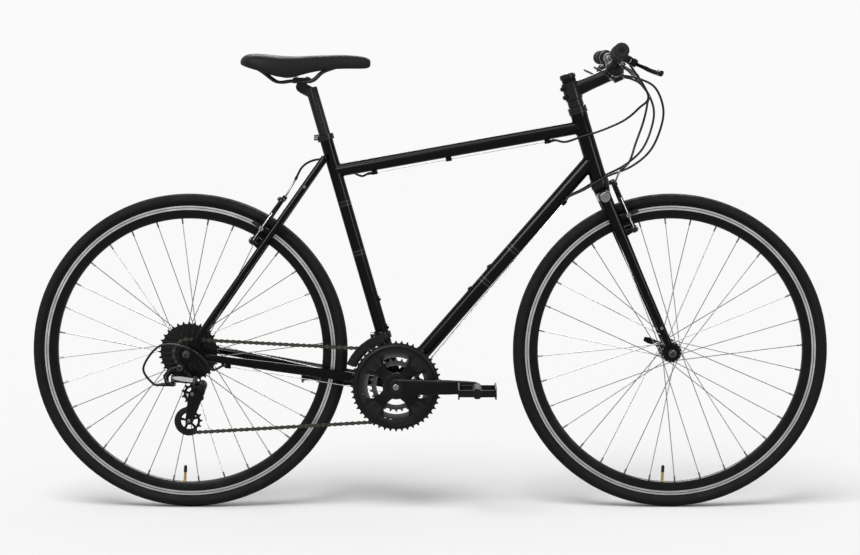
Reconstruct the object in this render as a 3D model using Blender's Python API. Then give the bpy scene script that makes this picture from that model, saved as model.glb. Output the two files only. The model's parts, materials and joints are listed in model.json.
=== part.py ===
# Flat-bar hybrid bicycle, in metres. X points forward, Y to the rider's left and Z up.
# The origin is on the ground, midway between the two axles. The drive side is at -Y.
import math

import bmesh
import bpy
from mathutils import Matrix, Vector
from mathutils.geometry import convex_hull_2d

X = Vector((1, 0, 0))
Y = Vector((0, 1, 0))
Z = Vector((0, 0, 1))

# Clearance between separate pieces that touch on the real bicycle
GAP = 0.0003

# How many flats a round shape has
LARGE_SIDES = 14
TUBE_SIDES = 10
PIN_SIDES = 8
BOLT_SIDES = 6

# Wheels
WHEELBASE = 1.050
TYRE_RADIUS = 0.346
TYRE_WIDTH = 0.0344
TYRE_WALL = 0.0036
RIM_RADIUS = 0.3185
RIM_WIDTH = 0.0236
RIM_WALL = 0.0020
RIM_CHANNEL_DEPTH = 0.0130
BRAKE_TRACK_HEIGHT = 0.0095
RIM_INNER_RADIUS = 0.2895
RIM_NOSE_WIDTH = 0.0130
WHEEL_SIDES = 30
SPOKES = 32
SPOKE_RADIUS = 0.0012
VALVE_RADIUS = 0.0030
VALVE_LENGTH = 0.040
VALVE_ANGLE = math.radians(-93)

# Hubs
FRONT_HUB_WIDTH = 0.100
REAR_HUB_WIDTH = 0.135
AXLE_RADIUS = 0.0048
FLANGE_RADIUS = 0.0225
FLANGE_THICKNESS = 0.0036
FRONT_FLANGE_Y = 0.0340
REAR_LEFT_FLANGE_Y = 0.0345
REAR_RIGHT_FLANGE_Y = -0.0185
FRONT_SHELL_RADIUS = 0.0135
REAR_SHELL_RADIUS = 0.0180
LOCKNUT_RADIUS = 0.0085
HUB_END_LENGTH = 0.0080
HUB_END_BEHIND_CASSETTE = 0.0045
CASSETTE_AXLE_END_Y = -0.0265
SKEWER_NUT_RADIUS = 0.0095
SKEWER_NUT_LENGTH = 0.0120
CAM_RADIUS = 0.0090
CAM_LENGTH = 0.0150
CAM_PIN_RADIUS = 0.0025
CAM_PIN_PLACE = 0.0083
CAM_EAR = 0.0032
QUICK_LEVER_LENGTH = 0.054
REAR_QUICK_LEVER_ANGLE = math.radians(125)
FRONT_QUICK_LEVER_ANGLE = math.radians(160)

# Frame
CHAINSTAY_LENGTH = 0.457
BOTTOM_BRACKET_DROP = 0.0713
SEAT_ANGLE = math.radians(74)
HEAD_ANGLE = math.radians(73)
SEAT_TUBE_LENGTH = 0.566
SEAT_TUBE_RADIUS = 0.0143
HEAD_TUBE_LENGTH = 0.149
HEAD_TUBE_RADIUS = 0.0182
HEAD_TUBE_WALL = 0.0020
TOP_TUBE_RADIUS = 0.0143
TOP_TUBE_ON_SEAT_TUBE = 0.4835
TOP_TUBE_BELOW_HEAD_TOP = 0.0290
DOWN_TUBE_RADIUS = 0.0159
DOWN_TUBE_ABOVE_HEAD_BOTTOM = 0.0470
SHELL_RADIUS = 0.0205
SHELL_WIDTH = 0.068
SHELL_WALL = 0.0030
CUP_FLANGE = 0.0040
DROPOUT_THICKNESS = 0.0060
DROPOUT_RADIUS = 0.0180
SEATSTAY_RADIUS = 0.0075
SEATSTAY_ON_SEAT_TUBE = 0.5280
SEATSTAY_TOP_Y = 0.0165
STAY_FOOT_Y = 0.0735
STAY_FOOT_DISTANCE = 0.040
STAY_FOOT_RADIUS = 0.0064
CHAINSTAY_HEIGHT = 0.0215
CHAINSTAY_WIDTH = 0.0145
CHAINSTAY_NARROW_Y = 0.0278
CHAINSTAY_NARROW_LENGTH = 0.130
STAY_BRIDGE_RADIUS = 0.0065
SEATSTAY_BRIDGE_DISTANCE = 0.372
CHAINSTAY_BRIDGE_DISTANCE = 0.385
BOTTLE_BOSS_RADIUS = 0.0062
BOTTLE_BOSS_HEIGHT = 0.0030
BOTTLE_BOSS_SPACING = 0.064
DOWN_TUBE_BOSS_DISTANCE = 0.262
SEAT_TUBE_BOSS_DISTANCE = 0.125
TOP_TUBE_STOP_SHARES = (0.153, 0.453, 0.852)
DOWN_STOP_DISTANCE = 0.5385
DOWN_STOP_LEAN = math.radians(42)
CHAINSTAY_STOP_SHARE = 0.88
CABLE_LIFT = 0.0045
RACK_BOSS_DISTANCE = 0.440

# Fork and headset
FORK_LENGTH = 0.3857
FORK_RAKE = 0.0413
STEERER_RADIUS = 0.0143
BLADE_TOP_Y = 0.0400
BLADE_TOP_DEPTH = 0.0280
BLADE_TOP_WIDTH = 0.0200
BLADE_FOOT_DEPTH = 0.0165
BLADE_FOOT_WIDTH = 0.0135
CROWN_DROP = 0.0195
CROWN_RADIUS = 0.0175
FORK_DROPOUT_THICKNESS = 0.0055
EYELET_DISTANCE = 0.060
CUP_RADIUS = 0.0205
LOWER_CUP_HEIGHT = 0.0185
UPPER_CUP_HEIGHT = 0.0160
CUP_SKIRT = 0.0100
SPACER_HEIGHT = 0.0155
SPACER_RADIUS = 0.0172

# Stem, handlebar and grips
STEM_CLAMP_HEIGHT = 0.0385
STEM_CLAMP_RADIUS = 0.0190
STEM_LENGTH = 0.1003
STEM_RISE = math.radians(24.2)
STEM_BODY_RADIUS = 0.0150
BAR_CLAMP_RADIUS = 0.0195
BAR_CLAMP_WIDTH = 0.044
TOP_CAP_HEIGHT = 0.0200
BAR_RADIUS = 0.0127
BAR_END_RADIUS = 0.0111
BAR_HALF_WIDTH = 0.3135
BAR_RISE = 0.0390
BAR_SWEEP = 0.0090
BAR_BEND_START = 0.038
BAR_BEND_END = 0.118
GRIP_LENGTH = 0.122
GRIP_RADIUS = 0.0160
GRIP_END_WALL = 0.0035

# Brake and shift levers
PERCH_Y = 0.1700
PERCH_WIDTH = 0.020
PERCH_RADIUS = 0.0160
LEVER_DROP = math.radians(28)
LEVER_PIVOT_REACH = 0.0370
LEVER_PIVOT_Y = 0.1560
LEVER_PIN_RADIUS = 0.0030
LEVER_EYE_RADIUS = 0.0070
LEVER_THICKNESS = 0.0080
LEVER_BLADE_REACH = 0.0700
LEVER_TIP_Y = 0.2820
LEVER_TIP_REACH = 0.0880
POD_Y = 0.1330
POD_DROP = 0.0290
SHIFT_LEVER_LENGTH = 0.050
SHIFT_PIN_RADIUS = 0.0030
BARREL_LENGTH = 0.018
SHIFT_BARREL_LENGTH = 0.010

# Rim brakes
BRAKE_STUD_RADIUS = 0.0040
BRAKE_STUD_Y = 0.0400
BRAKE_STUD_FROM_AXLE = 0.2800
REAR_STUD_REACH = 0.0240
FRONT_STUD_REACH = 0.0310
BRAKE_ARM_LENGTH = 0.1130
BRAKE_ARM_DEPTH = 0.0105
BRAKE_ARM_WIDTH = 0.0120
BRAKE_BOSS_RADIUS = 0.0090
PAD_GAP = 0.0020
PAD_LENGTH = 0.052
PAD_HEIGHT = 0.0090
PAD_THICKNESS = 0.0095

# Drivetrain
CHAIN_PITCH = 0.0127
CHAIN_WIDTH = 0.0066
CHAIN_PLATE_HEIGHT = 0.0084
CHAIN_STRAIGHT_ANGLE = math.radians(2)
CHAIN_GROOVE_SIDE_GAP = 0.0005
CHAIN_GROOVE_TIP_GAP = 0.0006
TOOTH_HEIGHT = 0.0022
TOOTH_DEPTH = 0.0032
RING_THICKNESS = 0.0024
LARGE_RING_TEETH = 48
MIDDLE_RING_TEETH = 38
SMALL_RING_TEETH = 28
CHAINLINE = 0.0478
RING_SPACING = 0.0076
CHAIN_GUARD_RADIUS = 0.0925
CHAIN_GUARD_WIDTH = 0.0095
CHAIN_GUARD_THICKNESS = 0.0042
SPIDER_RADIUS = 0.0600
SPIDER_ARMS = 4
RING_HOLE_RADIUS = 0.0470
SMALL_RING_HOLE_RADIUS = 0.0260
SMALL_BOLT_CIRCLE = 0.0320
CRANK_LENGTH = 0.175
CRANK_ARM_HEIGHT = 0.0240
CRANK_ARM_THICKNESS = 0.0125
CRANK_ARM_INNER_Y = 0.0630
CRANK_TIP_INNER_Y = 0.0720
CRANK_BOSS_INNER_Y = 0.0460
CRANK_BOSS_RADIUS = 0.0165
CRANK_BOLT_RADIUS = 0.0075
SPINDLE_RADIUS = 0.0085
SPINDLE_HALF_LENGTH = 0.0635
PEDAL_AXLE_RADIUS = 0.0050
PEDAL_GAP = 0.0042
PEDAL_LENGTH = 0.082
PEDAL_WIDTH = 0.092
PEDAL_HEIGHT = 0.0270
PEDAL_BARREL_RADIUS = 0.0115
SPROCKET_TEETH = (11, 13, 15, 18, 21, 24, 28, 32)
SPROCKET_SPACING = 0.0048
SPROCKET_THICKNESS = 0.0018
FIRST_SPROCKET_Y = -0.0625
CHAIN_SPROCKET = 2
FREEHUB_RADIUS = 0.0165
CASSETTE_OUTER_Y = -0.0645

# Rear derailleur, from the rear axle
HANGER_BOLT = Vector((-0.0130, 0, -0.0280))
LINK_PIVOT_REAR = Vector((-0.0275, 0, -0.0510))
LINK_PIVOT_FRONT = Vector((0.0190, 0, -0.0550))
CAGE_PIVOT = Vector((0.0320, 0, -0.0680))
GUIDE_PULLEY = Vector((0.0100, 0, -0.0880))
TENSION_PULLEY = Vector((0.0026, 0, -0.1469))
GUIDE_PULLEY_TEETH = 11
TENSION_PULLEY_TEETH = 13
PULLEY_THICKNESS = 0.0022
LINK_SLANT = math.radians(28)
LINK_OFFSET = 0.0085
LINK_MIDDLE_Y = -0.0800
LINK_EYE_HALF = 0.0080
LINK_PIN_RADIUS = 0.0020
LINK_BAR_THICKNESS = 0.0050
LINK_BAR_DROP = 0.0144
ADJUSTER_END_X = -0.5790
CAGE_HALF_GAP = 0.0055
CAGE_PLATE = 0.0018
PULLEY_PIN_RADIUS = 0.0026

# Front derailleur
FRONT_DERAILLEUR_HEIGHT = 0.1080
FRONT_CAGE_INNER_WIDTH = 0.0120
FRONT_CAGE_HEIGHT = 0.0160
FRONT_CAGE_CLEARANCE = 0.0022
FRONT_CAGE_INNER_DROP = 0.0060
FRONT_CAGE_ANGLES = (math.radians(104), math.radians(156))
FRONT_LINK_OFFSET = Vector((-0.0226, -0.0315, 0.0068))
FRONT_LINK_LENGTH = 0.0210
FRONT_SHIFT_ANGLE = math.radians(20)
FRONT_LUG_SIZE = 0.0110
FRONT_ARM_SETBACK = 0.0040
FRONT_PLATE = 0.0014
FRONT_EYE_HALF = 0.0040

# Seat
SEATPOST_RADIUS = 0.0127
SEATPOST_TOP = 0.6600
SEATPOST_BOTTOM = 0.3900
SEAT_BORE_BOTTOM = 0.2900
SADDLE_CLAMP_HEIGHT = 0.6870
SADDLE_SETBACK = 0.0155
SADDLE_BARREL_RADIUS = 0.0110
# Each cross-section of the saddle: its place, half width, top, widest edge, skirt and underside
SADDLE_SECTIONS = (
    (-0.4117, 0.030, 0.9800, 0.9760, 0.9700, 0.9715),
    (-0.4000, 0.062, 0.9915, 0.9790, 0.9630, 0.9640),
    (-0.3825, 0.077, 0.9953, 0.9760, 0.9550, 0.9630),
    (-0.3450, 0.081, 0.9928, 0.9700, 0.9450, 0.9700),
    (-0.3050, 0.070, 0.9888, 0.9660, 0.9406, 0.9720),
    (-0.2550, 0.042, 0.9895, 0.9680, 0.9500, 0.9730),
    (-0.1976, 0.026, 0.9925, 0.9720, 0.9560, 0.9600),
    (-0.1500, 0.022, 0.9880, 0.9720, 0.9612, 0.9625),
    (-0.1350, 0.016, 0.9820, 0.9735, 0.9660, 0.9665),
    (-0.1290, 0.008, 0.9785, 0.9745, 0.9710, 0.9715),
)
RAIL_RADIUS = 0.0035
RAIL_SPACING = 0.0440
SEAT_COLLAR_HEIGHT = 0.0135
SEAT_COLLAR_WALL = 0.0040

# Cables
HOUSING_RADIUS = 0.0025
WIRE_RADIUS = 0.0009
WIRE_BORE_RADIUS = 0.0016
SHIFT_WIRE_LIFT = 0.0026
SHIFT_WIRE_Y = 0.0115
CABLE_SIDES = 6
HOUSING_STEP = 0.034


# Places that follow from the sizes above
REAR_AXLE = Vector((-WHEELBASE / 2, 0, TYRE_RADIUS))
FRONT_AXLE = Vector((WHEELBASE / 2, 0, TYRE_RADIUS))
BOTTOM_BRACKET = REAR_AXLE + Vector(
    (math.sqrt(CHAINSTAY_LENGTH**2 - BOTTOM_BRACKET_DROP**2), 0, -BOTTOM_BRACKET_DROP)
)
SEAT_UP = Vector((-math.cos(SEAT_ANGLE), 0, math.sin(SEAT_ANGLE)))
HEAD_UP = Vector((-math.cos(HEAD_ANGLE), 0, math.sin(HEAD_ANGLE)))
HEAD_FORWARD = Vector((math.sin(HEAD_ANGLE), 0, math.cos(HEAD_ANGLE)))
CROWN_RACE = FRONT_AXLE + HEAD_UP * FORK_LENGTH - HEAD_FORWARD * FORK_RAKE
HEAD_BOTTOM = LOWER_CUP_HEIGHT + 2 * GAP
HEAD_TOP = HEAD_BOTTOM + HEAD_TUBE_LENGTH
SPACER_BOTTOM = HEAD_TOP + UPPER_CUP_HEIGHT + 2 * GAP
STEM_BOTTOM = SPACER_BOTTOM + SPACER_HEIGHT + GAP
STEM_TOP = STEM_BOTTOM + STEM_CLAMP_HEIGHT


def on_steerer(distance):
    """A point on the steering axis, by its distance above the crown race."""
    return CROWN_RACE + HEAD_UP * distance


def on_seat_tube(distance):
    """A point on the seat tube's axis, by its distance from the bottom bracket."""
    return BOTTOM_BRACKET + SEAT_UP * distance


STEM_CENTRE = on_steerer((STEM_BOTTOM + STEM_TOP) / 2)
BAR_CENTRE = STEM_CENTRE + STEM_LENGTH * Vector((math.cos(STEM_RISE), 0, math.sin(STEM_RISE)))


# Shape helpers: each returns a bmesh, in place and closed


def bore_radius(pin_radius, sides):
    """The radius of a bore whose flats still clear a pin that turns in it."""
    return (pin_radius + GAP) / math.cos(math.pi / sides)


def across(direction):
    """Two unit vectors at right angles to a direction, the first of them level where it can be."""
    side = direction.cross(Z)
    if side.length < 1e-4:
        side = direction.cross(Y)
    side.normalize()
    return side, side.cross(direction).normalized()


def loft(rings, closed=False):
    """Skins rings of points, with a cap at each end or joined round into a loop."""
    bm = bmesh.new()
    loops = [[bm.verts.new(point) for point in ring] for ring in rings]
    pairs = list(zip(loops, loops[1:]))
    if closed:
        pairs.append((loops[-1], loops[0]))
    for first, second in pairs:
        count = len(first)
        for i in range(count):
            j = (i + 1) % count
            bm.faces.new((first[i], first[j], second[j], second[i]))
    if not closed:
        bm.faces.new(loops[0])
        bm.faces.new(reversed(loops[-1]))
    bmesh.ops.recalc_face_normals(bm, faces=bm.faces)
    return bm


def turned(centre, axis, profile, sides, closed=False):
    """Turns a profile of (distance along the axis, radius) pairs. A closed profile makes a ring."""
    axis = axis.normalized()
    first, second = across(axis)
    rings = []
    for along, radius in profile:
        turn = [2 * math.pi * (i + 0.5) / sides for i in range(sides)]
        rings.append(
            [
                centre + axis * along + (first * math.cos(a) + second * math.sin(a)) * radius
                for a in turn
            ]
        )
    return loft(rings, closed)


def rod(start, end, radius, sides=TUBE_SIDES, end_radius=None):
    """A straight round bar between two points."""
    axis = end - start
    return turned(start, axis, [(0, radius), (axis.length, end_radius or radius)], sides)


def pipe(points, radii, sides=TUBE_SIDES, up=None):
    """A swept tube. Each radius is a number, or a pair for the sideways and upward half-axes of an oval."""
    if not isinstance(radii, (list, tuple)):
        radii = [radii] * len(points)
    rings = []
    side = None
    for index, point in enumerate(points):
        before = points[max(index - 1, 0)]
        after = points[min(index + 1, len(points) - 1)]
        direction = (after - before).normalized()
        if up is not None:
            side = direction.cross(up).normalized()
        elif side is None:
            side = across(direction)[0]
        else:
            side = (side - direction * side.dot(direction)).normalized()
        top = side.cross(direction)
        wide, tall = radii[index] if isinstance(radii[index], tuple) else (radii[index],) * 2
        rings.append(
            [
                point
                + side * wide * math.cos(2 * math.pi * (i + 0.5) / sides)
                + top * tall * math.sin(2 * math.pi * (i + 0.5) / sides)
                for i in range(sides)
            ]
        )
    return loft(rings)


def slab(outline, centre, across_x, across_y, thickness):
    """A flat plate: an outline of pairs in the plane of two directions, as thick on both sides of it."""
    normal = across_x.cross(across_y).normalized()
    flat = [centre + across_x * a + across_y * b for a, b in outline]
    return loft(
        [[p - normal * thickness / 2 for p in flat], [p + normal * thickness / 2 for p in flat]]
    )


def block(centre, size, across_x=X, across_y=Y):
    """A box with its first two sides along the given directions."""
    wide, deep, tall = size
    corners = [(-wide / 2, -deep / 2), (wide / 2, -deep / 2), (wide / 2, deep / 2), (-wide / 2, deep / 2)]
    return slab(corners, centre, across_x, across_y, tall)


def smooth_route(knots, step):
    """Points about a step apart on a smooth curve through the knots."""
    points = []
    for index in range(len(knots) - 1):
        before = knots[max(index - 1, 0)]
        start = knots[index]
        end = knots[index + 1]
        after = knots[min(index + 2, len(knots) - 1)]
        count = max(1, round((end - start).length / step))
        for i in range(count):
            t = i / count
            points.append(
                0.5
                * (
                    2 * start
                    + (end - before) * t
                    + (2 * before - 5 * start + 4 * end - after) * t**2
                    + (3 * start - before - 3 * end + after) * t**3
                )
            )
    points.append(knots[-1])
    return points


def mirrored(bm):
    """The same shape on the other side of the bicycle."""
    copy = bm.copy()
    for vert in copy.verts:
        vert.co.y = -vert.co.y
    bmesh.ops.reverse_faces(copy, faces=copy.faces)
    return copy


# Objects


def finish(name, colour, roughness, metallic):
    """A material shared by every piece that has this finish."""
    material = bpy.data.materials.get(name)
    if material is None:
        material = bpy.data.materials.new(name)
        material.use_nodes = True
        shader = material.node_tree.nodes["Principled BSDF"]
        shader.inputs["Base Color"].default_value = (*colour, 1)
        shader.inputs["Roughness"].default_value = roughness
        shader.inputs["Metallic"].default_value = metallic
        material.diffuse_color = (*colour, 1)
    return material


def gloss_black():
    return finish("gloss_black_paint", (0.012, 0.012, 0.014), 0.18, 0.0)


def satin_black():
    return finish("satin_black_metal", (0.020, 0.020, 0.022), 0.45, 0.6)


def black_plastic():
    return finish("black_plastic", (0.018, 0.018, 0.019), 0.55, 0.0)


def black_rubber():
    return finish("black_rubber", (0.022, 0.022, 0.023), 0.85, 0.0)


def grey_rubber():
    return finish("grey_rubber", (0.075, 0.075, 0.080), 0.80, 0.0)


def silver():
    return finish("silver_metal", (0.70, 0.70, 0.70), 0.30, 1.0)


def dark_steel():
    return finish("dark_steel", (0.16, 0.15, 0.14), 0.40, 0.9)


def pivot(name, location, parent=None):
    """An empty on a joint's axis, which carries the pieces that move about it."""
    empty = bpy.data.objects.new(name, None)
    empty.empty_display_size = 0.03
    bpy.context.scene.collection.objects.link(empty)
    empty.matrix_world = Matrix.Translation(location)
    if parent is not None:
        empty.parent = parent
        empty.matrix_parent_inverse = Matrix.Identity(4)
        empty.location = location - place_of(parent)
    return empty


def place_of(empty):
    """Where an empty stands in the world."""
    place = Vector(empty.location)
    while empty.parent is not None:
        empty = empty.parent
        place += Vector(empty.location)
    return place


def mesh_from(shapes):
    """One mesh that holds several shapes."""
    whole = bmesh.new()
    for shape in shapes:
        part = bpy.data.meshes.new("shape")
        shape.to_mesh(part)
        whole.from_mesh(part)
        bpy.data.meshes.remove(part)
    mesh = bpy.data.meshes.new("shapes")
    whole.to_mesh(mesh)
    whole.free()
    return mesh


def helper(shapes):
    """A hidden object that a Boolean reads."""
    obj = bpy.data.objects.new("helper", mesh_from(shapes))
    bpy.context.scene.collection.objects.link(obj)
    obj.hide_render = True
    obj.display_type = "WIRE"
    return obj


def combined(base, others, operation):
    """The mesh of one shape joined with others or cut by them."""
    target = helper([base])
    tool = helper(others)
    modifier = target.modifiers.new(operation, "BOOLEAN")
    modifier.operation = operation
    modifier.object = tool
    modifier.solver = "EXACT"
    modifier.use_self = len(others) > 1
    graph = bpy.context.evaluated_depsgraph_get()
    result = bmesh.new()
    result.from_mesh(bpy.data.meshes.new_from_object(target.evaluated_get(graph)))
    bpy.data.objects.remove(target)
    bpy.data.objects.remove(tool)
    return result


def joined(shapes):
    """Several shapes as one closed body."""
    return combined(shapes[0], shapes[1:], "UNION")


def cut(shape, cutters):
    """A shape with cutters taken out of it."""
    return combined(shape, cutters, "DIFFERENCE")


def piece(name, shape, material, carrier, smooth_angle=38):
    """The finished object of one piece, with its origin where its carrier stands."""
    mesh = bpy.data.meshes.new(name)
    shape.to_mesh(mesh)
    mesh.transform(Matrix.Translation(-place_of(carrier)))
    mesh.materials.clear()
    mesh.materials.append(material)
    mesh.shade_smooth()
    mesh.set_sharp_from_angle(angle=math.radians(smooth_angle))
    obj = bpy.data.objects.new(name, mesh)
    bpy.context.scene.collection.objects.link(obj)
    obj.parent = carrier
    return obj


def clear_scene():
    for obj in list(bpy.data.objects):
        bpy.data.objects.remove(obj)


# Wheels


def tyre_shape(centre):
    """A hollow tyre, open towards the rim, whose beads stand in the rim's channel."""
    bead = RIM_RADIUS - RIM_CHANNEL_DEPTH * 0.6
    bead_y = RIM_WIDTH / 2 - RIM_WALL - 2 * GAP
    middle = (TYRE_RADIUS + RIM_RADIUS) / 2
    half = TYRE_WIDTH / 2
    outer = [
        (bead_y, bead),
        (bead_y, RIM_RADIUS + 2 * GAP),
        (half, middle - 0.0015),
        (half * 0.93, middle + 0.0065),
        (half * 0.30, TYRE_RADIUS),
    ]
    inner = [
        (-(half - TYRE_WALL) * 0.62, TYRE_RADIUS - TYRE_WALL),
        (-(half - TYRE_WALL), middle),
        (-(bead_y - TYRE_WALL * 0.7), bead),
    ]
    profile = outer + [(-y, r) for y, r in reversed(outer)]
    profile += [(y, r) for y, r in reversed(inner)] + [(-y, r) for y, r in inner]
    return turned(centre, Y, profile, WHEEL_SIDES, closed=True)


def rim_shape(centre, valve_direction):
    """A double-wall rim with a tyre channel, brake tracks and a hole for the valve."""
    half = RIM_WIDTH / 2
    floor = RIM_RADIUS - RIM_CHANNEL_DEPTH
    right = [
        (RIM_NOSE_WIDTH / 2, RIM_INNER_RADIUS),
        (half, RIM_RADIUS - BRAKE_TRACK_HEIGHT),
        (half, RIM_RADIUS),
        (half - RIM_WALL, RIM_RADIUS),
        (half - RIM_WALL, floor),
    ]
    profile = right + [(-y, r) for y, r in reversed(right)]
    rim = turned(centre, Y, profile, WHEEL_SIDES, closed=True)
    hole = rod(
        centre + valve_direction * (RIM_INNER_RADIUS - 0.005),
        centre + valve_direction * (floor + 0.004),
        VALVE_RADIUS + GAP,
        PIN_SIDES,
    )
    return cut(rim, [hole])


def inner_tube_shape(centre, valve_direction):
    """The air tube inside the tyre, with its valve reaching in through the rim."""
    middle = (TYRE_RADIUS + RIM_RADIUS) / 2
    half = TYRE_WIDTH / 2 - TYRE_WALL - 3 * GAP
    low = RIM_RADIUS - 0.001
    high = TYRE_RADIUS - TYRE_WALL - 4 * GAP
    profile = [
        (half * 0.50, low),
        (half * 0.86, middle + 0.001),
        (0, high),
        (-half * 0.86, middle + 0.001),
        (-half * 0.50, low),
    ]
    ring = turned(centre, Y, profile, WHEEL_SIDES, closed=True)
    inner_end = RIM_RADIUS - VALVE_LENGTH
    valve = turned(
        centre,
        valve_direction,
        [
            (inner_end - 0.013, VALVE_RADIUS * 0.7),
            (inner_end - 0.011, VALVE_RADIUS),
            (low + 0.004, VALVE_RADIUS),
        ],
        BOLT_SIDES,
    )
    return joined([ring, valve])


def spoke_shapes(centre, left_y, right_y, first_angle):
    """Two sets of crossed spokes from the hub flanges to the rim, each a slim three-sided rod."""
    shapes = []
    rim_reach = RIM_INNER_RADIUS * math.cos(math.pi / WHEEL_SIDES) - GAP
    lead = math.radians(360 / SPOKES * 5.2)
    for index in range(SPOKES):
        angle = first_angle + 2 * math.pi * index / SPOKES
        on_left = index % 2 == 0
        pulls_forward = index % 4 < 2
        flange_angle = angle + (lead if pulls_forward else -lead)
        flange_y = left_y if on_left else right_y
        flange_y += FLANGE_THICKNESS * (0.25 if pulls_forward == on_left else -0.25)
        start = centre + Y * flange_y + FLANGE_RADIUS * 0.86 * radial(flange_angle)
        nipple_y = 0.0022 if on_left else -0.0022
        end = centre + Y * nipple_y + rim_reach * radial(angle)
        shapes.append(rod(start, end, SPOKE_RADIUS, 3))
    return shapes


def radial(angle):
    """The direction at an angle in the wheels' plane, measured from forward and up."""
    return Vector((math.cos(angle), 0, math.sin(angle)))


def hub_shape(centre, left_y, right_y, shell_radius, left_end, right_end, first_angle):
    """A hub shell with two flanges and all of its spokes, bored for the axle."""
    edge = FLANGE_THICKNESS / 2
    profile = [
        (right_end, LOCKNUT_RADIUS + 0.003),
        (right_y - edge, shell_radius),
        (right_y - edge, FLANGE_RADIUS),
        (right_y + edge, FLANGE_RADIUS),
        (right_y + edge + 0.004, shell_radius),
        (left_y - edge - 0.004, shell_radius),
        (left_y - edge, FLANGE_RADIUS),
        (left_y + edge, FLANGE_RADIUS),
        (left_y + edge, shell_radius),
        (left_end, LOCKNUT_RADIUS + 0.003),
    ]
    shell = turned(centre, Y, profile, TUBE_SIDES)
    spoked = joined([shell] + spoke_shapes(centre, left_y, right_y, first_angle))
    bore = rod(centre + Y * (right_end - 0.01), centre + Y * (left_end + 0.01), bore_radius(AXLE_RADIUS, PIN_SIDES), PIN_SIDES)
    return cut(spoked, [bore])


def cam_pin_place(centre, hub_width, dropout_thickness):
    """The middle of the pin that a quick-release lever turns on."""
    return centre + Y * (hub_width / 2 + dropout_thickness + GAP + CAM_PIN_PLACE)


def axle_shape(centre, hub_width, left_shell_end, right_shell_end, dropout_thickness, angle):
    """An axle with locknuts inside the dropouts, a skewer nut on the right and a cam with its pin on the left."""
    face = hub_width / 2 - GAP
    outside = hub_width / 2 + dropout_thickness + GAP
    profile = [
        (-outside - SKEWER_NUT_LENGTH, SKEWER_NUT_RADIUS * 0.55),
        (-outside - SKEWER_NUT_LENGTH + 0.003, SKEWER_NUT_RADIUS * 0.8),
        (-outside, SKEWER_NUT_RADIUS),
        (-outside, AXLE_RADIUS),
        (-face, AXLE_RADIUS),
        (-face, LOCKNUT_RADIUS),
        (right_shell_end - GAP, LOCKNUT_RADIUS),
        (right_shell_end - GAP, AXLE_RADIUS),
        (left_shell_end + GAP, AXLE_RADIUS),
        (left_shell_end + GAP, LOCKNUT_RADIUS),
        (face, LOCKNUT_RADIUS),
        (face, AXLE_RADIUS),
        (outside, AXLE_RADIUS),
        (outside, CAM_RADIUS),
        (outside + CAM_LENGTH, CAM_RADIUS),
    ]
    middle = cam_pin_place(centre, hub_width, dropout_thickness)
    half = CAM_RADIUS + GAP + CAM_EAR
    pin_way = radial(angle).cross(Y)
    pin = rod(middle - pin_way * half, middle + pin_way * half, CAM_PIN_RADIUS, PIN_SIDES)
    return joined([turned(centre, Y, profile, PIN_SIDES), pin])


def quick_lever_shape(centre, hub_width, dropout_thickness, angle):
    """A quick-release lever, closed: two ears on the cam's pin, a bridge clear of the cam, and the blade."""
    middle = cam_pin_place(centre, hub_width, dropout_thickness)
    reach = radial(angle)
    pin_way = reach.cross(Y)
    inner = CAM_RADIUS + GAP
    half = inner + CAM_EAR
    bridge = 0.0145
    shapes = [
        block(
            middle + reach * (bridge - 0.004) / 2 + pin_way * side * (half - CAM_EAR / 2),
            (bridge + 0.006, CAM_EAR, 0.0085),
            reach,
            pin_way,
        )
        for side in (-1, 1)
    ]
    shapes.append(block(middle + reach * bridge, (0.0036, 2 * half - 0.0006, 0.0078), reach, pin_way))
    shapes.append(
        pipe(
            [
                middle + reach * bridge,
                middle + reach * QUICK_LEVER_LENGTH * 0.50 + Y * 0.0020,
                middle + reach * QUICK_LEVER_LENGTH * 0.80 + Y * 0.0020,
                middle + reach * QUICK_LEVER_LENGTH - Y * 0.0010,
            ],
            [(0.0080, 0.0026), (0.0068, 0.0026), (0.0080, 0.0026), (0.0055, 0.0020)],
            BOLT_SIDES,
            up=Y,
        )
    )
    bore = rod(
        middle - pin_way * 0.02, middle + pin_way * 0.02, bore_radius(CAM_PIN_RADIUS, PIN_SIDES), PIN_SIDES
    )
    return cut(joined(shapes), [bore])


# Frame


def seatstay_line():
    """The left seatstay's foot and top."""
    top = on_seat_tube(SEATSTAY_ON_SEAT_TUBE)
    along = (top - REAR_AXLE).normalized()
    foot = REAR_AXLE + along * STAY_FOOT_DISTANCE
    return foot + Y * STAY_FOOT_Y, top + Y * SEATSTAY_TOP_Y


def seatstay_at(distance):
    """A point on the left seatstay, by its distance from the axle along the stay in side view."""
    foot, top = seatstay_line()
    full = Vector((top.x - REAR_AXLE.x, 0, top.z - REAR_AXLE.z)).length
    share = (distance - STAY_FOOT_DISTANCE) / (full - STAY_FOOT_DISTANCE)
    return foot.lerp(top, share)


def chainstay_route():
    """The left chainstay's centre line, from the bottom bracket shell to the dropout."""
    forward = (BOTTOM_BRACKET - REAR_AXLE).normalized()
    narrow = BOTTOM_BRACKET - forward * CHAINSTAY_NARROW_LENGTH
    foot = REAR_AXLE + forward * STAY_FOOT_DISTANCE
    bend = narrow.lerp(foot, 0.45)
    knots = [
        BOTTOM_BRACKET - forward * SHELL_RADIUS * 0.4 + Y * (CHAINSTAY_NARROW_Y - 0.001),
        narrow + Y * CHAINSTAY_NARROW_Y,
        bend + Y * (CHAINSTAY_NARROW_Y + STAY_FOOT_Y) * 0.5,
        foot.lerp(narrow, 0.12) + Y * (STAY_FOOT_Y - 0.0035),
        foot + Y * STAY_FOOT_Y,
    ]
    return knots


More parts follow.
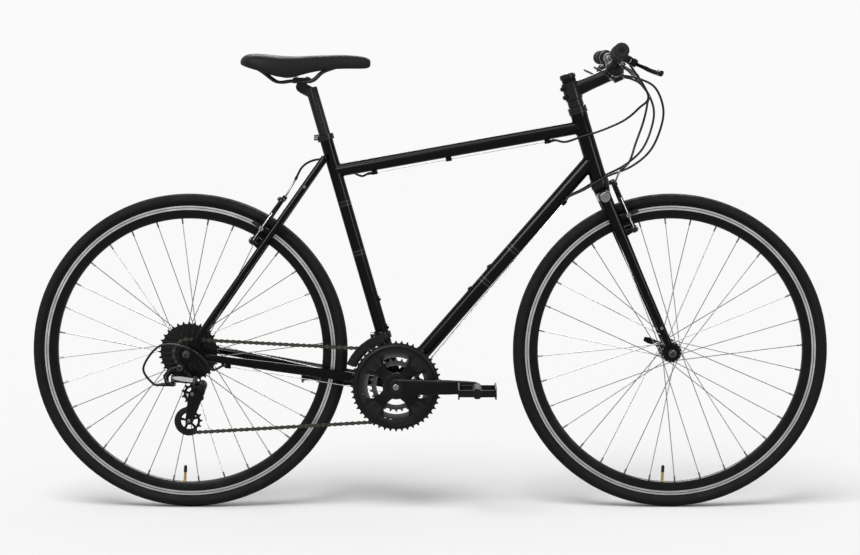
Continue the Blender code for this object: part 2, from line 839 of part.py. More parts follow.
def chainstay_shape():
    """The left chainstay: tall and narrow beside the tyre, round at its foot."""
    high = CHAINSTAY_HEIGHT / 2
    wide = CHAINSTAY_WIDTH / 2
    foot = STAY_FOOT_RADIUS
    radii = [(wide, high), (wide, high), (wide, high * 0.92), (foot * 1.05, foot * 1.25), (foot, foot * 1.1)]
    points = chainstay_route()
    return pipe(points, radii, PIN_SIDES, up=Z)


def dropout_shape(side):
    """A rear dropout plate with a tab to each stay; the right one carries the derailleur hanger."""
    stay_up = (on_seat_tube(SEATSTAY_ON_SEAT_TUBE) - REAR_AXLE).normalized()
    stay_forward = (BOTTOM_BRACKET - REAR_AXLE).normalized()
    y = side * (REAR_HUB_WIDTH + DROPOUT_THICKNESS) / 2
    centre = REAR_AXLE + Y * y
    disc = rod(
        centre - Y * DROPOUT_THICKNESS / 2, centre + Y * DROPOUT_THICKNESS / 2, DROPOUT_RADIUS, 18
    )
    shapes = [disc]
    reach = STAY_FOOT_DISTANCE + 0.012
    for direction, width in ((stay_up, 0.017), (stay_forward, 0.019)):
        shapes.append(block(centre + direction * reach / 2, (reach, DROPOUT_THICKNESS - 0.0006, width), direction, Y))
    between = (stay_up + stay_forward).normalized()
    shapes.append(
        slab(
            [(0.010, -0.016), (0.036, -0.024), (0.040, -0.014), (0.032, 0.0), (0.040, 0.014), (0.036, 0.024), (0.010, 0.016)],
            centre,
            between,
            between.cross(Y),
            DROPOUT_THICKNESS - 0.0012,
        )
    )
    if side < 0:
        bolt = REAR_AXLE + HANGER_BOLT + Y * y
        shapes.append(
            pipe(
                [centre + X * -0.004 - Z * 0.008, centre.lerp(bolt, 0.6), bolt],
                [(0.0125, 0.0028), (0.0105, 0.0028), (0.0105, 0.0028)],
                PIN_SIDES,
                up=Y,
            )
        )
    return joined(shapes)


def boss(surface, outward, radius=BOTTLE_BOSS_RADIUS, height=BOTTLE_BOSS_HEIGHT):
    """A threaded boss on a tube, closed by its bolt."""
    return turned(
        surface,
        outward,
        [(-0.004, radius), (height * 0.5, radius), (height, radius * 0.80)],
        BOLT_SIDES,
    )


def cable_stop(surface, outward, along, length=0.012):
    """A small block that a housing ends in, welded to a tube."""
    return block(surface + outward * 0.0030, (length, 0.0085, 0.0100), along, along.cross(outward))


def frame_lines():
    """The main tubes' ends."""
    head_low = on_steerer(HEAD_BOTTOM + DOWN_TUBE_ABOVE_HEAD_BOTTOM)
    head_high = on_steerer(HEAD_TOP - TOP_TUBE_BELOW_HEAD_TOP)
    seat_high = on_seat_tube(TOP_TUBE_ON_SEAT_TUBE)
    return head_low, head_high, seat_high


def down_tube_direction():
    return (frame_lines()[0] - BOTTOM_BRACKET).normalized()


def top_tube_direction():
    _, head_high, seat_high = frame_lines()
    return (head_high - seat_high).normalized()


def under(direction):
    """The direction square to a tube in the frame's plane, on its lower side."""
    below = direction.cross(Y)
    return below if below.z < 0 else -below


def frame_shape():
    head_low, head_high, seat_high = frame_lines()
    tubes = [
        rod(on_steerer(HEAD_BOTTOM), on_steerer(HEAD_TOP), HEAD_TUBE_RADIUS, LARGE_SIDES),
        rod(BOTTOM_BRACKET, on_seat_tube(SEAT_TUBE_LENGTH), SEAT_TUBE_RADIUS, TUBE_SIDES),
        rod(seat_high, head_high, TOP_TUBE_RADIUS, TUBE_SIDES),
        rod(BOTTOM_BRACKET, head_low, DOWN_TUBE_RADIUS, TUBE_SIDES),
        rod(BOTTOM_BRACKET - Y * SHELL_WIDTH / 2, BOTTOM_BRACKET + Y * SHELL_WIDTH / 2, SHELL_RADIUS, LARGE_SIDES),
    ]
    foot, top = seatstay_line()
    left_stays = [
        pipe([foot, foot.lerp(top, 0.16), top], [STAY_FOOT_RADIUS, SEATSTAY_RADIUS, SEATSTAY_RADIUS], PIN_SIDES),
        chainstay_shape(),
    ]
    stays = left_stays + [mirrored(shape) for shape in left_stays]
    upper = seatstay_at(SEATSTAY_BRIDGE_DISTANCE)
    lower = REAR_AXLE + (BOTTOM_BRACKET - REAR_AXLE).normalized() * CHAINSTAY_BRIDGE_DISTANCE
    lower += Y * (CHAINSTAY_NARROW_Y - 0.002)
    bridges = [
        rod(Vector((upper.x, -upper.y, upper.z)), upper, STAY_BRIDGE_RADIUS, PIN_SIDES),
        rod(Vector((lower.x, -lower.y, lower.z)), lower, STAY_BRIDGE_RADIUS, PIN_SIDES),
    ]
    dropouts = [dropout_shape(1), dropout_shape(-1)]
    fittings = bottle_bosses() + cable_fittings() + rack_eyelets() + rear_brake_studs()
    whole = joined(tubes + stays + bridges + dropouts + fittings)
    bores = [
        rod(on_steerer(HEAD_BOTTOM - 0.01), on_steerer(HEAD_TOP + 0.01), HEAD_TUBE_RADIUS - HEAD_TUBE_WALL, LARGE_SIDES),
        rod(on_seat_tube(SEAT_BORE_BOTTOM), on_seat_tube(SEAT_TUBE_LENGTH + 0.01), SEATPOST_RADIUS + GAP, TUBE_SIDES),
        rod(
            BOTTOM_BRACKET - Y * SHELL_WIDTH,
            BOTTOM_BRACKET + Y * SHELL_WIDTH,
            SHELL_RADIUS - SHELL_WALL,
            LARGE_SIDES,
        ),
        rod(REAR_AXLE - Y * 0.09, REAR_AXLE + Y * 0.09, AXLE_RADIUS + GAP, PIN_SIDES),
    ]
    wires = [
        rod(stop_place(stop, -0.010), stop_place(stop, 0.010), WIRE_BORE_RADIUS, BOLT_SIDES)
        for stop in (*top_tube_stops(), *down_tube_stops(), chainstay_stop())
    ]
    return cut(whole, bores + wires)


def bottle_bosses():
    """Two pairs of bosses inside the main triangle."""
    shapes = []
    down = down_tube_direction()
    for index in range(2):
        distance = DOWN_TUBE_BOSS_DISTANCE + index * BOTTLE_BOSS_SPACING
        shapes.append(boss(BOTTOM_BRACKET + down * distance - under(down) * DOWN_TUBE_RADIUS, -under(down)))
        along = SEAT_TUBE_BOSS_DISTANCE + index * BOTTLE_BOSS_SPACING
        forward = under(SEAT_UP) if under(SEAT_UP).x > 0 else -under(SEAT_UP)
        shapes.append(boss(on_seat_tube(along) + forward * SEAT_TUBE_RADIUS, forward))
    return shapes


def cable_fittings():
    """Housing stops and guides under the top tube, down tube and right chainstay."""
    shapes = []
    for centre, outward, along in (*top_tube_stops(), *down_tube_stops(), chainstay_stop()):
        shapes.append(cable_stop(centre, outward, along))
    return shapes


def top_tube_stops():
    """Places of the rear brake cable's stops: surface point, outward direction and cable direction."""
    along = top_tube_direction()
    outward = under(along)
    _, head_high, seat_high = frame_lines()
    length = (head_high - seat_high).length
    return [
        (seat_high + along * length * share + outward * TOP_TUBE_RADIUS, outward, along)
        for share in TOP_TUBE_STOP_SHARES
    ]


def down_tube_stops():
    """Places of the two shift cables' stops, side by side under the down tube."""
    along = down_tube_direction()
    outward = under(along)
    stops = []
    for side in (-1, 1):
        lean = (outward * math.cos(DOWN_STOP_LEAN) + Y * side * math.sin(DOWN_STOP_LEAN)).normalized()
        centre = BOTTOM_BRACKET + along * DOWN_STOP_DISTANCE + lean * DOWN_TUBE_RADIUS
        stops.append((centre, lean, along))
    return stops


def chainstay_stop():
    """Place of the rear shift cable's last stop, under the right chainstay."""
    knots = chainstay_route()
    place = knots[2].lerp(knots[3], CHAINSTAY_STOP_SHARE)
    place = Vector((place.x, -place.y, place.z))
    along = (knots[3] - knots[2]).normalized()
    along.y = -along.y
    return place - Z * CHAINSTAY_HEIGHT * 0.40, -Z, along


def rack_eyelets():
    """Threaded bosses for a rack: on the seatstays near their top and on the dropouts."""
    shapes = []
    stay = seatstay_at(RACK_BOSS_DISTANCE)
    for side in (-1, 1):
        place = Vector((stay.x, side * stay.y, stay.z)) + Y * side * SEATSTAY_RADIUS * 0.9
        shapes.append(boss(place, Y * side, 0.0050, 0.0030))
    return shapes


def brake_stud(base, outward, reach):
    """A brake pivot stud with its bolt head, standing out from a stay or a blade."""
    arm_low = reach - BRAKE_ARM_DEPTH / 2 - GAP
    arm_high = reach + BRAKE_ARM_DEPTH / 2 + GAP
    return turned(
        base,
        outward,
        [
            (0, 0.0085),
            (arm_low * 0.55, 0.0080),
            (arm_low, 0.0062),
            (arm_low, BRAKE_STUD_RADIUS),
            (arm_high, BRAKE_STUD_RADIUS),
            (arm_high, 0.0065),
            (arm_high + 0.0035, 0.0055),
        ],
        PIN_SIDES,
    )


def rear_brake_axes():
    """The rear studs' foot on the stay's line (left side), their direction, and the way the arms point."""
    foot = seatstay_at(BRAKE_STUD_FROM_AXLE)
    up = (on_seat_tube(SEATSTAY_ON_SEAT_TUBE) - REAR_AXLE).normalized()
    outward = up.cross(Y)
    outward = outward if outward.x < 0 else -outward
    return Vector((foot.x, BRAKE_STUD_Y, foot.z)), outward, up


def rear_brake_studs():
    base, outward, _ = rear_brake_axes()
    stud = brake_stud(base, outward, REAR_STUD_REACH)
    return [stud, mirrored(stud)]


# Fork and headset


def blade_top():
    return on_steerer(-CROWN_DROP)


def blade_up():
    """The way a fork blade points, from the axle to the crown."""
    return (blade_top() - FRONT_AXLE).normalized()


def fork_shape():
    foot_y = (FRONT_HUB_WIDTH + FORK_DROPOUT_THICKNESS) / 2
    foot = FRONT_AXLE + blade_up() * 0.020 + Y * (foot_y + 0.0010)
    top = blade_top() + Y * BLADE_TOP_Y
    blade = pipe(
        [foot, foot.lerp(top, 0.35), top + blade_up() * 0.004],
        [
            (BLADE_FOOT_WIDTH / 2, BLADE_FOOT_DEPTH / 2),
            (BLADE_FOOT_WIDTH / 2 * 1.12, BLADE_FOOT_DEPTH / 2 * 1.15),
            (BLADE_TOP_WIDTH / 2, BLADE_TOP_DEPTH / 2),
        ],
        PIN_SIDES,
        up=blade_up().cross(Y),
    )
    shoulder = BLADE_TOP_Y + BLADE_TOP_WIDTH / 2 * 0.9
    crown = pipe(
        [
            blade_top() - Y * shoulder,
            blade_top() - Y * shoulder * 0.62 + HEAD_UP * 0.001,
            blade_top() + HEAD_UP * 0.003,
            blade_top() + Y * shoulder * 0.62 + HEAD_UP * 0.001,
            blade_top() + Y * shoulder,
        ],
        [CROWN_RADIUS * share for share in (0.70, 0.86, 0.92, 0.86, 0.70)],
        TUBE_SIDES,
    )
    steerer = turned(
        CROWN_RACE,
        HEAD_UP,
        [
            (-CROWN_DROP, CROWN_RADIUS * 0.9),
            (-0.0045, CUP_RADIUS * 0.88),
            (0, CUP_RADIUS * 0.92),
            (0, STEERER_RADIUS),
            (STEM_TOP - 0.003, STEERER_RADIUS),
        ],
        TUBE_SIDES,
    )
    dropout = rod(
        FRONT_AXLE + Y * (FRONT_HUB_WIDTH / 2),
        FRONT_AXLE + Y * (FRONT_HUB_WIDTH / 2 + FORK_DROPOUT_THICKNESS),
        0.0130,
        TUBE_SIDES,
    )
    tab = block(
        FRONT_AXLE + Y * foot_y + blade_up() * 0.014,
        (0.030, FORK_DROPOUT_THICKNESS - 0.0006, 0.015),
        blade_up(),
        Y,
    )
    eyelet = boss(
        FRONT_AXLE + blade_up() * EYELET_DISTANCE + Y * (foot_y + BLADE_FOOT_WIDTH / 2 * 0.9),
        Y,
        0.0045,
        0.0035,
    )
    base, outward, _ = front_brake_axes()
    stud = brake_stud(base, outward, FRONT_STUD_REACH)
    left = [blade, dropout, tab, eyelet, stud]
    whole = joined([crown, steerer, *left, *[mirrored(shape) for shape in left]])
    hole = rod(FRONT_AXLE - Y * 0.08, FRONT_AXLE + Y * 0.08, AXLE_RADIUS + GAP, PIN_SIDES)
    return cut(whole, [hole])


def front_brake_axes():
    """The front studs' foot on the blade's line (left side), their direction, and the way the arms point."""
    up = blade_up()
    foot = FRONT_AXLE + up * BRAKE_STUD_FROM_AXLE
    outward = up.cross(Y)
    outward = outward if outward.x > 0 else -outward
    return foot + Y * BRAKE_STUD_Y, outward, up


def cup_shape(bottom, height, skirt_down):
    """A headset cup whose skirt is pressed into the head tube, bored to clear the steerer."""
    bore = bore_radius(STEERER_RADIUS, LARGE_SIDES)
    skirt = HEAD_TUBE_RADIUS - HEAD_TUBE_WALL - GAP
    outline = [
        (0, bore),
        (height, bore),
        (height, CUP_RADIUS * 0.93),
        (height * 0.8, CUP_RADIUS),
        (height * 0.2, CUP_RADIUS),
        (0, CUP_RADIUS * 0.93),
    ]
    if skirt_down:
        outline = [(-CUP_SKIRT, bore), *outline[1:], (0, skirt), (-CUP_SKIRT, skirt)]
    else:
        outline = [
            (0, bore),
            (height + CUP_SKIRT, bore),
            (height + CUP_SKIRT, skirt),
            (height, skirt),
            *outline[2:],
        ]
    return turned(on_steerer(bottom), HEAD_UP, outline, LARGE_SIDES, closed=True)


def spacer_shape():
    bore = bore_radius(STEERER_RADIUS, TUBE_SIDES)
    groove = SPACER_RADIUS - 0.0008
    outline = [
        (0, bore),
        (SPACER_HEIGHT, bore),
        (SPACER_HEIGHT, SPACER_RADIUS),
        (SPACER_HEIGHT * 0.52, SPACER_RADIUS),
        (SPACER_HEIGHT * 0.50, groove),
        (SPACER_HEIGHT * 0.48, SPACER_RADIUS),
        (0, SPACER_RADIUS),
    ]
    return turned(on_steerer(SPACER_BOTTOM), HEAD_UP, outline, TUBE_SIDES, closed=True)


# Stem, handlebar and grips


def stem_shape():
    """The stem with its steerer clamp, bar clamp with face plate, bolts and top cap."""
    reach = (BAR_CENTRE - STEM_CENTRE).normalized()
    clamp = turned(
        on_steerer(STEM_BOTTOM),
        HEAD_UP,
        [
            (0, STEM_CLAMP_RADIUS),
            (STEM_CLAMP_HEIGHT, STEM_CLAMP_RADIUS),
            (STEM_CLAMP_HEIGHT + 0.001, STEM_CLAMP_RADIUS * 0.82),
            (STEM_CLAMP_HEIGHT + TOP_CAP_HEIGHT * 0.45, STEM_CLAMP_RADIUS * 0.82),
            (STEM_CLAMP_HEIGHT + TOP_CAP_HEIGHT * 0.55, STEM_CLAMP_RADIUS * 0.93),
            (STEM_CLAMP_HEIGHT + TOP_CAP_HEIGHT, STEM_CLAMP_RADIUS * 0.80),
        ],
        LARGE_SIDES,
    )
    body = pipe(
        [STEM_CENTRE, STEM_CENTRE.lerp(BAR_CENTRE, 0.5), BAR_CENTRE - reach * 0.006],
        [
            (STEM_BODY_RADIUS * 1.00, STEM_BODY_RADIUS * 1.15),
            (STEM_BODY_RADIUS * 0.95, STEM_BODY_RADIUS),
            (STEM_BODY_RADIUS * 1.05, STEM_BODY_RADIUS),
        ],
        TUBE_SIDES,
    )
    bar_clamp = rod(
        BAR_CENTRE - Y * BAR_CLAMP_WIDTH / 2, BAR_CENTRE + Y * BAR_CLAMP_WIDTH / 2, BAR_CLAMP_RADIUS, LARGE_SIDES
    )
    upward = Y.cross(reach)
    upward = upward if upward.z > 0 else -upward
    bolts = []
    for side in (-1, 1):
        for level in (-1, 1):
            start = BAR_CENTRE + Y * side * BAR_CLAMP_WIDTH * 0.30 + upward * level * BAR_CLAMP_RADIUS * 0.90
            bolts.append(rod(start - reach * 0.010, start + reach * 0.016, 0.0042, BOLT_SIDES))
    for level in (0.25, 0.75):
        start = on_steerer(STEM_BOTTOM + STEM_CLAMP_HEIGHT * level) - HEAD_FORWARD * (STEM_CLAMP_RADIUS - 0.001)
        bolts.append(rod(start - Y * 0.0130, start + Y * 0.0130, 0.0050, BOLT_SIDES))
    whole = joined([clamp, body, bar_clamp, *bolts])
    bores = [
        rod(on_steerer(STEM_BOTTOM - 0.01), on_steerer(STEM_TOP - 0.001), bore_radius(STEERER_RADIUS, TUBE_SIDES), TUBE_SIDES),
        rod(BAR_CENTRE - Y * 0.05, BAR_CENTRE + Y * 0.05, bore_radius(BAR_RADIUS, TUBE_SIDES), TUBE_SIDES),
    ]
    return cut(whole, bores)


def bar_end(side):
    return BAR_CENTRE + Vector((-BAR_SWEEP, side * BAR_HALF_WIDTH, BAR_RISE))


def bar_shoulder(side):
    """Where the bar's bends end and its straight grip section starts."""
    return BAR_CENTRE + Vector((-BAR_SWEEP * 0.25, side * BAR_BEND_END, BAR_RISE * 0.86))


def bar_point(side, distance):
    """A point on the grip section's axis, by its distance from the middle plane."""
    start = bar_shoulder(side)
    end = bar_end(side)
    return start.lerp(end, (distance - BAR_BEND_END) / (BAR_HALF_WIDTH - BAR_BEND_END))


def grip_direction(side):
    return (bar_end(side) - bar_shoulder(side)).normalized()


def handlebar_shape():
    left = [
        BAR_CENTRE + Vector((0, BAR_BEND_START, 0)),
        BAR_CENTRE + Vector((0, BAR_BEND_START + 0.014, BAR_RISE * 0.06)),
        BAR_CENTRE + Vector((-BAR_SWEEP * 0.10, BAR_BEND_END * 0.60, BAR_RISE * 0.38)),
        BAR_CENTRE + Vector((-BAR_SWEEP * 0.20, BAR_BEND_END * 0.82, BAR_RISE * 0.74)),
        bar_shoulder(1),
        bar_end(1),
    ]
    radii = [BAR_RADIUS, BAR_RADIUS, BAR_RADIUS * 0.97, BAR_RADIUS * 0.92, BAR_END_RADIUS, BAR_END_RADIUS]
    right = [Vector((p.x, -p.y, p.z)) for p in reversed(left)]
    return pipe(right + left, list(reversed(radii)) + radii, TUBE_SIDES, up=X)


def grip_shape(side):
    """A grip with a flange, raised bands and a closed end."""
    direction = grip_direction(side)
    start = bar_end(side) - direction * GRIP_LENGTH
    bore = bore_radius(BAR_END_RADIUS, TUBE_SIDES)
    low = GRIP_RADIUS * 0.93
    outline = [(0, bore), (0, GRIP_RADIUS * 1.12), (0.004, GRIP_RADIUS * 1.12), (0.006, low)]
    bands = 3
    pitch = (GRIP_LENGTH - 0.016) / bands
    for band in range(bands):
        middle = 0.008 + pitch * (band + 0.5)
        outline.append((middle, GRIP_RADIUS))
        outline.append((middle + pitch * 0.5, low))
    outline += [
        (GRIP_LENGTH, GRIP_RADIUS),
        (GRIP_LENGTH + GRIP_END_WALL, GRIP_RADIUS * 0.8),
        (GRIP_LENGTH + GRIP_END_WALL, 0.002),
        (GRIP_LENGTH + GAP, 0.002),
        (GRIP_LENGTH + GAP, bore),
    ]
    return turned(start, direction, outline, TUBE_SIDES, closed=True)


# Brake levers and shifters


def lever_forward():
    """The way a brake lever stands away from the bar: forward and down."""
    return Vector((math.cos(LEVER_DROP), 0, -math.sin(LEVER_DROP)))


def lever_normal():
    """The direction of the brake levers' pivot pins."""
    return Vector((math.sin(LEVER_DROP), 0, math.cos(LEVER_DROP)))


def lever_pivot(side):
    return bar_point(side, LEVER_PIVOT_Y) + lever_forward() * LEVER_PIVOT_REACH


def shift_pivot(side):
    """The middle of a shift lever's eye, under its pod."""
    return bar_point(side, POD_Y) + lever_forward() * 0.012 - lever_normal() * (POD_DROP + 0.0185)


def perch_shape(side):
    """A brake lever bracket with its clamp, ears and pin, and the shifter pod with its gear window."""
    forward = lever_forward()
    normal = lever_normal()
    direction = grip_direction(side)
    middle = bar_point(side, PERCH_Y)
    ring = rod(middle - direction * PERCH_WIDTH / 2, middle + direction * PERCH_WIDTH / 2, PERCH_RADIUS, TUBE_SIDES)
    eye = lever_pivot(side)
    neck_end = LEVER_PIVOT_REACH - LEVER_EYE_RADIUS - 0.0012
    half = LEVER_THICKNESS / 2 + GAP
    ear = 0.0030
    root = bar_point(side, LEVER_PIVOT_Y + 0.006)
    neck = block(
        root + forward * (0.010 + neck_end) / 2, (neck_end - 0.010, 0.026, 2 * (half + ear)), forward, Y
    )
    ears = [
        block(
            eye - forward * 0.004 + normal * level * (half + ear / 2), (0.022, 0.015, ear), forward, Y
        )
        for level in (-1, 1)
    ]
    pin = rod(eye - normal * (half + ear * 0.5), eye + normal * (half + ear * 0.5), LEVER_PIN_RADIUS, PIN_SIDES)
    barrel_start = root + forward * (neck_end - 0.009) - Y * side * 0.010
    barrel = rod(barrel_start, barrel_start - Y * side * BARREL_LENGTH, 0.0052, BOLT_SIDES)
    pod_points = [
        bar_point(side, POD_Y) + forward * 0.006 - normal * POD_DROP - Y * side * 0.024,
        bar_point(side, POD_Y) + forward * 0.008 - normal * POD_DROP - Y * side * 0.010,
        bar_point(side, POD_Y) + forward * 0.008 - normal * POD_DROP + Y * side * 0.014,
        bar_point(side, POD_Y) + forward * 0.006 - normal * (POD_DROP - 0.002) + Y * side * 0.030,
    ]
    pod = pipe(pod_points, [(0.014, 0.009), (0.019, 0.0135), (0.019, 0.0135), (0.013, 0.010)], PIN_SIDES, up=normal)
    bridge = block(
        bar_point(side, PERCH_Y - 0.004) - normal * POD_DROP * 0.55, (0.014, 0.016, POD_DROP), forward, Y
    )
    window = slab(
        [(-0.014, -0.007), (0.014, -0.007), (0.012, 0.007), (-0.012, 0.007)],
        bar_point(side, POD_Y) + forward * 0.019 - normal * (POD_DROP - 0.011),
        Y,
        forward,
        0.0060,
    )
    post_top = bar_point(side, POD_Y) + forward * 0.012 - normal * POD_DROP
    post_end = shift_pivot(side) - normal * 0.0035
    post = rod(post_top, post_end, SHIFT_PIN_RADIUS, BOLT_SIDES)
    post_head = rod(post_end, post_end - normal * 0.0020, 0.0048, BOLT_SIDES)
    shifter_barrel = rod(pod_points[0], pod_points[0] - Y * side * SHIFT_BARREL_LENGTH, 0.0050, BOLT_SIDES)
    whole = joined([ring, neck, *ears, pin, barrel, pod, bridge, window, post, post_head, shifter_barrel])
    bore = rod(middle - direction * 0.03, middle + direction * 0.03, bore_radius(BAR_END_RADIUS, TUBE_SIDES), TUBE_SIDES)
    return cut(whole, [bore])


def brake_lever_shape(side):
    """A brake lever: an eye on its pin, and a blade that bends out to a rounded tip."""
    forward = lever_forward()
    normal = lever_normal()
    eye = lever_pivot(side)
    knuckle = rod(
        eye - normal * LEVER_THICKNESS / 2, eye + normal * LEVER_THICKNESS / 2, LEVER_EYE_RADIUS, 12
    )
    reach = LEVER_PIVOT_REACH
    points = [
        eye + forward * 0.002,
        eye + forward * (LEVER_BLADE_REACH - reach) * 0.55 + Y * side * 0.022,
        eye + forward * (LEVER_BLADE_REACH - reach) + Y * side * 0.052,
        eye + forward * (LEVER_TIP_REACH - reach) * 0.88 + Y * side * (LEVER_TIP_Y - LEVER_PIVOT_Y) * 0.72,
        eye + forward * (LEVER_TIP_REACH - reach) + Y * side * (LEVER_TIP_Y - LEVER_PIVOT_Y - 0.006),
        eye + forward * (LEVER_TIP_REACH - reach + 0.0015) + Y * side * (LEVER_TIP_Y - LEVER_PIVOT_Y),
    ]
    radii = [(0.0050, 0.0038), (0.0042, 0.0038), (0.0034, 0.0052), (0.0032, 0.0058), (0.0050, 0.0060), (0.0030, 0.0036)]
    blade = pipe(points, radii, PIN_SIDES, up=normal)
    whole = joined([knuckle, blade])
    bore = rod(eye - normal * 0.02, eye + normal * 0.02, bore_radius(LEVER_PIN_RADIUS, PIN_SIDES), PIN_SIDES)
    return cut(whole, [bore])


def shift_lever_shape(side):
    """A thumb lever under the shifter pod."""
    forward = lever_forward()
    normal = lever_normal()
    eye = shift_pivot(side)
    knuckle = rod(eye - normal * 0.0025, eye + normal * 0.0025, 0.0075, PIN_SIDES)
    points = [
        eye,
        eye - forward * SHIFT_LEVER_LENGTH * 0.40 + Y * side * 0.012,
        eye - forward * SHIFT_LEVER_LENGTH * 0.72 + Y * side * 0.026,
        eye - forward * SHIFT_LEVER_LENGTH * 0.86 + Y * side * 0.036,
    ]
    paddle = pipe(points, [(0.0050, 0.0020), (0.0050, 0.0020), (0.0075, 0.0024), (0.0060, 0.0022)], BOLT_SIDES, up=normal)
    whole = joined([knuckle, paddle])
    bore = rod(eye - normal * 0.01, eye + normal * 0.01, bore_radius(SHIFT_PIN_RADIUS, PIN_SIDES), PIN_SIDES)
    return cut(whole, [bore])


# Rim brakes


def brake_arm_tip(axes, reach):
    """Where the wire crosses the left arm of a rim brake."""
    base, outward, up = axes
    return base + outward * reach + up * (BRAKE_ARM_LENGTH - 0.005) - Y * 0.0042


def brake_arm_shape(axes, reach, axle, clamp_bolt):
    """The left arm of a rim brake: boss, arm, pad with its post, and the cable's clamp bolt or holder."""
    base, outward, up = axes
    pivot_point = base + outward * reach
    boss_body = rod(
        pivot_point - outward * BRAKE_ARM_DEPTH / 2,
        pivot_point + outward * BRAKE_ARM_DEPTH / 2,
        BRAKE_BOSS_RADIUS,
        PIN_SIDES,
    )
    half_wide = BRAKE_ARM_WIDTH / 2
    half_deep = BRAKE_ARM_DEPTH / 2
    arm = pipe(
        [
            pivot_point,
            pivot_point + up * BRAKE_ARM_LENGTH * 0.30,
            pivot_point + up * BRAKE_ARM_LENGTH * 0.70 - Y * 0.0015,
            pivot_point + up * BRAKE_ARM_LENGTH - Y * 0.0045,
        ],
        [
            (half_wide, half_deep * 0.9),
            (half_wide * 1.05, half_deep * 0.95),
            (half_wide * 0.75, half_deep * 0.75),
            (half_wide * 0.70, half_deep * 0.70),
        ],
        PIN_SIDES,
        up=outward,
    )
    pad_radius = RIM_RADIUS - BRAKE_TRACK_HEIGHT / 2
    rise = math.sqrt(pad_radius**2 - reach**2) - BRAKE_STUD_FROM_AXLE
    level = Vector((base.x, 0, base.z)) + outward * reach + up * rise
    outwards = (level - axle).normalized()
    tangent = outwards.cross(Y)
    pad_y = RIM_WIDTH / 2 + PAD_GAP
    pad = block(
        level + Y * (pad_y + PAD_THICKNESS / 2), (PAD_LENGTH, PAD_THICKNESS, PAD_HEIGHT), tangent, Y
    )
    cup = rod(
        level + Y * (pad_y + PAD_THICKNESS - 0.001), level + Y * (BRAKE_STUD_Y - half_wide + 0.001), 0.0068, PIN_SIDES
    )
    nut = rod(level + Y * (BRAKE_STUD_Y + half_wide - 0.001), level + Y * (BRAKE_STUD_Y + half_wide + 0.006), 0.0060, BOLT_SIDES)
    tip = brake_arm_tip(axes, reach)
    shapes = [boss_body, arm, pad, cup, nut]
    if clamp_bolt:
        shapes.append(rod(tip - outward * 0.0075, tip + outward * 0.0085, 0.0055, BOLT_SIDES))
    else:
        shapes.append(block(tip - Y * 0.001, (0.011, 0.010, 0.012), up, Y))
    whole = joined(shapes)
    bore = rod(base, pivot_point + outward * 0.02, bore_radius(BRAKE_STUD_RADIUS, PIN_SIDES), PIN_SIDES)
    wire = rod(tip - Y * 0.02, tip + Y * 0.02, WIRE_BORE_RADIUS, BOLT_SIDES)
    return cut(whole, [bore, wire])


# Crank, chainrings and cassette


def pitch_radius(teeth):
    return CHAIN_PITCH / (2 * math.sin(math.pi / teeth))


def toothed_plate(teeth, centre, thickness):
    """A flat toothed disc across the bicycle."""
    valley = pitch_radius(teeth) - TOOTH_DEPTH
    tip = pitch_radius(teeth) + TOOTH_HEIGHT
    outline = []
    for index in range(teeth):
        for part, radius in ((0.0, valley), (0.5, tip)):
            angle = 2 * math.pi * (index + part) / teeth
            outline.append((radius * math.cos(angle), radius * math.sin(angle)))
    return slab(outline, centre, X, Z, thickness)


def ring_y(step):
    """How far from the middle plane a chainring lies: -1 is the small one, 0 the middle, 1 the large one."""
    return -(CHAINLINE + step * RING_SPACING)


def chainring_shape(teeth, step, hole):
    centre = BOTTOM_BRACKET + Y * ring_y(step)
    bore = rod(centre - Y * 0.01, centre + Y * 0.01, hole, 20)
    return cut(toothed_plate(teeth, centre, RING_THICKNESS), [bore])


def large_ring_shape():
    """The large chainring with the guard ring that is fixed to its outer face."""
    centre = BOTTOM_BRACKET + Y * ring_y(1)
    low = RING_THICKNESS / 2 - 0.0002
    high = RING_THICKNESS / 2 + CHAIN_GUARD_THICKNESS
    inner = CHAIN_GUARD_RADIUS - CHAIN_GUARD_WIDTH
    guard = turned(
        centre,
        -Y,
        [(low, inner), (high, inner + 0.0015), (high, CHAIN_GUARD_RADIUS - 0.001), (low, CHAIN_GUARD_RADIUS)],
        24,
        closed=True,
    )
    return joined([chainring_shape(LARGE_RING_TEETH, 1, RING_HOLE_RADIUS), guard])


def crank_end(side):
    """The crank arms point forward on the right and back on the left. This is the middle of an arm's end."""
    reach = CRANK_LENGTH if side < 0 else -CRANK_LENGTH
    return BOTTOM_BRACKET + Vector((reach, side * (CRANK_TIP_INNER_Y + CRANK_ARM_THICKNESS / 2), 0))


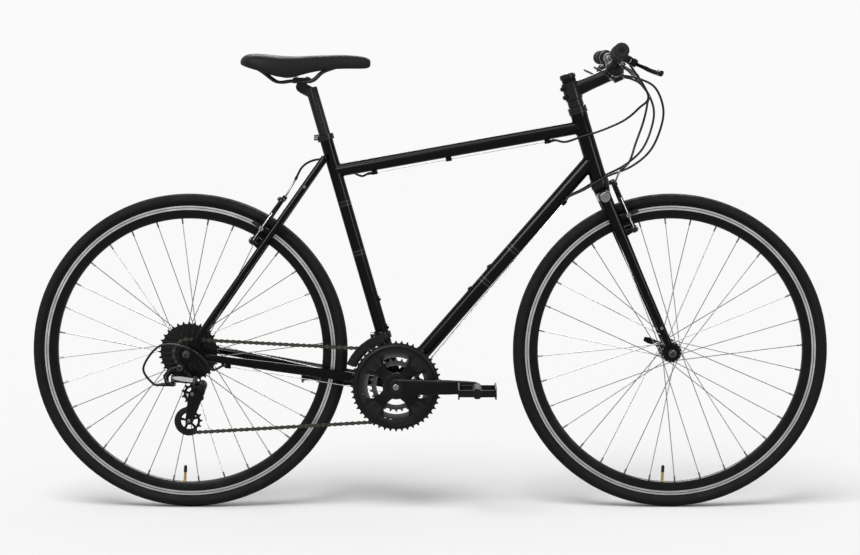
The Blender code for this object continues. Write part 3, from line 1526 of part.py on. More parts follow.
def crank_arm_shapes(side):
    """A crank arm with its boss, bolt and pedal axle, before it is bored for the spindle."""
    root_y = side * (CRANK_ARM_INNER_Y + CRANK_ARM_THICKNESS / 2)
    root = BOTTOM_BRACKET + Y * root_y
    end = crank_end(side)
    half = CRANK_ARM_THICKNESS / 2
    tall = CRANK_ARM_HEIGHT / 2
    arm = pipe(
        [root, root.lerp(end, 0.12), root.lerp(end, 0.85), end],
        [(half, tall * 1.15), (half, tall * 1.05), (half, tall * 0.82), (half, tall * 0.86)],
        TUBE_SIDES,
        up=Z,
    )
    boss_body = turned(
        BOTTOM_BRACKET,
        Y * side,
        [
            (CRANK_BOSS_INNER_Y, CRANK_BOSS_RADIUS * 0.9),
            (CRANK_ARM_INNER_Y + CRANK_ARM_THICKNESS * 0.9, CRANK_BOSS_RADIUS),
            (CRANK_ARM_INNER_Y + CRANK_ARM_THICKNESS + 0.001, CRANK_BOSS_RADIUS * 0.85),
        ],
        LARGE_SIDES,
    )
    bolt = rod(
        BOTTOM_BRACKET + Y * side * (CRANK_ARM_INNER_Y + CRANK_ARM_THICKNESS),
        BOTTOM_BRACKET + Y * side * (CRANK_ARM_INNER_Y + CRANK_ARM_THICKNESS + 0.004),
        CRANK_BOLT_RADIUS,
        BOLT_SIDES,
    )
    eye = rod(end - Y * half, end + Y * half, tall * 0.95, TUBE_SIDES)
    outer = half
    axle = turned(
        end,
        Y * side,
        [
            (outer - 0.002, 0.0085),
            (outer + 0.0035, 0.0085),
            (outer + 0.0035, PEDAL_AXLE_RADIUS),
            (outer + PEDAL_GAP + PEDAL_WIDTH - 0.006, PEDAL_AXLE_RADIUS),
        ],
        PIN_SIDES,
    )
    return [arm, boss_body, bolt, eye, axle]


def crank_right_shape():
    """The right crank arm with its spider and the four posts of the small chainring."""
    shapes = crank_arm_shapes(-1)
    spider_y = (ring_y(0) + ring_y(1)) / 2
    centre = BOTTOM_BRACKET + Y * spider_y
    thickness = RING_SPACING - RING_THICKNESS - 2 * GAP
    small_face = ring_y(-1) - RING_THICKNESS / 2 - GAP
    for index in range(SPIDER_ARMS):
        direction = radial(math.radians(45) + 2 * math.pi * index / SPIDER_ARMS)
        outline = [(0.004, -0.012), (0.030, -0.0095), (SPIDER_RADIUS, -0.0085), (SPIDER_RADIUS, 0.0085), (0.030, 0.0095), (0.004, 0.012)]
        shapes.append(slab(outline, centre, direction, direction.cross(Y), thickness))
        post = BOTTOM_BRACKET + direction * SMALL_BOLT_CIRCLE
        shapes.append(rod(post + Y * spider_y, post + Y * small_face, 0.0050, BOLT_SIDES))
    whole = joined(shapes)
    return cut(whole, [spindle_bore()])


def crank_left_shape():
    return cut(joined(crank_arm_shapes(1)), [spindle_bore()])


def spindle_bore():
    half = SPINDLE_HALF_LENGTH + GAP
    return rod(BOTTOM_BRACKET - Y * half, BOTTOM_BRACKET + Y * half, SPINDLE_RADIUS + GAP, TUBE_SIDES)


def spindle_shape():
    half = SPINDLE_HALF_LENGTH
    return rod(BOTTOM_BRACKET - Y * half, BOTTOM_BRACKET + Y * half, SPINDLE_RADIUS, TUBE_SIDES)


def bottom_bracket_shape():
    """The bearing cartridge in the frame's shell, with a flanged cup at each end."""
    bore = bore_radius(SPINDLE_RADIUS, LARGE_SIDES)
    inside = SHELL_RADIUS - SHELL_WALL - GAP
    face = SHELL_WIDTH / 2 + GAP
    end = face + CUP_FLANGE
    outline = [
        (-end, bore),
        (end, bore),
        (end, SHELL_RADIUS * 0.93),
        (face, SHELL_RADIUS * 0.98),
        (face, inside),
        (-face, inside),
        (-face, SHELL_RADIUS * 0.98),
        (-end, SHELL_RADIUS * 0.93),
    ]
    return turned(BOTTOM_BRACKET, Y, outline, LARGE_SIDES, closed=True)


def pedal_shape(side):
    """A cage pedal: a barrel on the axle, two toothed cage plates and the struts between them."""
    end = crank_end(side)
    start = CRANK_ARM_THICKNESS / 2 + PEDAL_GAP
    middle = end + Y * side * (start + PEDAL_WIDTH / 2)
    barrel = rod(end + Y * side * start, end + Y * side * (start + PEDAL_WIDTH), PEDAL_BARREL_RADIUS, PIN_SIDES)
    plate = 0.0035
    half = PEDAL_HEIGHT / 2
    wide = PEDAL_WIDTH / 2
    shapes = [barrel]
    for way in (-1, 1):
        outline = [
            (-wide * 0.98, -half * 0.55),
            (-wide * 0.75, -half),
            (wide * 0.75, -half),
            (wide * 0.98, -half * 0.55),
            (wide * 0.98, half * 0.55),
            (wide * 0.75, half),
            (-wide * 0.75, half),
            (-wide * 0.98, half * 0.55),
        ]
        shapes.append(slab(outline, middle + X * way * (PEDAL_LENGTH / 2 - plate / 2), Y, Z, plate))
        shapes.append(
            block(middle + Y * way * (wide - 0.006), (PEDAL_LENGTH - plate, 0.005, PEDAL_HEIGHT * 0.55))
        )
    whole = joined(shapes)
    bore = rod(
        end,
        end + Y * side * (start + PEDAL_WIDTH - 0.005),
        bore_radius(PEDAL_AXLE_RADIUS, PIN_SIDES),
        PIN_SIDES,
    )
    return cut(whole, [bore])


def sprocket_y(index):
    return FIRST_SPROCKET_Y + index * SPROCKET_SPACING


def cassette_shape():
    """Eight sprockets on the freehub body, bored for the axle."""
    last = sprocket_y(len(SPROCKET_TEETH) - 1)
    core = rod(REAR_AXLE + Y * CASSETTE_OUTER_Y, REAR_AXLE + Y * (last + 0.0030), FREEHUB_RADIUS, PIN_SIDES)
    sprockets = [
        toothed_plate(teeth, REAR_AXLE + Y * sprocket_y(index), SPROCKET_THICKNESS)
        for index, teeth in enumerate(SPROCKET_TEETH)
    ]
    bore = rod(REAR_AXLE - Y * 0.1, REAR_AXLE, bore_radius(LOCKNUT_RADIUS, PIN_SIDES), PIN_SIDES)
    return cut(joined([core, *sprockets]), [bore])


# Chain


def chain_wheels():
    """The wheels that the chain runs on, in its order: centre, teeth, turning sense, and place across."""
    cog_y = sprocket_y(CHAIN_SPROCKET)
    return [
        (BOTTOM_BRACKET, MIDDLE_RING_TEETH, -1, ring_y(0)),
        (REAR_AXLE + TENSION_PULLEY, TENSION_PULLEY_TEETH, -1, cog_y),
        (REAR_AXLE + GUIDE_PULLEY, GUIDE_PULLEY_TEETH, 1, cog_y),
        (REAR_AXLE, SPROCKET_TEETH[CHAIN_SPROCKET], -1, cog_y),
    ]


def run_direction(first, second):
    """The angle at which the chain runs from one wheel to the next, tangent to both."""
    (start, teeth_a, sense_a, _), (end, teeth_b, sense_b, _) = first, second
    between = end - start
    slip = sense_b * pitch_radius(teeth_b) - sense_a * pitch_radius(teeth_a)
    distance = math.hypot(between.x, between.z)
    return math.atan2(between.z, between.x) - math.asin(slip / distance)


def contact(wheel, direction):
    """Where a chain that runs in a direction touches a wheel."""
    centre, teeth, sense, y = wheel
    offset = Vector((math.sin(direction), 0, -math.cos(direction))) * sense * pitch_radius(teeth)
    return Vector((centre.x + offset.x, y, centre.z + offset.z))


def chain_path():
    """Points close together along the chain's whole loop."""
    wheels = chain_wheels()
    count = len(wheels)
    points = []
    for index in range(count):
        wheel = wheels[index]
        arriving = run_direction(wheels[index - 1], wheel)
        leaving = run_direction(wheel, wheels[(index + 1) % count])
        _, teeth, sense, _ = wheel
        turn = (leaving - arriving) * sense % (2 * math.pi)
        steps = max(2, round(turn * pitch_radius(teeth) / 0.002))
        for step in range(steps):
            points.append(contact(wheel, arriving + sense * turn * step / steps))
        start = contact(wheel, leaving)
        end = contact(wheels[(index + 1) % count], leaving)
        steps = max(2, round((end - start).length / 0.002))
        for step in range(steps):
            share = step / steps
            point = start.lerp(end, share)
            point.y = start.y + (end.y - start.y) * (3 * share**2 - 2 * share**3)
            points.append(point)
    return points


def chain_pins():
    """Equally spaced points round the loop, an even number of them, about one link apart."""
    path = chain_path()
    lengths = [0]
    for index in range(len(path)):
        lengths.append(lengths[-1] + (path[(index + 1) % len(path)] - path[index]).length)
    total = lengths[-1]
    count = 2 * round(total / CHAIN_PITCH / 2)
    pins = []
    place = 0
    for pin in range(count):
        goal = total * pin / count
        while lengths[place + 1] < goal:
            place += 1
        share = (goal - lengths[place]) / (lengths[place + 1] - lengths[place])
        pins.append(path[place].lerp(path[(place + 1) % len(path)], share))
    return pins


def chain_shape():
    """A belt the size of the chain, grooved for the teeth it runs on, with more sections where it bends."""
    pins = chain_pins()
    rings = []
    for index, pin in enumerate(pins):
        ahead = (pins[(index + 1) % len(pins)] - pin).normalized()
        behind = (pin - pins[index - 1]).normalized()
        if ahead.angle(behind) < CHAIN_STRAIGHT_ANGLE and index % 4:
            continue
        along = (ahead + behind).normalized()
        up = along.cross(Y).normalized()
        tall = CHAIN_PLATE_HEIGHT / 2
        wide = CHAIN_WIDTH / 2
        rings.append([pin + up * a * tall + Y * b * wide for a, b in ((-1, -1), (1, -1), (1, 1), (-1, 1))])
    belt = loft(rings, closed=True)
    for centre, teeth, _, y in chain_wheels():
        half = RING_THICKNESS / 2 + CHAIN_GROOVE_SIDE_GAP
        middle = Vector((centre.x, y, centre.z))
        reach = pitch_radius(teeth) + TOOTH_HEIGHT + CHAIN_GROOVE_TIP_GAP
        groove = rod(middle - Y * half, middle + Y * half, reach, 2 * teeth if teeth < 20 else teeth)
        belt = cut(belt, [groove])
    return belt


# Rear derailleur


def link_axis():
    """The direction of the parallelogram's pins: upright, leaning so that the cage drops as it moves in."""
    return Vector((0, math.sin(LINK_SLANT), math.cos(LINK_SLANT)))


def link_pin(place, outer):
    """The middle of a link's eye, at its rear or front place, on the outer or the inner link."""
    return REAR_AXLE + place + Y * (LINK_MIDDLE_Y - (LINK_OFFSET if outer else -LINK_OFFSET))


def link_shape(outer):
    """One link of the rear derailleur's parallelogram; the outer one is the taller."""
    axis = link_axis()
    rear = link_pin(LINK_PIVOT_REAR, outer)
    front = link_pin(LINK_PIVOT_FRONT, outer)
    tall = LINK_EYE_HALF if outer else LINK_EYE_HALF * 0.75
    eyes = [rod(place - axis * tall, place + axis * tall, 0.0046, PIN_SIDES) for place in (rear, front)]
    web = pipe(
        [rear, rear.lerp(front, 0.5), front], [(0.0024, tall), (0.0030, tall * 1.02), (0.0024, tall)], PIN_SIDES, up=axis
    )
    bores = [
        rod(place - axis * 0.02, place + axis * 0.02, bore_radius(LINK_PIN_RADIUS, PIN_SIDES), PIN_SIDES)
        for place in (rear, front)
    ]
    return cut(joined([*eyes, web]), bores)


def knuckle_bar(place):
    """The pins of both links at one end, standing on the bar that joins them, and the bar's middle."""
    axis = link_axis()
    shapes = []
    for outer in (True, False):
        middle = link_pin(place, outer)
        foot = middle - axis * LINK_BAR_DROP
        shapes.append(rod(foot, middle + axis * (LINK_EYE_HALF - 0.001), LINK_PIN_RADIUS, PIN_SIDES))
    across_y = link_pin(place, True) - link_pin(place, False)
    middle = (link_pin(place, True) + link_pin(place, False)) / 2 - axis * LINK_BAR_DROP
    shapes.append(block(middle, (0.0095, across_y.length + 0.009, LINK_BAR_THICKNESS), X, Y))
    return shapes, middle


def b_knuckle_shape():
    """The derailleur's fixed knuckle: hanger bolt, body, cable adjuster and the links' rear pins."""
    shapes, bar = knuckle_bar(LINK_PIVOT_REAR)
    face = -(REAR_HUB_WIDTH / 2 + DROPOUT_THICKNESS) - GAP
    bolt = REAR_AXLE + HANGER_BOLT
    head = turned(
        bolt,
        -Y,
        [(-face, 0.0100), (-face + 0.011, 0.0100), (-face + 0.0125, 0.0075), (-face + 0.0150, 0.0070)],
        TUBE_SIDES,
    )
    neck = pipe(
        [
            bolt + Y * (face - 0.005),
            bolt + Vector((-0.0210, face - 0.0065, -0.0070)),
            bolt + Vector((-0.0310, face - 0.0060, -0.0190)),
            Vector((bar.x - 0.0130, bar.y, bar.z + 0.0035)),
            bar + X * -0.002,
        ],
        [(0.0050, 0.0075), (0.0055, 0.0070), (0.0050, 0.0070), (0.0060, 0.0055), (0.0075, 0.0030)],
        PIN_SIDES,
    )
    adjuster = rod(bar - X * 0.004, Vector((ADJUSTER_END_X, bar.y, bar.z)), 0.0040, PIN_SIDES)
    return joined([*shapes, head, neck, adjuster])


def p_knuckle_shape():
    """The moving knuckle: the links' front pins and the housing of the cage pivot."""
    shapes, bar = knuckle_bar(LINK_PIVOT_FRONT)
    inner = cage_outer_face() - GAP
    pivot_place = REAR_AXLE + CAGE_PIVOT
    bulb = turned(
        pivot_place,
        Y,
        [(inner - 0.021, 0.0070), (inner - 0.018, 0.0105), (inner, 0.0115)],
        TUBE_SIDES,
    )
    neck = block((bar + Vector((pivot_place.x, bar.y, pivot_place.z))) / 2, (0.014, 0.014, 0.006))
    return joined([*shapes, bulb, neck])


def cage_outer_face():
    """How far out the derailleur cage's outer plate reaches."""
    return sprocket_y(CHAIN_SPROCKET) - CAGE_HALF_GAP - CAGE_PLATE


def cage_plate(places, level):
    """One plate of the cage: the outline that wraps a round eye at every place."""
    points = []
    for place, radius in places:
        for i in range(PIN_SIDES):
            spot = place + radial(2 * math.pi * (i + 0.5) / PIN_SIDES) * radius
            points.append(Vector((spot.x, spot.z)))
    outline = [(points[i].x, points[i].y) for i in convex_hull_2d(points)]
    return slab(outline, Y * level, X, Z, CAGE_PLATE)


def cage_shape():
    """Two plates round the pulleys, joined by the pulley bolts; the outer one reaches up to the pivot."""
    y = sprocket_y(CHAIN_SPROCKET)
    guide = REAR_AXLE + GUIDE_PULLEY
    tension = REAR_AXLE + TENSION_PULLEY
    hinge = REAR_AXLE + CAGE_PIVOT
    offset = CAGE_HALF_GAP + CAGE_PLATE / 2
    shapes = [
        cage_plate([(hinge, 0.0110), (guide, 0.0090), (tension, 0.0085)], y - offset),
        cage_plate([(guide, 0.0085), (tension, 0.0085)], y + offset),
    ]
    for place in (guide, tension):
        half = CAGE_HALF_GAP + CAGE_PLATE + 0.0015
        shapes.append(rod(place + Y * (y - half), place + Y * (y + half), PULLEY_PIN_RADIUS, PIN_SIDES))
    return joined(shapes)


def pulley_shape(teeth, place):
    y = sprocket_y(CHAIN_SPROCKET)
    centre = REAR_AXLE + place + Y * y
    hub_half = CAGE_HALF_GAP - GAP
    hub = rod(centre - Y * hub_half, centre + Y * hub_half, 0.0075, PIN_SIDES)
    bore = rod(centre - Y * 0.02, centre + Y * 0.02, bore_radius(PULLEY_PIN_RADIUS, PIN_SIDES), PIN_SIDES)
    return cut(joined([toothed_plate(teeth, centre, PULLEY_THICKNESS), hub]), [bore])


# Front derailleur


def shifter_pin(upper):
    """The front derailleur link's pins: the upper one on the body, the lower one on the cage."""
    clamp = on_seat_tube(FRONT_DERAILLEUR_HEIGHT)
    top = clamp + FRONT_LINK_OFFSET
    return top if upper else top - Z * FRONT_LINK_LENGTH


def front_body_shape():
    """A clamp band round the seat tube with the lug that carries the link's upper pin."""
    clamp = on_seat_tube(FRONT_DERAILLEUR_HEIGHT)
    band = rod(clamp - SEAT_UP * 0.007, clamp + SEAT_UP * 0.007, SEAT_TUBE_RADIUS + 0.0038, LARGE_SIDES)
    pin = shifter_pin(True)
    half = FRONT_EYE_HALF + GAP
    lug = block(pin + X * (half + 0.002), (0.004, FRONT_LUG_SIZE, FRONT_LUG_SIZE))
    arm = pipe(
        [
            clamp + Vector((0.002, -SEAT_TUBE_RADIUS - 0.003, 0)),
            Vector((clamp.x - FRONT_ARM_SETBACK, pin.y + 0.004, pin.z)),
            Vector((pin.x + half + 0.0030, pin.y, pin.z)),
        ],
        [0.0060, 0.0055, 0.0045],
        BOLT_SIDES,
    )
    bolt = rod(clamp + Vector((0, SEAT_TUBE_RADIUS + 0.001, 0)), clamp + Vector((0, SEAT_TUBE_RADIUS + 0.009, 0)), 0.0060, BOLT_SIDES)
    rod_pin = rod(pin - X * (half + 0.0005), pin + X * (half + 0.001), LINK_PIN_RADIUS, PIN_SIDES)
    whole = joined([band, lug, arm, bolt, rod_pin])
    hole = rod(clamp - SEAT_UP * 0.02, clamp + SEAT_UP * 0.02, SEAT_TUBE_RADIUS + GAP, TUBE_SIDES)
    return cut(whole, [hole])


def front_link_shape():
    upper, lower = shifter_pin(True), shifter_pin(False)
    half = FRONT_EYE_HALF
    shapes = [rod(place - X * half, place + X * half, 0.0044, PIN_SIDES) for place in (upper, lower)]
    shapes.append(block((upper + lower) / 2, (2 * half - 0.001, 0.0050, FRONT_LINK_LENGTH)))
    bores = [
        rod(place - X * 0.02, place + X * 0.02, bore_radius(LINK_PIN_RADIUS, PIN_SIDES), PIN_SIDES)
        for place in (upper, lower)
    ]
    return cut(joined(shapes), bores)


def front_cage_notch(inner_y):
    """Room in the inner plate for the body's lug and arm when the cage is all the way in."""
    pin = shifter_pin(True)
    rise = FRONT_LINK_LENGTH * (1 - math.cos(FRONT_SHIFT_ANGLE))
    back = pin.x - FRONT_EYE_HALF - GAP
    front = on_seat_tube(FRONT_DERAILLEUR_HEIGHT).x - FRONT_ARM_SETBACK
    low = pin.z - FRONT_LUG_SIZE / 2 - rise - 2 * GAP
    high = pin.z + FRONT_LUG_SIZE
    middle = Vector(((back + front) / 2, inner_y, (low + high) / 2))
    return block(middle, (front - back, 3 * FRONT_PLATE, high - low))


def front_cage_shape():
    """Two curved plates above the large chainring's teeth, bridged at both ends, with the lower pin's lug."""
    low = pitch_radius(LARGE_RING_TEETH) + TOOTH_HEIGHT + FRONT_CAGE_CLEARANCE
    high = low + FRONT_CAGE_HEIGHT
    start, end = FRONT_CAGE_ANGLES
    steps = 6
    angles = [start + (end - start) * i / steps for i in range(steps + 1)]
    shapes = []
    half = FRONT_CAGE_INNER_WIDTH / 2
    plate = FRONT_PLATE
    for side in (-1, 1):
        drop = 0.0 if side < 0 else FRONT_CAGE_INNER_DROP
        outline = [((low - drop) * math.cos(a), (low - drop) * math.sin(a)) for a in angles]
        outline += [(high * math.cos(a), high * math.sin(a)) for a in reversed(angles)]
        centre = BOTTOM_BRACKET + Y * (ring_y(0) + side * (half + plate / 2))
        shapes.append(slab(outline, centre, X, Z, plate))
    for angle in (angles[0], angles[-1]):
        place = BOTTOM_BRACKET + radial(angle) * (high - 0.0016) + Y * ring_y(0)
        inward = radial(angle).cross(Y)
        way = 1 if angle == angles[0] else -1
        shapes.append(block(place + inward * way * 0.0035, (0.0070, 2 * half + plate, 0.0018), inward, Y))
    pin = shifter_pin(False)
    reach = FRONT_EYE_HALF + GAP
    inner_y = ring_y(0) + half + plate / 2
    lug_x = pin.x - reach - 0.002
    shapes.append(rod(pin - X * (reach + 0.001), pin + X * (reach + 0.0005), LINK_PIN_RADIUS, PIN_SIDES))
    shapes.append(
        block(Vector((lug_x, (pin.y + inner_y) / 2, pin.z)), (0.004, abs(inner_y - pin.y) + 0.010, 0.010))
    )
    return cut(joined(shapes), [front_cage_notch(inner_y)])


# Seat


def saddle_clamp():
    """The middle of the saddle's clamp, which is also the axis that it tilts about."""
    return on_seat_tube(SADDLE_CLAMP_HEIGHT) - X * SADDLE_SETBACK


def seat_clamp_shape():
    """The collar round the top of the seat tube, with its ears and bolt at the back."""
    low = on_seat_tube(SEAT_TUBE_LENGTH - SEAT_COLLAR_HEIGHT)
    outer = SEAT_TUBE_RADIUS + SEAT_COLLAR_WALL
    inner = bore_radius(SEAT_TUBE_RADIUS, TUBE_SIDES)
    top = SEAT_COLLAR_HEIGHT + 0.0015
    ring = turned(
        low, SEAT_UP, [(0, inner), (0, outer), (top - 0.001, outer), (top, outer - 0.001), (top, inner)], LARGE_SIDES, closed=True
    )
    back = SEAT_UP.cross(Y)
    back = back if back.x < 0 else -back
    middle = low + SEAT_UP * SEAT_COLLAR_HEIGHT / 2 + back * (outer + 0.0030)
    ears = block(middle, (0.010, 0.013, SEAT_COLLAR_HEIGHT * 0.75), back, Y)
    bolt = rod(middle + back * 0.001 - Y * 0.0105, middle + back * 0.001 + Y * 0.0105, 0.0038, BOLT_SIDES)
    return joined([ring, ears, bolt])


def seatpost_shape():
    """A straight post whose head is a cradle for the saddle clamp's barrel."""
    clamp = saddle_clamp()
    post = rod(on_seat_tube(SEATPOST_BOTTOM), on_seat_tube(SEATPOST_TOP), SEATPOST_RADIUS, TUBE_SIDES)
    neck = pipe(
        [on_seat_tube(SEATPOST_TOP - 0.014), on_seat_tube(SEATPOST_TOP), clamp - Z * 0.014],
        [0.0120, 0.0126, (0.0140, 0.0150)],
        TUBE_SIDES,
    )
    head = block(clamp - Z * 0.0125, (0.0330, 0.0300, 0.0130), X, Y)
    groove = rod(
        clamp - Y * 0.03, clamp + Y * 0.03, bore_radius(SADDLE_BARREL_RADIUS, LARGE_SIDES), LARGE_SIDES
    )
    return cut(joined([post, neck, head]), [groove])


def rail_knots(side):
    """A saddle rail's centre line on one side, from its rear end to the nose."""
    clamp = saddle_clamp()
    y = side * RAIL_SPACING / 2
    return [
        Vector((-0.3905, y * 1.31, 0.9718)),
        Vector((-0.3620, y * 1.25, 0.9540)),
        Vector((-0.3320, y, clamp.z - 0.0020)),
        Vector((-0.2980, y, clamp.z)),
        Vector((-0.2580, y, clamp.z)),
        Vector((-0.2300, y * 0.85, 0.9560)),
        Vector((-0.1765, y * 0.46, 0.9722)),
    ]


def saddle_rails_shape():
    """Both rails with the clamp's barrel and its top plate."""
    clamp = saddle_clamp()
    half = RAIL_SPACING / 2 + RAIL_RADIUS + 0.0035
    rails = [pipe(rail_knots(side), RAIL_RADIUS, BOLT_SIDES, up=Y) for side in (-1, 1)]
    barrel = rod(clamp - Y * half, clamp + Y * half, SADDLE_BARREL_RADIUS, LARGE_SIDES)
    plate = block(clamp + Z * 0.0095, (0.0300, 2 * half, 0.0050))
    return joined([*rails, barrel, plate])


def saddle_shape():
    """The saddle as one padded shell, with sockets for the rails."""
    rings = []
    for place, half_width, top, edge, skirt, under_side in SADDLE_SECTIONS:
        profile = [
            (0, top),
            (0.55, top - 0.0015),
            (0.90, top - 0.0085),
            (1.0, edge),
            (0.97, skirt + 0.0010),
            (0.84, skirt),
            (0.45, under_side),
        ]
        right = [Vector((place, -share * half_width, z)) for share, z in profile]
        low = Vector((place, 0, under_side))
        left = [Vector((place, share * half_width, z)) for share, z in reversed(profile[1:])]
        rings.append([*right, low, *left])
    sockets = []
    for side in (-1, 1):
        knots = rail_knots(side)
        for start, end in ((knots[1], knots[0]), (knots[-2], knots[-1])):
            beyond = end + (end - start).normalized() * GAP
            sockets.append(rod(start, beyond, bore_radius(RAIL_RADIUS, BOLT_SIDES), BOLT_SIDES))
    shell = loft(rings)
    for socket in sockets:
        shell = cut(shell, [socket])
    return shell


# Cables


def cable_shape(parts):
    """One cable out of parts that follow each other, each a list of points and a radius."""
    points = []
    radii = []
    for places, radius in parts:
        if points:
            ahead = (places[1] - places[0]).normalized()
            places = [points[-1] + ahead * 0.0006, *places[1:]]
        points += places
        radii += [radius] * len(places)
    return pipe(points, radii, CABLE_SIDES)


def stop_place(stop, distance=0.0):
    """A place on the line of the wire through a cable stop, at a distance along it."""
    surface, outward, along = stop
    return surface + outward * CABLE_LIFT + along * distance


def lever_barrel_end(side):
    """Where a brake cable's housing leaves the lever's barrel."""
    root = bar_point(side, LEVER_PIVOT_Y + 0.006)
    neck_end = LEVER_PIVOT_REACH - LEVER_EYE_RADIUS - 0.0012
    return root + lever_forward() * (neck_end - 0.009) - Y * side * (0.010 + BARREL_LENGTH + GAP)


def shift_barrel_end(side):
    """Where a shift cable's housing leaves the pod."""
    pod = bar_point(side, POD_Y) + lever_forward() * 0.006 - lever_normal() * POD_DROP
    return pod - Y * side * (0.024 + SHIFT_BARREL_LENGTH + GAP)


def front_brake_cable_shape():
    """From the left lever down in front of the head tube to the right arm, and across to the left arm."""
    start = lever_barrel_end(1)
    tip = brake_arm_tip(front_brake_axes(), FRONT_STUD_REACH)
    entry = Vector((tip.x, -tip.y - 0.0058, tip.z))
    housing = smooth_route(
        [
            start,
            start - Y * 0.010,
            start - Y * 0.045 + Vector((0.010, 0, -0.006)),
            Vector((0.4745, 0.0350, 0.9120)),
            Vector((0.4718, -0.0060, 0.8844)),
            Vector((0.4600, -0.0400, 0.8450)),
            Vector((0.4430, -0.0560, 0.8010)),
            Vector((0.4290, -0.0640, 0.7620)),
            entry + Vector((0.003, -0.0200, 0.0120)),
            entry + Vector((0.000, -0.0100, 0.0012)),
            entry,
        ],
        HOUSING_STEP,
    )
    wire = [entry, tip + Y * 0.012]
    return cable_shape([(housing, HOUSING_RADIUS), (wire, WIRE_RADIUS)])


def rear_brake_cable_shape():
    """From the right lever to the top tube's stops, past the seat tube and down to the left rear arm."""
    start = lever_barrel_end(-1)
    rear, middle, front = top_tube_stops()
    tip = brake_arm_tip(rear_brake_axes(), REAR_STUD_REACH)
    entry = Vector((tip.x, tip.y + 0.0058, tip.z))
    first = smooth_route(
        [
            start,
            start + Y * 0.010,
            start + Y * 0.035 + Vector((0.010, 0, -0.008)),
            Vector((0.4668, -0.0800, 0.9041)),
            Vector((0.4488, -0.0560, 0.8756)),
            Vector((0.4180, -0.0400, 0.8493)),
            Vector((0.3694, -0.0310, 0.8274)),
            Vector((0.3300, -0.0270, 0.8150)),
            Vector((0.2950, -0.0120, 0.8030)),
            stop_place(front, 0.018),
            stop_place(front, 0.0066),
        ],
        HOUSING_STEP,
    )
    wire = [stop_place(front, 0.0066), stop_place(middle), stop_place(rear, -0.0064)]
    second = smooth_route(
        [
            stop_place(rear, -0.0064),
            stop_place(rear, -0.016),
            Vector((-0.1500, 0.0100, 0.7280)),
            Vector((-0.1720, 0.0210, 0.7370)),
            Vector((-0.1900, 0.0240, 0.7480)),
            Vector((-0.2100, 0.0265, 0.7575)),
            Vector((-0.2400, 0.0345, 0.7635)),
            Vector((-0.2709, 0.0480, 0.7552)),
            Vector((-0.3000, 0.0600, 0.7320)),
            entry + Vector((0.001, 0.0200, 0.0130)),
            entry + Vector((0.000, 0.0100, 0.0012)),
            entry,
        ],
        HOUSING_STEP,
    )
    last = [entry, Vector((tip.x, -tip.y - 0.012, tip.z))]
    return cable_shape(
        [(first, HOUSING_RADIUS), (wire, WIRE_RADIUS), (second, HOUSING_RADIUS), (last, WIRE_RADIUS)]
    )


def round_shell(side, degrees):
    """A place on a shift wire's way round the bottom bracket shell, by its angle from forward."""
    reach = SHELL_RADIUS + SHIFT_WIRE_LIFT
    return BOTTOM_BRACKET + radial(math.radians(degrees)) * reach + Y * side * SHIFT_WIRE_Y


def shift_housing(side):
    """A shift cable's front run, from its pod round in front of the head tube to the down tube's stop."""
    start = shift_barrel_end(side)
    stop = down_tube_stops()[0 if side < 0 else 1]
    back = 0.0 if side < 0 else -0.010
    return smooth_route(
        [
            start,
            start - Y * side * 0.008,
            start - Y * side * 0.020 + Vector((0.016, 0, -0.012)),
            Vector((0.4450, side * 0.0730, 0.9400)),
            Vector((0.4830 + back, side * 0.0660, 0.9200)),
            Vector((0.5018 + back, side * 0.0560, 0.8750)),
            Vector((0.4960 + back, side * 0.0500, 0.8300)),
            Vector((0.4745 + back, side * 0.0440, 0.7837)),
            Vector((0.4350 + back, side * 0.0360, 0.7500)),
            Vector((0.3800, side * 0.0290, 0.7270)),
            Vector((0.3350, side * 0.0240, 0.7000)),
            stop_place(stop, 0.018),
            stop_place(stop, 0.0066),
        ],
        HOUSING_STEP,
    )


def rear_shift_cable_shape():
    """Past the down tube, the bottom bracket and the right chainstay, and round to the derailleur's adjuster."""
    front_stop = down_tube_stops()[0]
    stop = chainstay_stop()
    _, bar = knuckle_bar(LINK_PIVOT_REAR)
    end = Vector((ADJUSTER_END_X - GAP, bar.y, bar.z))
    wire = [
        stop_place(front_stop, 0.0066),
        stop_place(front_stop, -0.010),
        *[round_shell(-1, degrees) for degrees in (-48, -74, -100)],
        stop_place(stop, -0.012),
        stop_place(stop, 0.0068),
    ]
    loop = smooth_route(
        [
            stop_place(stop, 0.0068),
            stop_place(stop, 0.0110),
            Vector((-0.4700, -0.0790, 0.3130)),
            Vector((-0.4860, -0.0875, 0.3370)),
            Vector((-0.5200, -0.0900, 0.3610)),
            Vector((-0.5787, -0.0870, 0.3670)),
            Vector((-0.6162, -0.0860, 0.3190)),
            end + Vector((-0.0160, 0, 0.0020)),
            end,
        ],
        HOUSING_STEP,
    )
    return cable_shape(
        [(shift_housing(-1), HOUSING_RADIUS), (wire, WIRE_RADIUS), (loop, HOUSING_RADIUS)]
    )


def front_shift_cable_shape():
    """Past the down tube and under the bottom bracket, up to the front derailleur's arm."""
    front_stop = down_tube_stops()[1]
    anchor = shifter_pin(True) + Vector((0.0075, 0.0040, -0.0085))
    wire = [
        stop_place(front_stop, 0.0066),
        stop_place(front_stop, -0.010),
        *[round_shell(1, degrees) for degrees in (-48, -74, -100, -128, -156)],
        anchor,
    ]
    return cable_shape([(shift_housing(1), HOUSING_RADIUS), (wire, WIRE_RADIUS)])


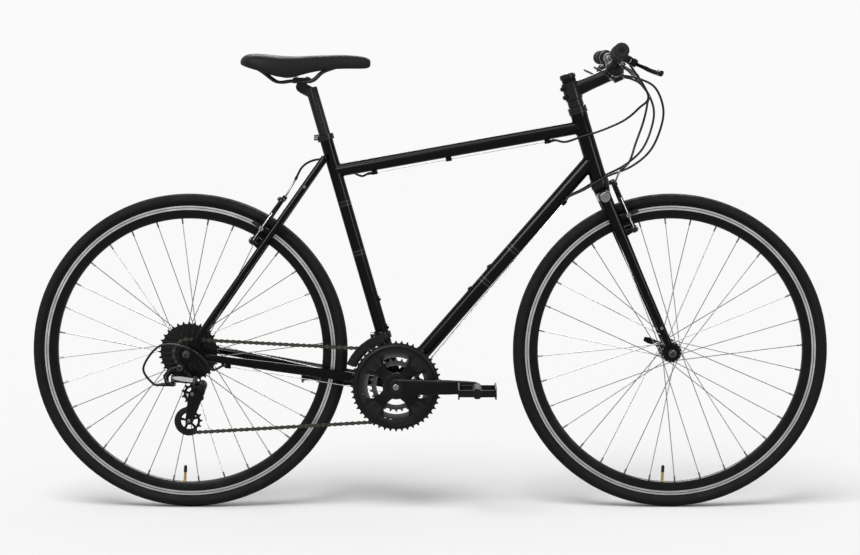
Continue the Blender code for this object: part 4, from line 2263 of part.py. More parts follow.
def main():
    """Builds every piece, each under the empty that its joint turns or slides."""
    clear_scene()
    frame = pivot("frame_carrier", Vector((0, 0, 0)))
    steering = pivot("steering_carrier", CROWN_RACE, frame)
    front_wheel = pivot("front_wheel_carrier", FRONT_AXLE, steering)
    rear_wheel = pivot("rear_wheel_carrier", REAR_AXLE, frame)
    cassette = pivot("cassette_carrier", REAR_AXLE, frame)
    crank = pivot("crank_carrier", BOTTOM_BRACKET, frame)
    seatpost = pivot("seatpost_carrier", on_seat_tube(SEAT_TUBE_LENGTH), frame)
    saddle = pivot("saddle_carrier", saddle_clamp(), seatpost)

    piece("frame", frame_shape(), gloss_black(), frame)
    piece("headset_lower_cup", cup_shape(GAP, LOWER_CUP_HEIGHT, False), satin_black(), frame)
    piece("headset_upper_cup", cup_shape(HEAD_TOP + GAP, UPPER_CUP_HEIGHT, True), satin_black(), frame)
    piece("bottom_bracket", bottom_bracket_shape(), dark_steel(), frame)
    piece("seat_clamp", seat_clamp_shape(), satin_black(), frame)
    piece("chain", chain_shape(), dark_steel(), frame)
    piece("rear_brake_cable", rear_brake_cable_shape(), black_plastic(), frame)
    piece("rear_shift_cable", rear_shift_cable_shape(), black_plastic(), frame)
    piece("front_shift_cable", front_shift_cable_shape(), black_plastic(), frame)

    piece("fork", fork_shape(), gloss_black(), steering)
    piece("headset_spacers", spacer_shape(), satin_black(), steering)
    piece("stem", stem_shape(), satin_black(), steering)
    piece("handlebar", handlebar_shape(), satin_black(), steering)
    piece("front_brake_cable", front_brake_cable_shape(), black_plastic(), steering)

    for name, side in (("right", -1), ("left", 1)):
        piece(f"grip_{name}", grip_shape(side), grey_rubber(), steering)
        piece(f"shifter_{name}", perch_shape(side), black_plastic(), steering)
        brake_lever = pivot(f"brake_lever_{name}_carrier", lever_pivot(side), steering)
        piece(f"brake_lever_{name}", brake_lever_shape(side), satin_black(), brake_lever)
        shift_lever = pivot(f"shift_lever_{name}_carrier", shift_pivot(side), steering)
        piece(f"shift_lever_{name}", shift_lever_shape(side), black_plastic(), shift_lever)
        turning = pivot(f"pedal_{name}_carrier", crank_end(side), crank)
        piece(f"pedal_{name}", pedal_shape(side), black_plastic(), turning)

    for name, carrier, axes, reach, axle, clamp_left in (
        ("front", steering, front_brake_axes(), FRONT_STUD_REACH, FRONT_AXLE, True),
        ("rear", frame, rear_brake_axes(), REAR_STUD_REACH, REAR_AXLE, False),
    ):
        place = axes[0] + axes[1] * reach
        left = pivot(f"{name}_brake_arm_left_carrier", place, carrier)
        right = pivot(f"{name}_brake_arm_right_carrier", Vector((place.x, -place.y, place.z)), carrier)
        shape = brake_arm_shape(axes, reach, axle, clamp_left)
        piece(f"{name}_brake_arm_left", shape, satin_black(), left)
        shape = mirrored(brake_arm_shape(axes, reach, axle, not clamp_left))
        piece(f"{name}_brake_arm_right", shape, satin_black(), right)

    right_end = sprocket_y(len(SPROCKET_TEETH) - 1) + HUB_END_BEHIND_CASSETTE
    for name, wheel, centre, left_y, right_y, shell_radius, hub_right in (
        ("front", front_wheel, FRONT_AXLE, FRONT_FLANGE_Y, -FRONT_FLANGE_Y, FRONT_SHELL_RADIUS, None),
        ("rear", rear_wheel, REAR_AXLE, REAR_LEFT_FLANGE_Y, REAR_RIGHT_FLANGE_Y, REAR_SHELL_RADIUS, right_end),
    ):
        valve = radial(VALVE_ANGLE)
        first = math.radians(2.5 if name == "front" else 3.2)
        hub_left = left_y + HUB_END_LENGTH
        hub_right = -hub_left if hub_right is None else hub_right
        piece(f"{name}_tyre", tyre_shape(centre), black_rubber(), wheel)
        piece(f"{name}_inner_tube", inner_tube_shape(centre, valve), black_rubber(), wheel)
        piece(f"{name}_rim", rim_shape(centre, valve), satin_black(), wheel)
        hub = hub_shape(centre, left_y, right_y, shell_radius, hub_left, hub_right, first)
        piece(f"{name}_hub", hub, dark_steel(), wheel)

    piece("cassette", cassette_shape(), dark_steel(), cassette)
    for name, carrier, centre, width, thickness, left_end, hub_right, angle in (
        (
            "front", steering, FRONT_AXLE, FRONT_HUB_WIDTH, FORK_DROPOUT_THICKNESS,
            FRONT_FLANGE_Y + HUB_END_LENGTH, -FRONT_FLANGE_Y - HUB_END_LENGTH, FRONT_QUICK_LEVER_ANGLE,
        ),
        (
            "rear", frame, REAR_AXLE, REAR_HUB_WIDTH, DROPOUT_THICKNESS,
            REAR_LEFT_FLANGE_Y + HUB_END_LENGTH, CASSETTE_AXLE_END_Y, REAR_QUICK_LEVER_ANGLE,
        ),
    ):
        piece(f"{name}_axle", axle_shape(centre, width, left_end, hub_right, thickness, angle), silver(), carrier)
        lever = pivot(f"{name}_quick_release_carrier", cam_pin_place(centre, width, thickness), carrier)
        piece(f"{name}_quick_release_lever", quick_lever_shape(centre, width, thickness, angle), silver(), lever)

    piece("crank_spindle", spindle_shape(), dark_steel(), crank)
    piece("crank_arm_right", crank_right_shape(), satin_black(), crank)
    piece("crank_arm_left", crank_left_shape(), satin_black(), crank)
    piece("chainring_large", large_ring_shape(), black_plastic(), crank)
    piece("chainring_middle", chainring_shape(MIDDLE_RING_TEETH, 0, RING_HOLE_RADIUS), dark_steel(), crank)
    piece("chainring_small", chainring_shape(SMALL_RING_TEETH, -1, SMALL_RING_HOLE_RADIUS), dark_steel(), crank)

    outer_link = pivot("derailleur_outer_link_carrier", link_pin(LINK_PIVOT_REAR, True), frame)
    inner_link = pivot("derailleur_inner_link_carrier", link_pin(LINK_PIVOT_REAR, False), frame)
    knuckle = pivot("derailleur_knuckle_carrier", link_pin(LINK_PIVOT_FRONT, True), outer_link)
    cage_place = REAR_AXLE + CAGE_PIVOT + Y * cage_outer_face()
    cage = pivot("derailleur_cage_carrier", cage_place, knuckle)
    piece("derailleur_b_knuckle", b_knuckle_shape(), satin_black(), frame)
    piece("derailleur_outer_link", link_shape(True), silver(), outer_link)
    piece("derailleur_inner_link", link_shape(False), satin_black(), inner_link)
    piece("derailleur_p_knuckle", p_knuckle_shape(), black_plastic(), knuckle)
    piece("derailleur_cage", cage_shape(), satin_black(), cage)
    for name, teeth, offset in (
        ("guide_pulley", GUIDE_PULLEY_TEETH, GUIDE_PULLEY),
        ("tension_pulley", TENSION_PULLEY_TEETH, TENSION_PULLEY),
    ):
        wheel = pivot(f"{name}_carrier", REAR_AXLE + offset + Y * sprocket_y(CHAIN_SPROCKET), cage)
        piece(name, pulley_shape(teeth, offset), black_plastic(), wheel)

    shifter_link = pivot("front_derailleur_link_carrier", shifter_pin(True), frame)
    shifter_cage = pivot("front_derailleur_cage_carrier", shifter_pin(False), shifter_link)
    piece("front_derailleur_body", front_body_shape(), satin_black(), frame)
    piece("front_derailleur_link", front_link_shape(), silver(), shifter_link)
    piece("front_derailleur_cage", front_cage_shape(), silver(), shifter_cage)

    piece("seatpost", seatpost_shape(), satin_black(), seatpost)
    piece("saddle_rails", saddle_rails_shape(), dark_steel(), saddle)
    piece("saddle", saddle_shape(), black_rubber(), saddle)


main()
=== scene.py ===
import json
import math

import bmesh
import bpy
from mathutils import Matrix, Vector


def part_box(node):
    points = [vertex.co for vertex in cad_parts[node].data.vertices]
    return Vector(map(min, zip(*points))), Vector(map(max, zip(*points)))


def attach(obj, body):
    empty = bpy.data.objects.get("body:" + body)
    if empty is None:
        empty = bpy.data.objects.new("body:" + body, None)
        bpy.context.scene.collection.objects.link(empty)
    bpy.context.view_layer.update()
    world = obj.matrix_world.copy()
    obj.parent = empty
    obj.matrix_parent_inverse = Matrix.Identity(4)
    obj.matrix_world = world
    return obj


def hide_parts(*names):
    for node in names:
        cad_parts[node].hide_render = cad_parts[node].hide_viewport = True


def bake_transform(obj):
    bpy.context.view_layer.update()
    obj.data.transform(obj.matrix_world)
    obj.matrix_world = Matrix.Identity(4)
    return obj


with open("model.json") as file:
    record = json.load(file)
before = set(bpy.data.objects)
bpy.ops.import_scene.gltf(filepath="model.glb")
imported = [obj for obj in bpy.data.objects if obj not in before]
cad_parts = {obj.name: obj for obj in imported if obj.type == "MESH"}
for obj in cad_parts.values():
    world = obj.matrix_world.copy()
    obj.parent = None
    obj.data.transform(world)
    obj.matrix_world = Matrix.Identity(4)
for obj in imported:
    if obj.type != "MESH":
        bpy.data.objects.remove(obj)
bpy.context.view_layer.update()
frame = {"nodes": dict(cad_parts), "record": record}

nodes = frame["nodes"]
bodies = frame["record"]["behaviour"]["bodies"]
bodyOf = {node: body for body, members in bodies.items() for node in members}
print("frame loaded:", len(nodes), "nodes")

# unit vectors: forward, to the left and up
ex, ey, ez = Vector((1, 0, 0)), Vector((0, 1, 0)), Vector((0, 0, 1))

# the places every piece is set out from, in metres, as the part's source works them out
bike = {
    "frontAxle": Vector((0.525, 0, 0.346)),
    "rearAxle": Vector((-0.525, 0, 0.346)),
    "bottomBracket": Vector((-0.073596, 0, 0.2747)),
    "seatUp": Vector((-0.275637, 0, 0.961262)),
    "headUp": Vector((-0.292372, 0, 0.956305)),
    "headForward": Vector((0.956305, 0, 0.292372)),
    "crownRace": Vector((0.372737, 0, 0.702772)),
    "headBottom": 0.0191,
    "headTop": 0.1681,
}


def onSteerer(distance):
    return bike["crownRace"] + bike["headUp"] * distance


def onSeatTube(distance):
    return bike["bottomBracket"] + bike["seatUp"] * distance


def radial(angle):
    return Vector((math.cos(angle), 0, math.sin(angle)))


def flip(point):
    return Vector((point.x, -point.y, point.z))


def mirrorWay(side):
    # what brings a point of the left half to this side
    return (lambda point: point) if side > 0 else flip


def squareTo(direction, forward):
    # square to a tube in the bicycle's own plane, forwards or backwards
    out = direction.cross(ey)
    return out if (out.x > 0) == forward else -out


def under(direction):
    below = direction.cross(ey)
    return below if below.z < 0 else -below


studio = {
    "cameraPlace": (0.054, -4.5, 0.882),
    "sensorWidth": 36,
    "lens": 86.4,
    "tilt": 3.56,
    "shift": (-0.029, -0.0508),
    "background": 0.955,
    "skyStrength": 0.46,
    "floorColour": (0.9, 0.9, 0.9),
    "floorHeight": 0.0018,
    "floorHalf": 30,
    "sunStrength": 2.1,
    "sunAngle": 35,
    "sunTurn": (24, -14),
    "lampAim": (0, 0, 0.5),
    # seen in reflections only; name: place, size, power
    "strips": {
        "keyStrip": ((-1.9, -3, 2.9), (2.8, 1.1), 260),
        "fillStrip": ((2.6, -2.4, 2), (0.9, 1.8), 90),
        "backStrip": ((0.3, 2.8, 2.9), (2.8, 0.9), 160),
    },
}


def addObject(name, data):
    thing = bpy.data.objects.new(name, data)
    bpy.context.scene.collection.objects.link(thing)
    return thing


def newMaterial(name):
    material = bpy.data.materials.new(name)
    material.use_nodes = True
    return material, material.node_tree, material.node_tree.nodes["Principled BSDF"]


def buildCamera():
    camera = bpy.data.cameras.new("camera")
    camera.sensor_width = studio["sensorWidth"]
    camera.lens = studio["lens"]
    camera.shift_x, camera.shift_y = studio["shift"]
    eye = addObject("camera", camera)
    eye.location = studio["cameraPlace"]
    eye.rotation_euler = (math.radians(90 - studio["tilt"]), 0, 0)
    bpy.context.scene.camera = eye
    bpy.context.scene.view_settings.view_transform = "Standard"


def buildFloor():
    mesh = bpy.data.meshes.new("floor")
    half, height = studio["floorHalf"], studio["floorHeight"]
    corners = [(-half, -half, height), (half, -half, height), (half, half, height), (-half, half, height)]
    mesh.from_pydata(corners, [], [(0, 1, 2, 3)])
    floor = addObject("floor", mesh)
    material, _, shader = newMaterial("floorPaper")
    shader.inputs["Base Color"].default_value = (*studio["floorColour"], 1)
    shader.inputs["Roughness"].default_value = 1
    shader.inputs["Specular IOR Level"].default_value = 0
    mesh.materials.append(material)


def buildSky():
    # the camera and reflections meet a bright ground, and everything else is lit by a dimmer sky
    world = bpy.data.worlds.new("studio")
    world.use_nodes = True
    tree = world.node_tree
    background = tree.nodes["Background"]
    background.inputs["Color"].default_value = (1, 1, 1, 1)
    path = tree.nodes.new("ShaderNodeLightPath")
    total = path.outputs["Is Camera Ray"]
    for ray in ("Is Glossy Ray", "Is Transmission Ray"):
        either = tree.nodes.new("ShaderNodeMath")
        either.operation = "MAXIMUM"
        tree.links.new(total, either.inputs[0])
        tree.links.new(path.outputs[ray], either.inputs[1])
        total = either.outputs[0]
    strength = tree.nodes.new("ShaderNodeMapRange")
    strength.inputs["To Min"].default_value = studio["skyStrength"]
    strength.inputs["To Max"].default_value = studio["background"]
    tree.links.new(total, strength.inputs["Value"])
    tree.links.new(strength.outputs["Result"], background.inputs["Strength"])
    bpy.context.scene.world = world


def addLamp(name, kind, power):
    light = bpy.data.lights.new(name, kind)
    light.energy = power
    return light, addObject(name, light)


def buildLamps():
    sun, lamp = addLamp("softSun", "SUN", studio["sunStrength"])
    sun.angle = math.radians(studio["sunAngle"])
    lamp.rotation_euler = [math.radians(turn) for turn in (*studio["sunTurn"], 0)]
    aim = Vector(studio["lampAim"])
    for name, (place, (wide, tall), power) in studio["strips"].items():
        light, lamp = addLamp(name, "AREA", power)
        light.shape = "RECTANGLE"
        light.size, light.size_y = wide, tall
        lamp.location = place
        lamp.visible_diffuse = False
        lamp.rotation_euler = (aim - Vector(place)).to_track_quat("-Z", "Y").to_euler()


buildCamera()
buildFloor()
buildSky()
buildLamps()
print("studio ready")


def newGroup(name, inputs, outputs):
    group = bpy.data.node_groups.new(name, "ShaderNodeTree")
    for label, kind, value in inputs:
        group.interface.new_socket(name=label, in_out="INPUT", socket_type=kind).default_value = value
    for label, kind in outputs:
        group.interface.new_socket(name=label, in_out="OUTPUT", socket_type=kind)
    return group, group.nodes.new("NodeGroupInput"), group.nodes.new("NodeGroupOutput")


def joinNodes(tree, wires):
    # each wire: the node and output that it leaves, the node and input that it enters
    for first, output, second, entry in wires:
        tree.links.new(first.outputs[output], second.inputs[entry])


mixSockets = {"Factor": 0, "A": 6, "B": 7, "Result": 2}  # those of a mix node for colours
mottleRanges = {"ridge": (0.52, 0.62), "rough": (0.3, 0.7)}


def buildMottle():
    # a slow change of tone, worn edges and a fine grain for the bump
    group, source, sink = newGroup(
        "mottle",
        [
            ("Colour A", "NodeSocketColor", (0.1, 0.1, 0.1, 1)),
            ("Colour B", "NodeSocketColor", (0.2, 0.2, 0.2, 1)),
            ("Edge Colour", "NodeSocketColor", (0.3, 0.3, 0.3, 1)),
            ("Edge Amount", "NodeSocketFloat", 0.3),
            ("Tone Scale", "NodeSocketFloat", 30),
            ("Grain Scale", "NodeSocketFloat", 900),
            ("Rough Low", "NodeSocketFloat", 0.3),
            ("Rough High", "NodeSocketFloat", 0.5),
        ],
        [("Colour", "NodeSocketColor"), ("Roughness", "NodeSocketFloat"), ("Grain", "NodeSocketFloat")],
    )
    place, geometry, amount = (
        group.nodes.new(f"ShaderNode{kind}") for kind in ("TexCoord", "NewGeometry", "Math")
    )
    tone, grain, body, edged, ridge, rough = (
        group.nodes.new(f"ShaderNode{kind}") for kind in ("TexNoise", "Mix", "MapRange") for _ in range(2)
    )
    tone.inputs["Detail"].default_value = 5
    grain.inputs["Detail"].default_value = 3
    body.data_type = edged.data_type = "RGBA"
    amount.operation = "MULTIPLY"
    for spread, label in ((ridge, "ridge"), (rough, "rough")):
        spread.inputs["From Min"].default_value, spread.inputs["From Max"].default_value = mottleRanges[label]
    factor, first, second, result = (mixSockets[label] for label in ("Factor", "A", "B", "Result"))
    joinNodes(group, [
        (place, "Object", tone, "Vector"), (source, "Tone Scale", tone, "Scale"),
        (place, "Object", grain, "Vector"), (source, "Grain Scale", grain, "Scale"),
        (tone, "Fac", body, factor), (source, "Colour A", body, first), (source, "Colour B", body, second),
        (geometry, "Pointiness", ridge, "Value"),
        (ridge, "Result", amount, 0), (source, "Edge Amount", amount, 1),
        (amount, 0, edged, factor), (body, result, edged, first), (source, "Edge Colour", edged, second),
        (tone, "Fac", rough, "Value"),
        (source, "Rough Low", rough, "To Min"), (source, "Rough High", rough, "To Max"),
        (edged, result, sink, "Colour"), (rough, "Result", sink, "Roughness"), (grain, "Fac", sink, "Grain"),
    ])
    return group


def buildTurnedLines():
    # fine rings round an axle, as a lathe leaves them
    group, source, sink = newGroup(
        "turnedLines",
        [("Centre", "NodeSocketVector", (0, 0, 0)), ("Line Scale", "NodeSocketFloat", 2500)],
        [("Height", "NodeSocketFloat")],
    )
    place, offset, flat, reach, lines = (
        group.nodes.new(f"ShaderNode{kind}")
        for kind in ("TexCoord", "VectorMath", "VectorMath", "VectorMath", "TexNoise")
    )
    offset.operation, flat.operation, reach.operation = "SUBTRACT", "MULTIPLY", "LENGTH"
    flat.inputs[1].default_value = (1, 0, 1)
    lines.noise_dimensions = "1D"
    lines.inputs["Detail"].default_value = 2
    joinNodes(group, [
        (place, "Object", offset, 0), (source, "Centre", offset, 1), (offset, "Vector", flat, 0),
        (flat, "Vector", reach, 0), (reach, "Value", lines, "W"), (source, "Line Scale", lines, "Scale"),
        (lines, "Fac", sink, "Height"),
    ])
    return group


mottle, turnedLines = buildMottle(), buildTurnedLines()

# name: two colours and the edge's colour (one number is a grey), edge amount, lowest and highest roughness,
# metallic, specular, tone scale, grain scale, depth of the bump
finishes = {
    "framePaint": (0.0016, (0.0028, 0.0028, 0.0033), 0.009, 0.2, 0.14, 0.22, 0, 0.07, 9, 1500, 1e-5),
    "bandPaint": (0.018, 0.026, 0.03, 0.2, 0.16, 0.24, 0, 0.13, 12, 1500, 1e-5),
    "satinAlloy": (
        (0.0026, 0.0026, 0.003), (0.0052, 0.0052, 0.006), 0.045, 0.5, 0.2, 0.32, 0, 0.09, 40, 2200, 3e-5),
    "greyAlloy": (0.11, 0.17, 0.35, 0.5, 0.28, 0.42, 1, 0.5, 50, 2200, 3e-5),
    "silverPaint": ((0.34, 0.34, 0.35), (0.46, 0.46, 0.47), 0.55, 0.3, 0.55, 0.65, 0, 0.1, 60, 2000, 2e-5),
    "darkSteel": (
        (0.008, 0.0076, 0.0072), (0.018, 0.017, 0.016), 0.14, 0.8, 0.28, 0.44, 0.6, 0.2, 90, 1800, 4e-5),
    "chainSteel": (
        (0.01, 0.0088, 0.007), (0.024, 0.021, 0.017), (0.1, 0.09, 0.078), 0.6, 0.34, 0.52, 0.8, 0.25,
        110, 1600, 4e-5),
    "spokeSteel": (0.12, 0.2, 0.3, 0.3, 0.24, 0.38, 1, 0.5, 70, 1600, 1e-5),
    "wireSteel": (0.2, 0.34, 0.5, 0.3, 0.28, 0.42, 1, 0.5, 200, 2600, 5e-5),
    "tyreRubber": (0.003, 0.0062, 0.01, 0.4, 0.66, 0.86, 0, 0.1, 35, 1400, 1e-4),
    "gripRubber": (
        (0.011, 0.011, 0.0115), (0.018, 0.018, 0.019), 0.035, 0.4, 0.66, 0.86, 0, 0.12, 60, 1700, 1.2e-4),
    "saddleSkin": (
        (0.008, 0.008, 0.0085), (0.014, 0.014, 0.015), 0.025, 0.3, 0.52, 0.68, 0, 0.07, 24, 1300, 2e-4),
    "moulded": (0.003, (0.006, 0.006, 0.0065), 0.025, 0.4, 0.34, 0.52, 0, 0.09, 50, 1900, 6e-5),
    "cableSkin": (0.0035, (0.0065, 0.0065, 0.007), 0.02, 0.3, 0.26, 0.4, 0, 0.14, 60, 1500, 3e-5),
    "brass": (
        (0.36, 0.22, 0.08), (0.5, 0.32, 0.13), (0.7, 0.5, 0.25), 0.5, 0.28, 0.42, 1, 0.5, 90, 1800, 3e-5),
    "padRubber": (0.006, 0.011, 0.03, 0.3, 0.6, 0.8, 0, 0.12, 70, 1700, 8e-5),
    "brakeTrack": ((0.26, 0.26, 0.27), (0.36, 0.36, 0.37), 0.5, 0.4, 0.3, 0.42, 1, 0.5, 30, 2400, 6e-5),
}
bumpStrength = 0.6


def tint(colour):
    return (*colour, 1) if isinstance(colour, tuple) else (colour, colour, colour, 1)


def makeFinish(name, values, ringCentre=None):
    first, second, edge, edgeAmount, roughLow, roughHigh, *others = values
    metallic, specular, toneScale, grainScale, depth = others
    material, tree, shader = newMaterial(name)
    group = tree.nodes.new("ShaderNodeGroup")
    group.node_tree = mottle
    settings = {
        "Colour A": tint(first), "Colour B": tint(second), "Edge Colour": tint(edge),
        "Edge Amount": edgeAmount, "Tone Scale": toneScale, "Grain Scale": grainScale,
        "Rough Low": roughLow, "Rough High": roughHigh,
    }
    for label, value in settings.items():
        group.inputs[label].default_value = value
    bump = tree.nodes.new("ShaderNodeBump")
    bump.inputs["Strength"].default_value = bumpStrength
    bump.inputs["Distance"].default_value = depth
    relief = (group, "Grain")
    if ringCentre:
        lines = tree.nodes.new("ShaderNodeGroup")
        lines.node_tree = turnedLines
        lines.inputs["Centre"].default_value = ringCentre
        relief = (lines, "Height")
    joinNodes(tree, [
        (group, "Colour", shader, "Base Color"), (group, "Roughness", shader, "Roughness"),
        (*relief, bump, "Height"), (bump, "Normal", shader, "Normal"),
    ])
    shader.inputs["Metallic"].default_value = metallic
    shader.inputs["Specular IOR Level"].default_value = specular
    return material


look = {name: makeFinish(name, values) for name, values in finishes.items()}
for end in ("front", "rear"):
    look[f"{end}Track"] = makeFinish(f"{end}BrakeTrack", finishes["brakeTrack"], bike[f"{end}Axle"])
print("materials made:", len(look))

making = {
    "smoothAngle": 32,
    "keptAngle": 50,
    "flatAngle": 2,
    "weld": 1e-6,
    "bevelSegments": 2,
    "cornerSteps": 3,
    "beadSteps": 96,
    "beadRipple": (0.16, 3.2),  # height, and steps from one ripple to the next
}


def addPiece(
    name, bm, materials, node, replaced=(), slotName=None, smoothAngle=making["smoothAngle"], bendTo=None,
):
    # rides on the node's body, or with bendTo is left unattached where it was built; slotName is not used
    mesh = bpy.data.meshes.new(name)
    bmesh.ops.recalc_face_normals(bm, faces=bm.faces)
    bm.to_mesh(mesh)
    bm.free()
    for material in materials:
        mesh.materials.append(look[material])
    mesh.shade_smooth()
    mesh.set_sharp_from_angle(angle=math.radians(smoothAngle))
    piece = addObject(name, mesh)
    if bendTo:
        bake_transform(piece)
    else:
        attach(piece, bodyOf[node])
    if replaced:
        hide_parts(*replaced)
    return piece


def addFine(node, bm, *materials, **more):
    # the fine piece that stands for a CAD node
    return addPiece(f"{node}_fine", bm, materials, node, [node], **more)


def circleTurns(count):
    return [2 * math.pi * i / count for i in range(count)]


def skin(bm, rings, closed=False, slot=0, slots=None):
    # faces from ring to ring; slots gives each strip along them its own material
    loops = [[bm.verts.new(point) for point in ring] for ring in rings]
    pairs = list(zip(loops, loops[1:]))
    if closed:
        pairs.append((loops[-1], loops[0]))
    for first, second in pairs:
        count = len(first)
        for i in range(count):
            j = (i + 1) % count
            face = bm.faces.new((first[i], first[j], second[j], second[i]))
            face.material_index = slots[i] if slots else slot
    if not closed:
        for end in (loops[0], list(reversed(loops[-1]))):
            bm.faces.new(end).material_index = slot


def across(direction):
    side = direction.cross(ez)
    if side.length < 1e-4:
        side = direction.cross(ey)
    side.normalize()
    return side, side.cross(direction).normalized()


def sweep(bm, points, radii, sides=24, up=None, slot=0, closed=False, square=1):
    # a radius may be a pair: across, and along the up direction; square under 1 fills the corners out
    rings, side = [], None
    count = len(points)
    for index, point in enumerate(points):
        before = points[index - 1] if closed else points[max(index - 1, 0)]
        after = points[(index + 1) % count] if closed else points[min(index + 1, count - 1)]
        direction = (after - before).normalized()
        if up is not None:
            side = direction.cross(up).normalized()
        elif side is None:
            side = across(direction)[0]
        else:
            side = (side - direction * side.dot(direction)).normalized()
        top = side.cross(direction)
        radius = radii[index] if isinstance(radii, (list, tuple)) else radii
        wide, tall = radius if isinstance(radius, tuple) else (radius, radius)
        ring = []
        for a in circleTurns(sides):
            c, s = (math.copysign(abs(value) ** square, value) for value in (math.cos(a), math.sin(a)))
            ring.append(point + side * wide * c + top * tall * s)
        rings.append(ring)
    skin(bm, rings, closed=closed, slot=slot)


def smoothRoute(knots, radii=None, perSpan=8):
    # a curve through all the knots, with radii that ease from knot to knot
    points, sizes = [], []
    pairs = [r if isinstance(r, tuple) else (r, r) for r in radii] if radii else None
    for index in range(len(knots) - 1):
        before, start = knots[max(index - 1, 0)], knots[index]
        end, after = knots[index + 1], knots[min(index + 2, len(knots) - 1)]
        for i in range(perSpan):
            t = i / perSpan
            points.append(0.5 * (
                2 * start + (end - before) * t + (2 * before - 5 * start + 4 * end - after) * t**2
                + (3 * start - before - 3 * end + after) * t**3
            ))
            if pairs:
                ease = 3 * t**2 - 2 * t**3
                sizes.append(tuple(a + (b - a) * ease for a, b in zip(pairs[index], pairs[index + 1])))
    points.append(knots[-1])
    if pairs:
        sizes.append(pairs[-1])
        return points, sizes
    return points


def sweepRoute(bm, knots, radii, perSpan, sides, **more):
    points, sizes = smoothRoute(knots, radii, perSpan)
    sweep(bm, points, sizes, sides, **more)
    return points


def turned(bm, centre, axis, profile, segments=40, closed=False, slot=0):
    # profile: (place along the axis, radius); closed joins its ends into a hollow ring
    axis = axis.normalized()
    side, top = across(axis)
    outs = [side * math.cos(a) + top * math.sin(a) for a in circleTurns(segments)]
    if closed:
        rings = [[centre + axis * place + out * radius for place, radius in profile] for out in outs]
    else:
        rings = [[centre + axis * place + out * radius for out in outs] for place, radius in profile]
    skin(bm, rings, closed=closed, slot=slot)


def peg(bm, start, end, radius, segments=24, slot=0, chamfer=0.0005):
    length = (end - start).length
    cut = min(chamfer, radius * 0.3, length * 0.3)
    profile = [(0, radius - cut), (cut, radius), (length - cut, radius), (length, radius - cut)]
    turned(bm, start, end - start, profile, segments, slot=slot)


def pegAcross(bm, centre, half, radius, segments=24, **more):
    peg(bm, centre - ey * half, centre + ey * half, radius, segments, **more)


def slab(bm, outline, centre, alongX, alongY, thickness, slot=0, chamfer=0.0004):
    # a flat plate with the edges of both faces broken
    normal = alongX.cross(alongY).normalized()
    middle = Vector((sum(p[0] for p in outline) / len(outline), sum(p[1] for p in outline) / len(outline)))
    half, nowhere = thickness / 2, Vector((0, 0))
    rings = []
    for lift, inset in ((-half, chamfer), (-half + chamfer, 0), (half - chamfer, 0), (half, chamfer)):
        ring = []
        for a, b in outline:
            way = Vector((a, b)) - middle
            spot = Vector((a, b)) - (way.normalized() * inset if way.length > inset else nowhere)
            ring.append(centre + alongX * spot.x + alongY * spot.y + normal * lift)
        rings.append(ring)
    skin(bm, rings, slot=slot)


def block(bm, centre, size, alongX=ex, alongY=ey, slot=0, corner=0.0012):
    # a slab with round corners: its length, its width and its thickness
    wide, deep = size[0] / 2, size[1] / 2
    cut, steps = min(corner, wide * 0.6, deep * 0.6), making["cornerSteps"]
    outline = []
    for quarter, (cornerX, cornerY) in enumerate(((1, 1), (-1, 1), (-1, -1), (1, -1))):
        for step in range(steps + 1):
            a = math.pi / 2 * (quarter + step / steps)
            spot = (cornerX * (wide - cut) + cut * math.cos(a), cornerY * (deep - cut) + cut * math.sin(a))
            outline.append(spot)
    slab(bm, outline, centre, alongX, alongY, size[2], slot, min(0.0006, size[2] * 0.2))


# from a cap head's foot to its socket's floor: share of the radius, share of the height, six-sided or not
capHead = (
    (1, 0, False), (1, 0.8, False), (0.88, 1, False), (0.6, 1, False), (0.52, 0.98, True), (0.52, 0.35, True),
)


def socketHead(bm, place, direction, radius, height, slot=0):
    # a bolt's cap head with its six-sided socket
    direction = direction.normalized()
    side, top = across(direction)
    rings = []
    for reach, level, six in capHead:
        ring = []
        for a in circleTurns(24):
            r = radius * reach
            if six:
                r *= math.cos(math.pi / 6) / math.cos((a + math.pi / 6) % (math.pi / 3) - math.pi / 6)
            ring.append(place + (side * math.cos(a) + top * math.sin(a)) * r + direction * height * level)
        rings.append(ring)
    skin(bm, rings, slot=slot)


def weldBead(bm, start, direction, radius, centre, axis, mainRadius, size=0.0017):
    # a rippled bead where a tube runs into the side of another
    direction, axis = direction.normalized(), axis.normalized()
    side, top = across(direction)
    ripple, spacing = making["beadRipple"]
    points, sizes = [], []
    for step, a in enumerate(circleTurns(making["beadSteps"])):
        origin = start + (side * math.cos(a) + top * math.sin(a)) * radius
        apart = origin - centre
        flatWay = direction - axis * direction.dot(axis)
        flatApart = apart - axis * apart.dot(axis)
        qa, qb = flatWay.dot(flatWay), 2 * flatWay.dot(flatApart)
        qc = flatApart.dot(flatApart) - mainRadius**2
        points.append(origin + direction * (-qb - math.sqrt(max(qb * qb - 4 * qa * qc, 0))) / (2 * qa))
        sizes.append(size * (1 + ripple * math.sin(2 * math.pi * step / spacing)))
    sweep(bm, points, sizes, 8, closed=True)


def keepForm(name, material, bevelWidth):
    # the CAD node's own form, smooth and with its edges rounded
    bm = bmesh.new()
    bm.from_mesh(nodes[name].data)
    bmesh.ops.remove_doubles(bm, verts=bm.verts, dist=making["weld"])
    flat = math.radians(making["flatAngle"])
    bmesh.ops.dissolve_limit(bm, angle_limit=flat, verts=bm.verts, edges=bm.edges)
    for face in bm.faces:
        face.material_index = 0
    piece = addFine(name, bm, material, smoothAngle=making["keptAngle"])
    bevel = piece.modifiers.new("edges", "BEVEL")
    bevel.width = bevelWidth
    bevel.segments = making["bevelSegments"]
    bevel.limit_method = "ANGLE"
    bevel.angle_limit = math.radians(making["keptAngle"])
    bevel.harden_normals = True


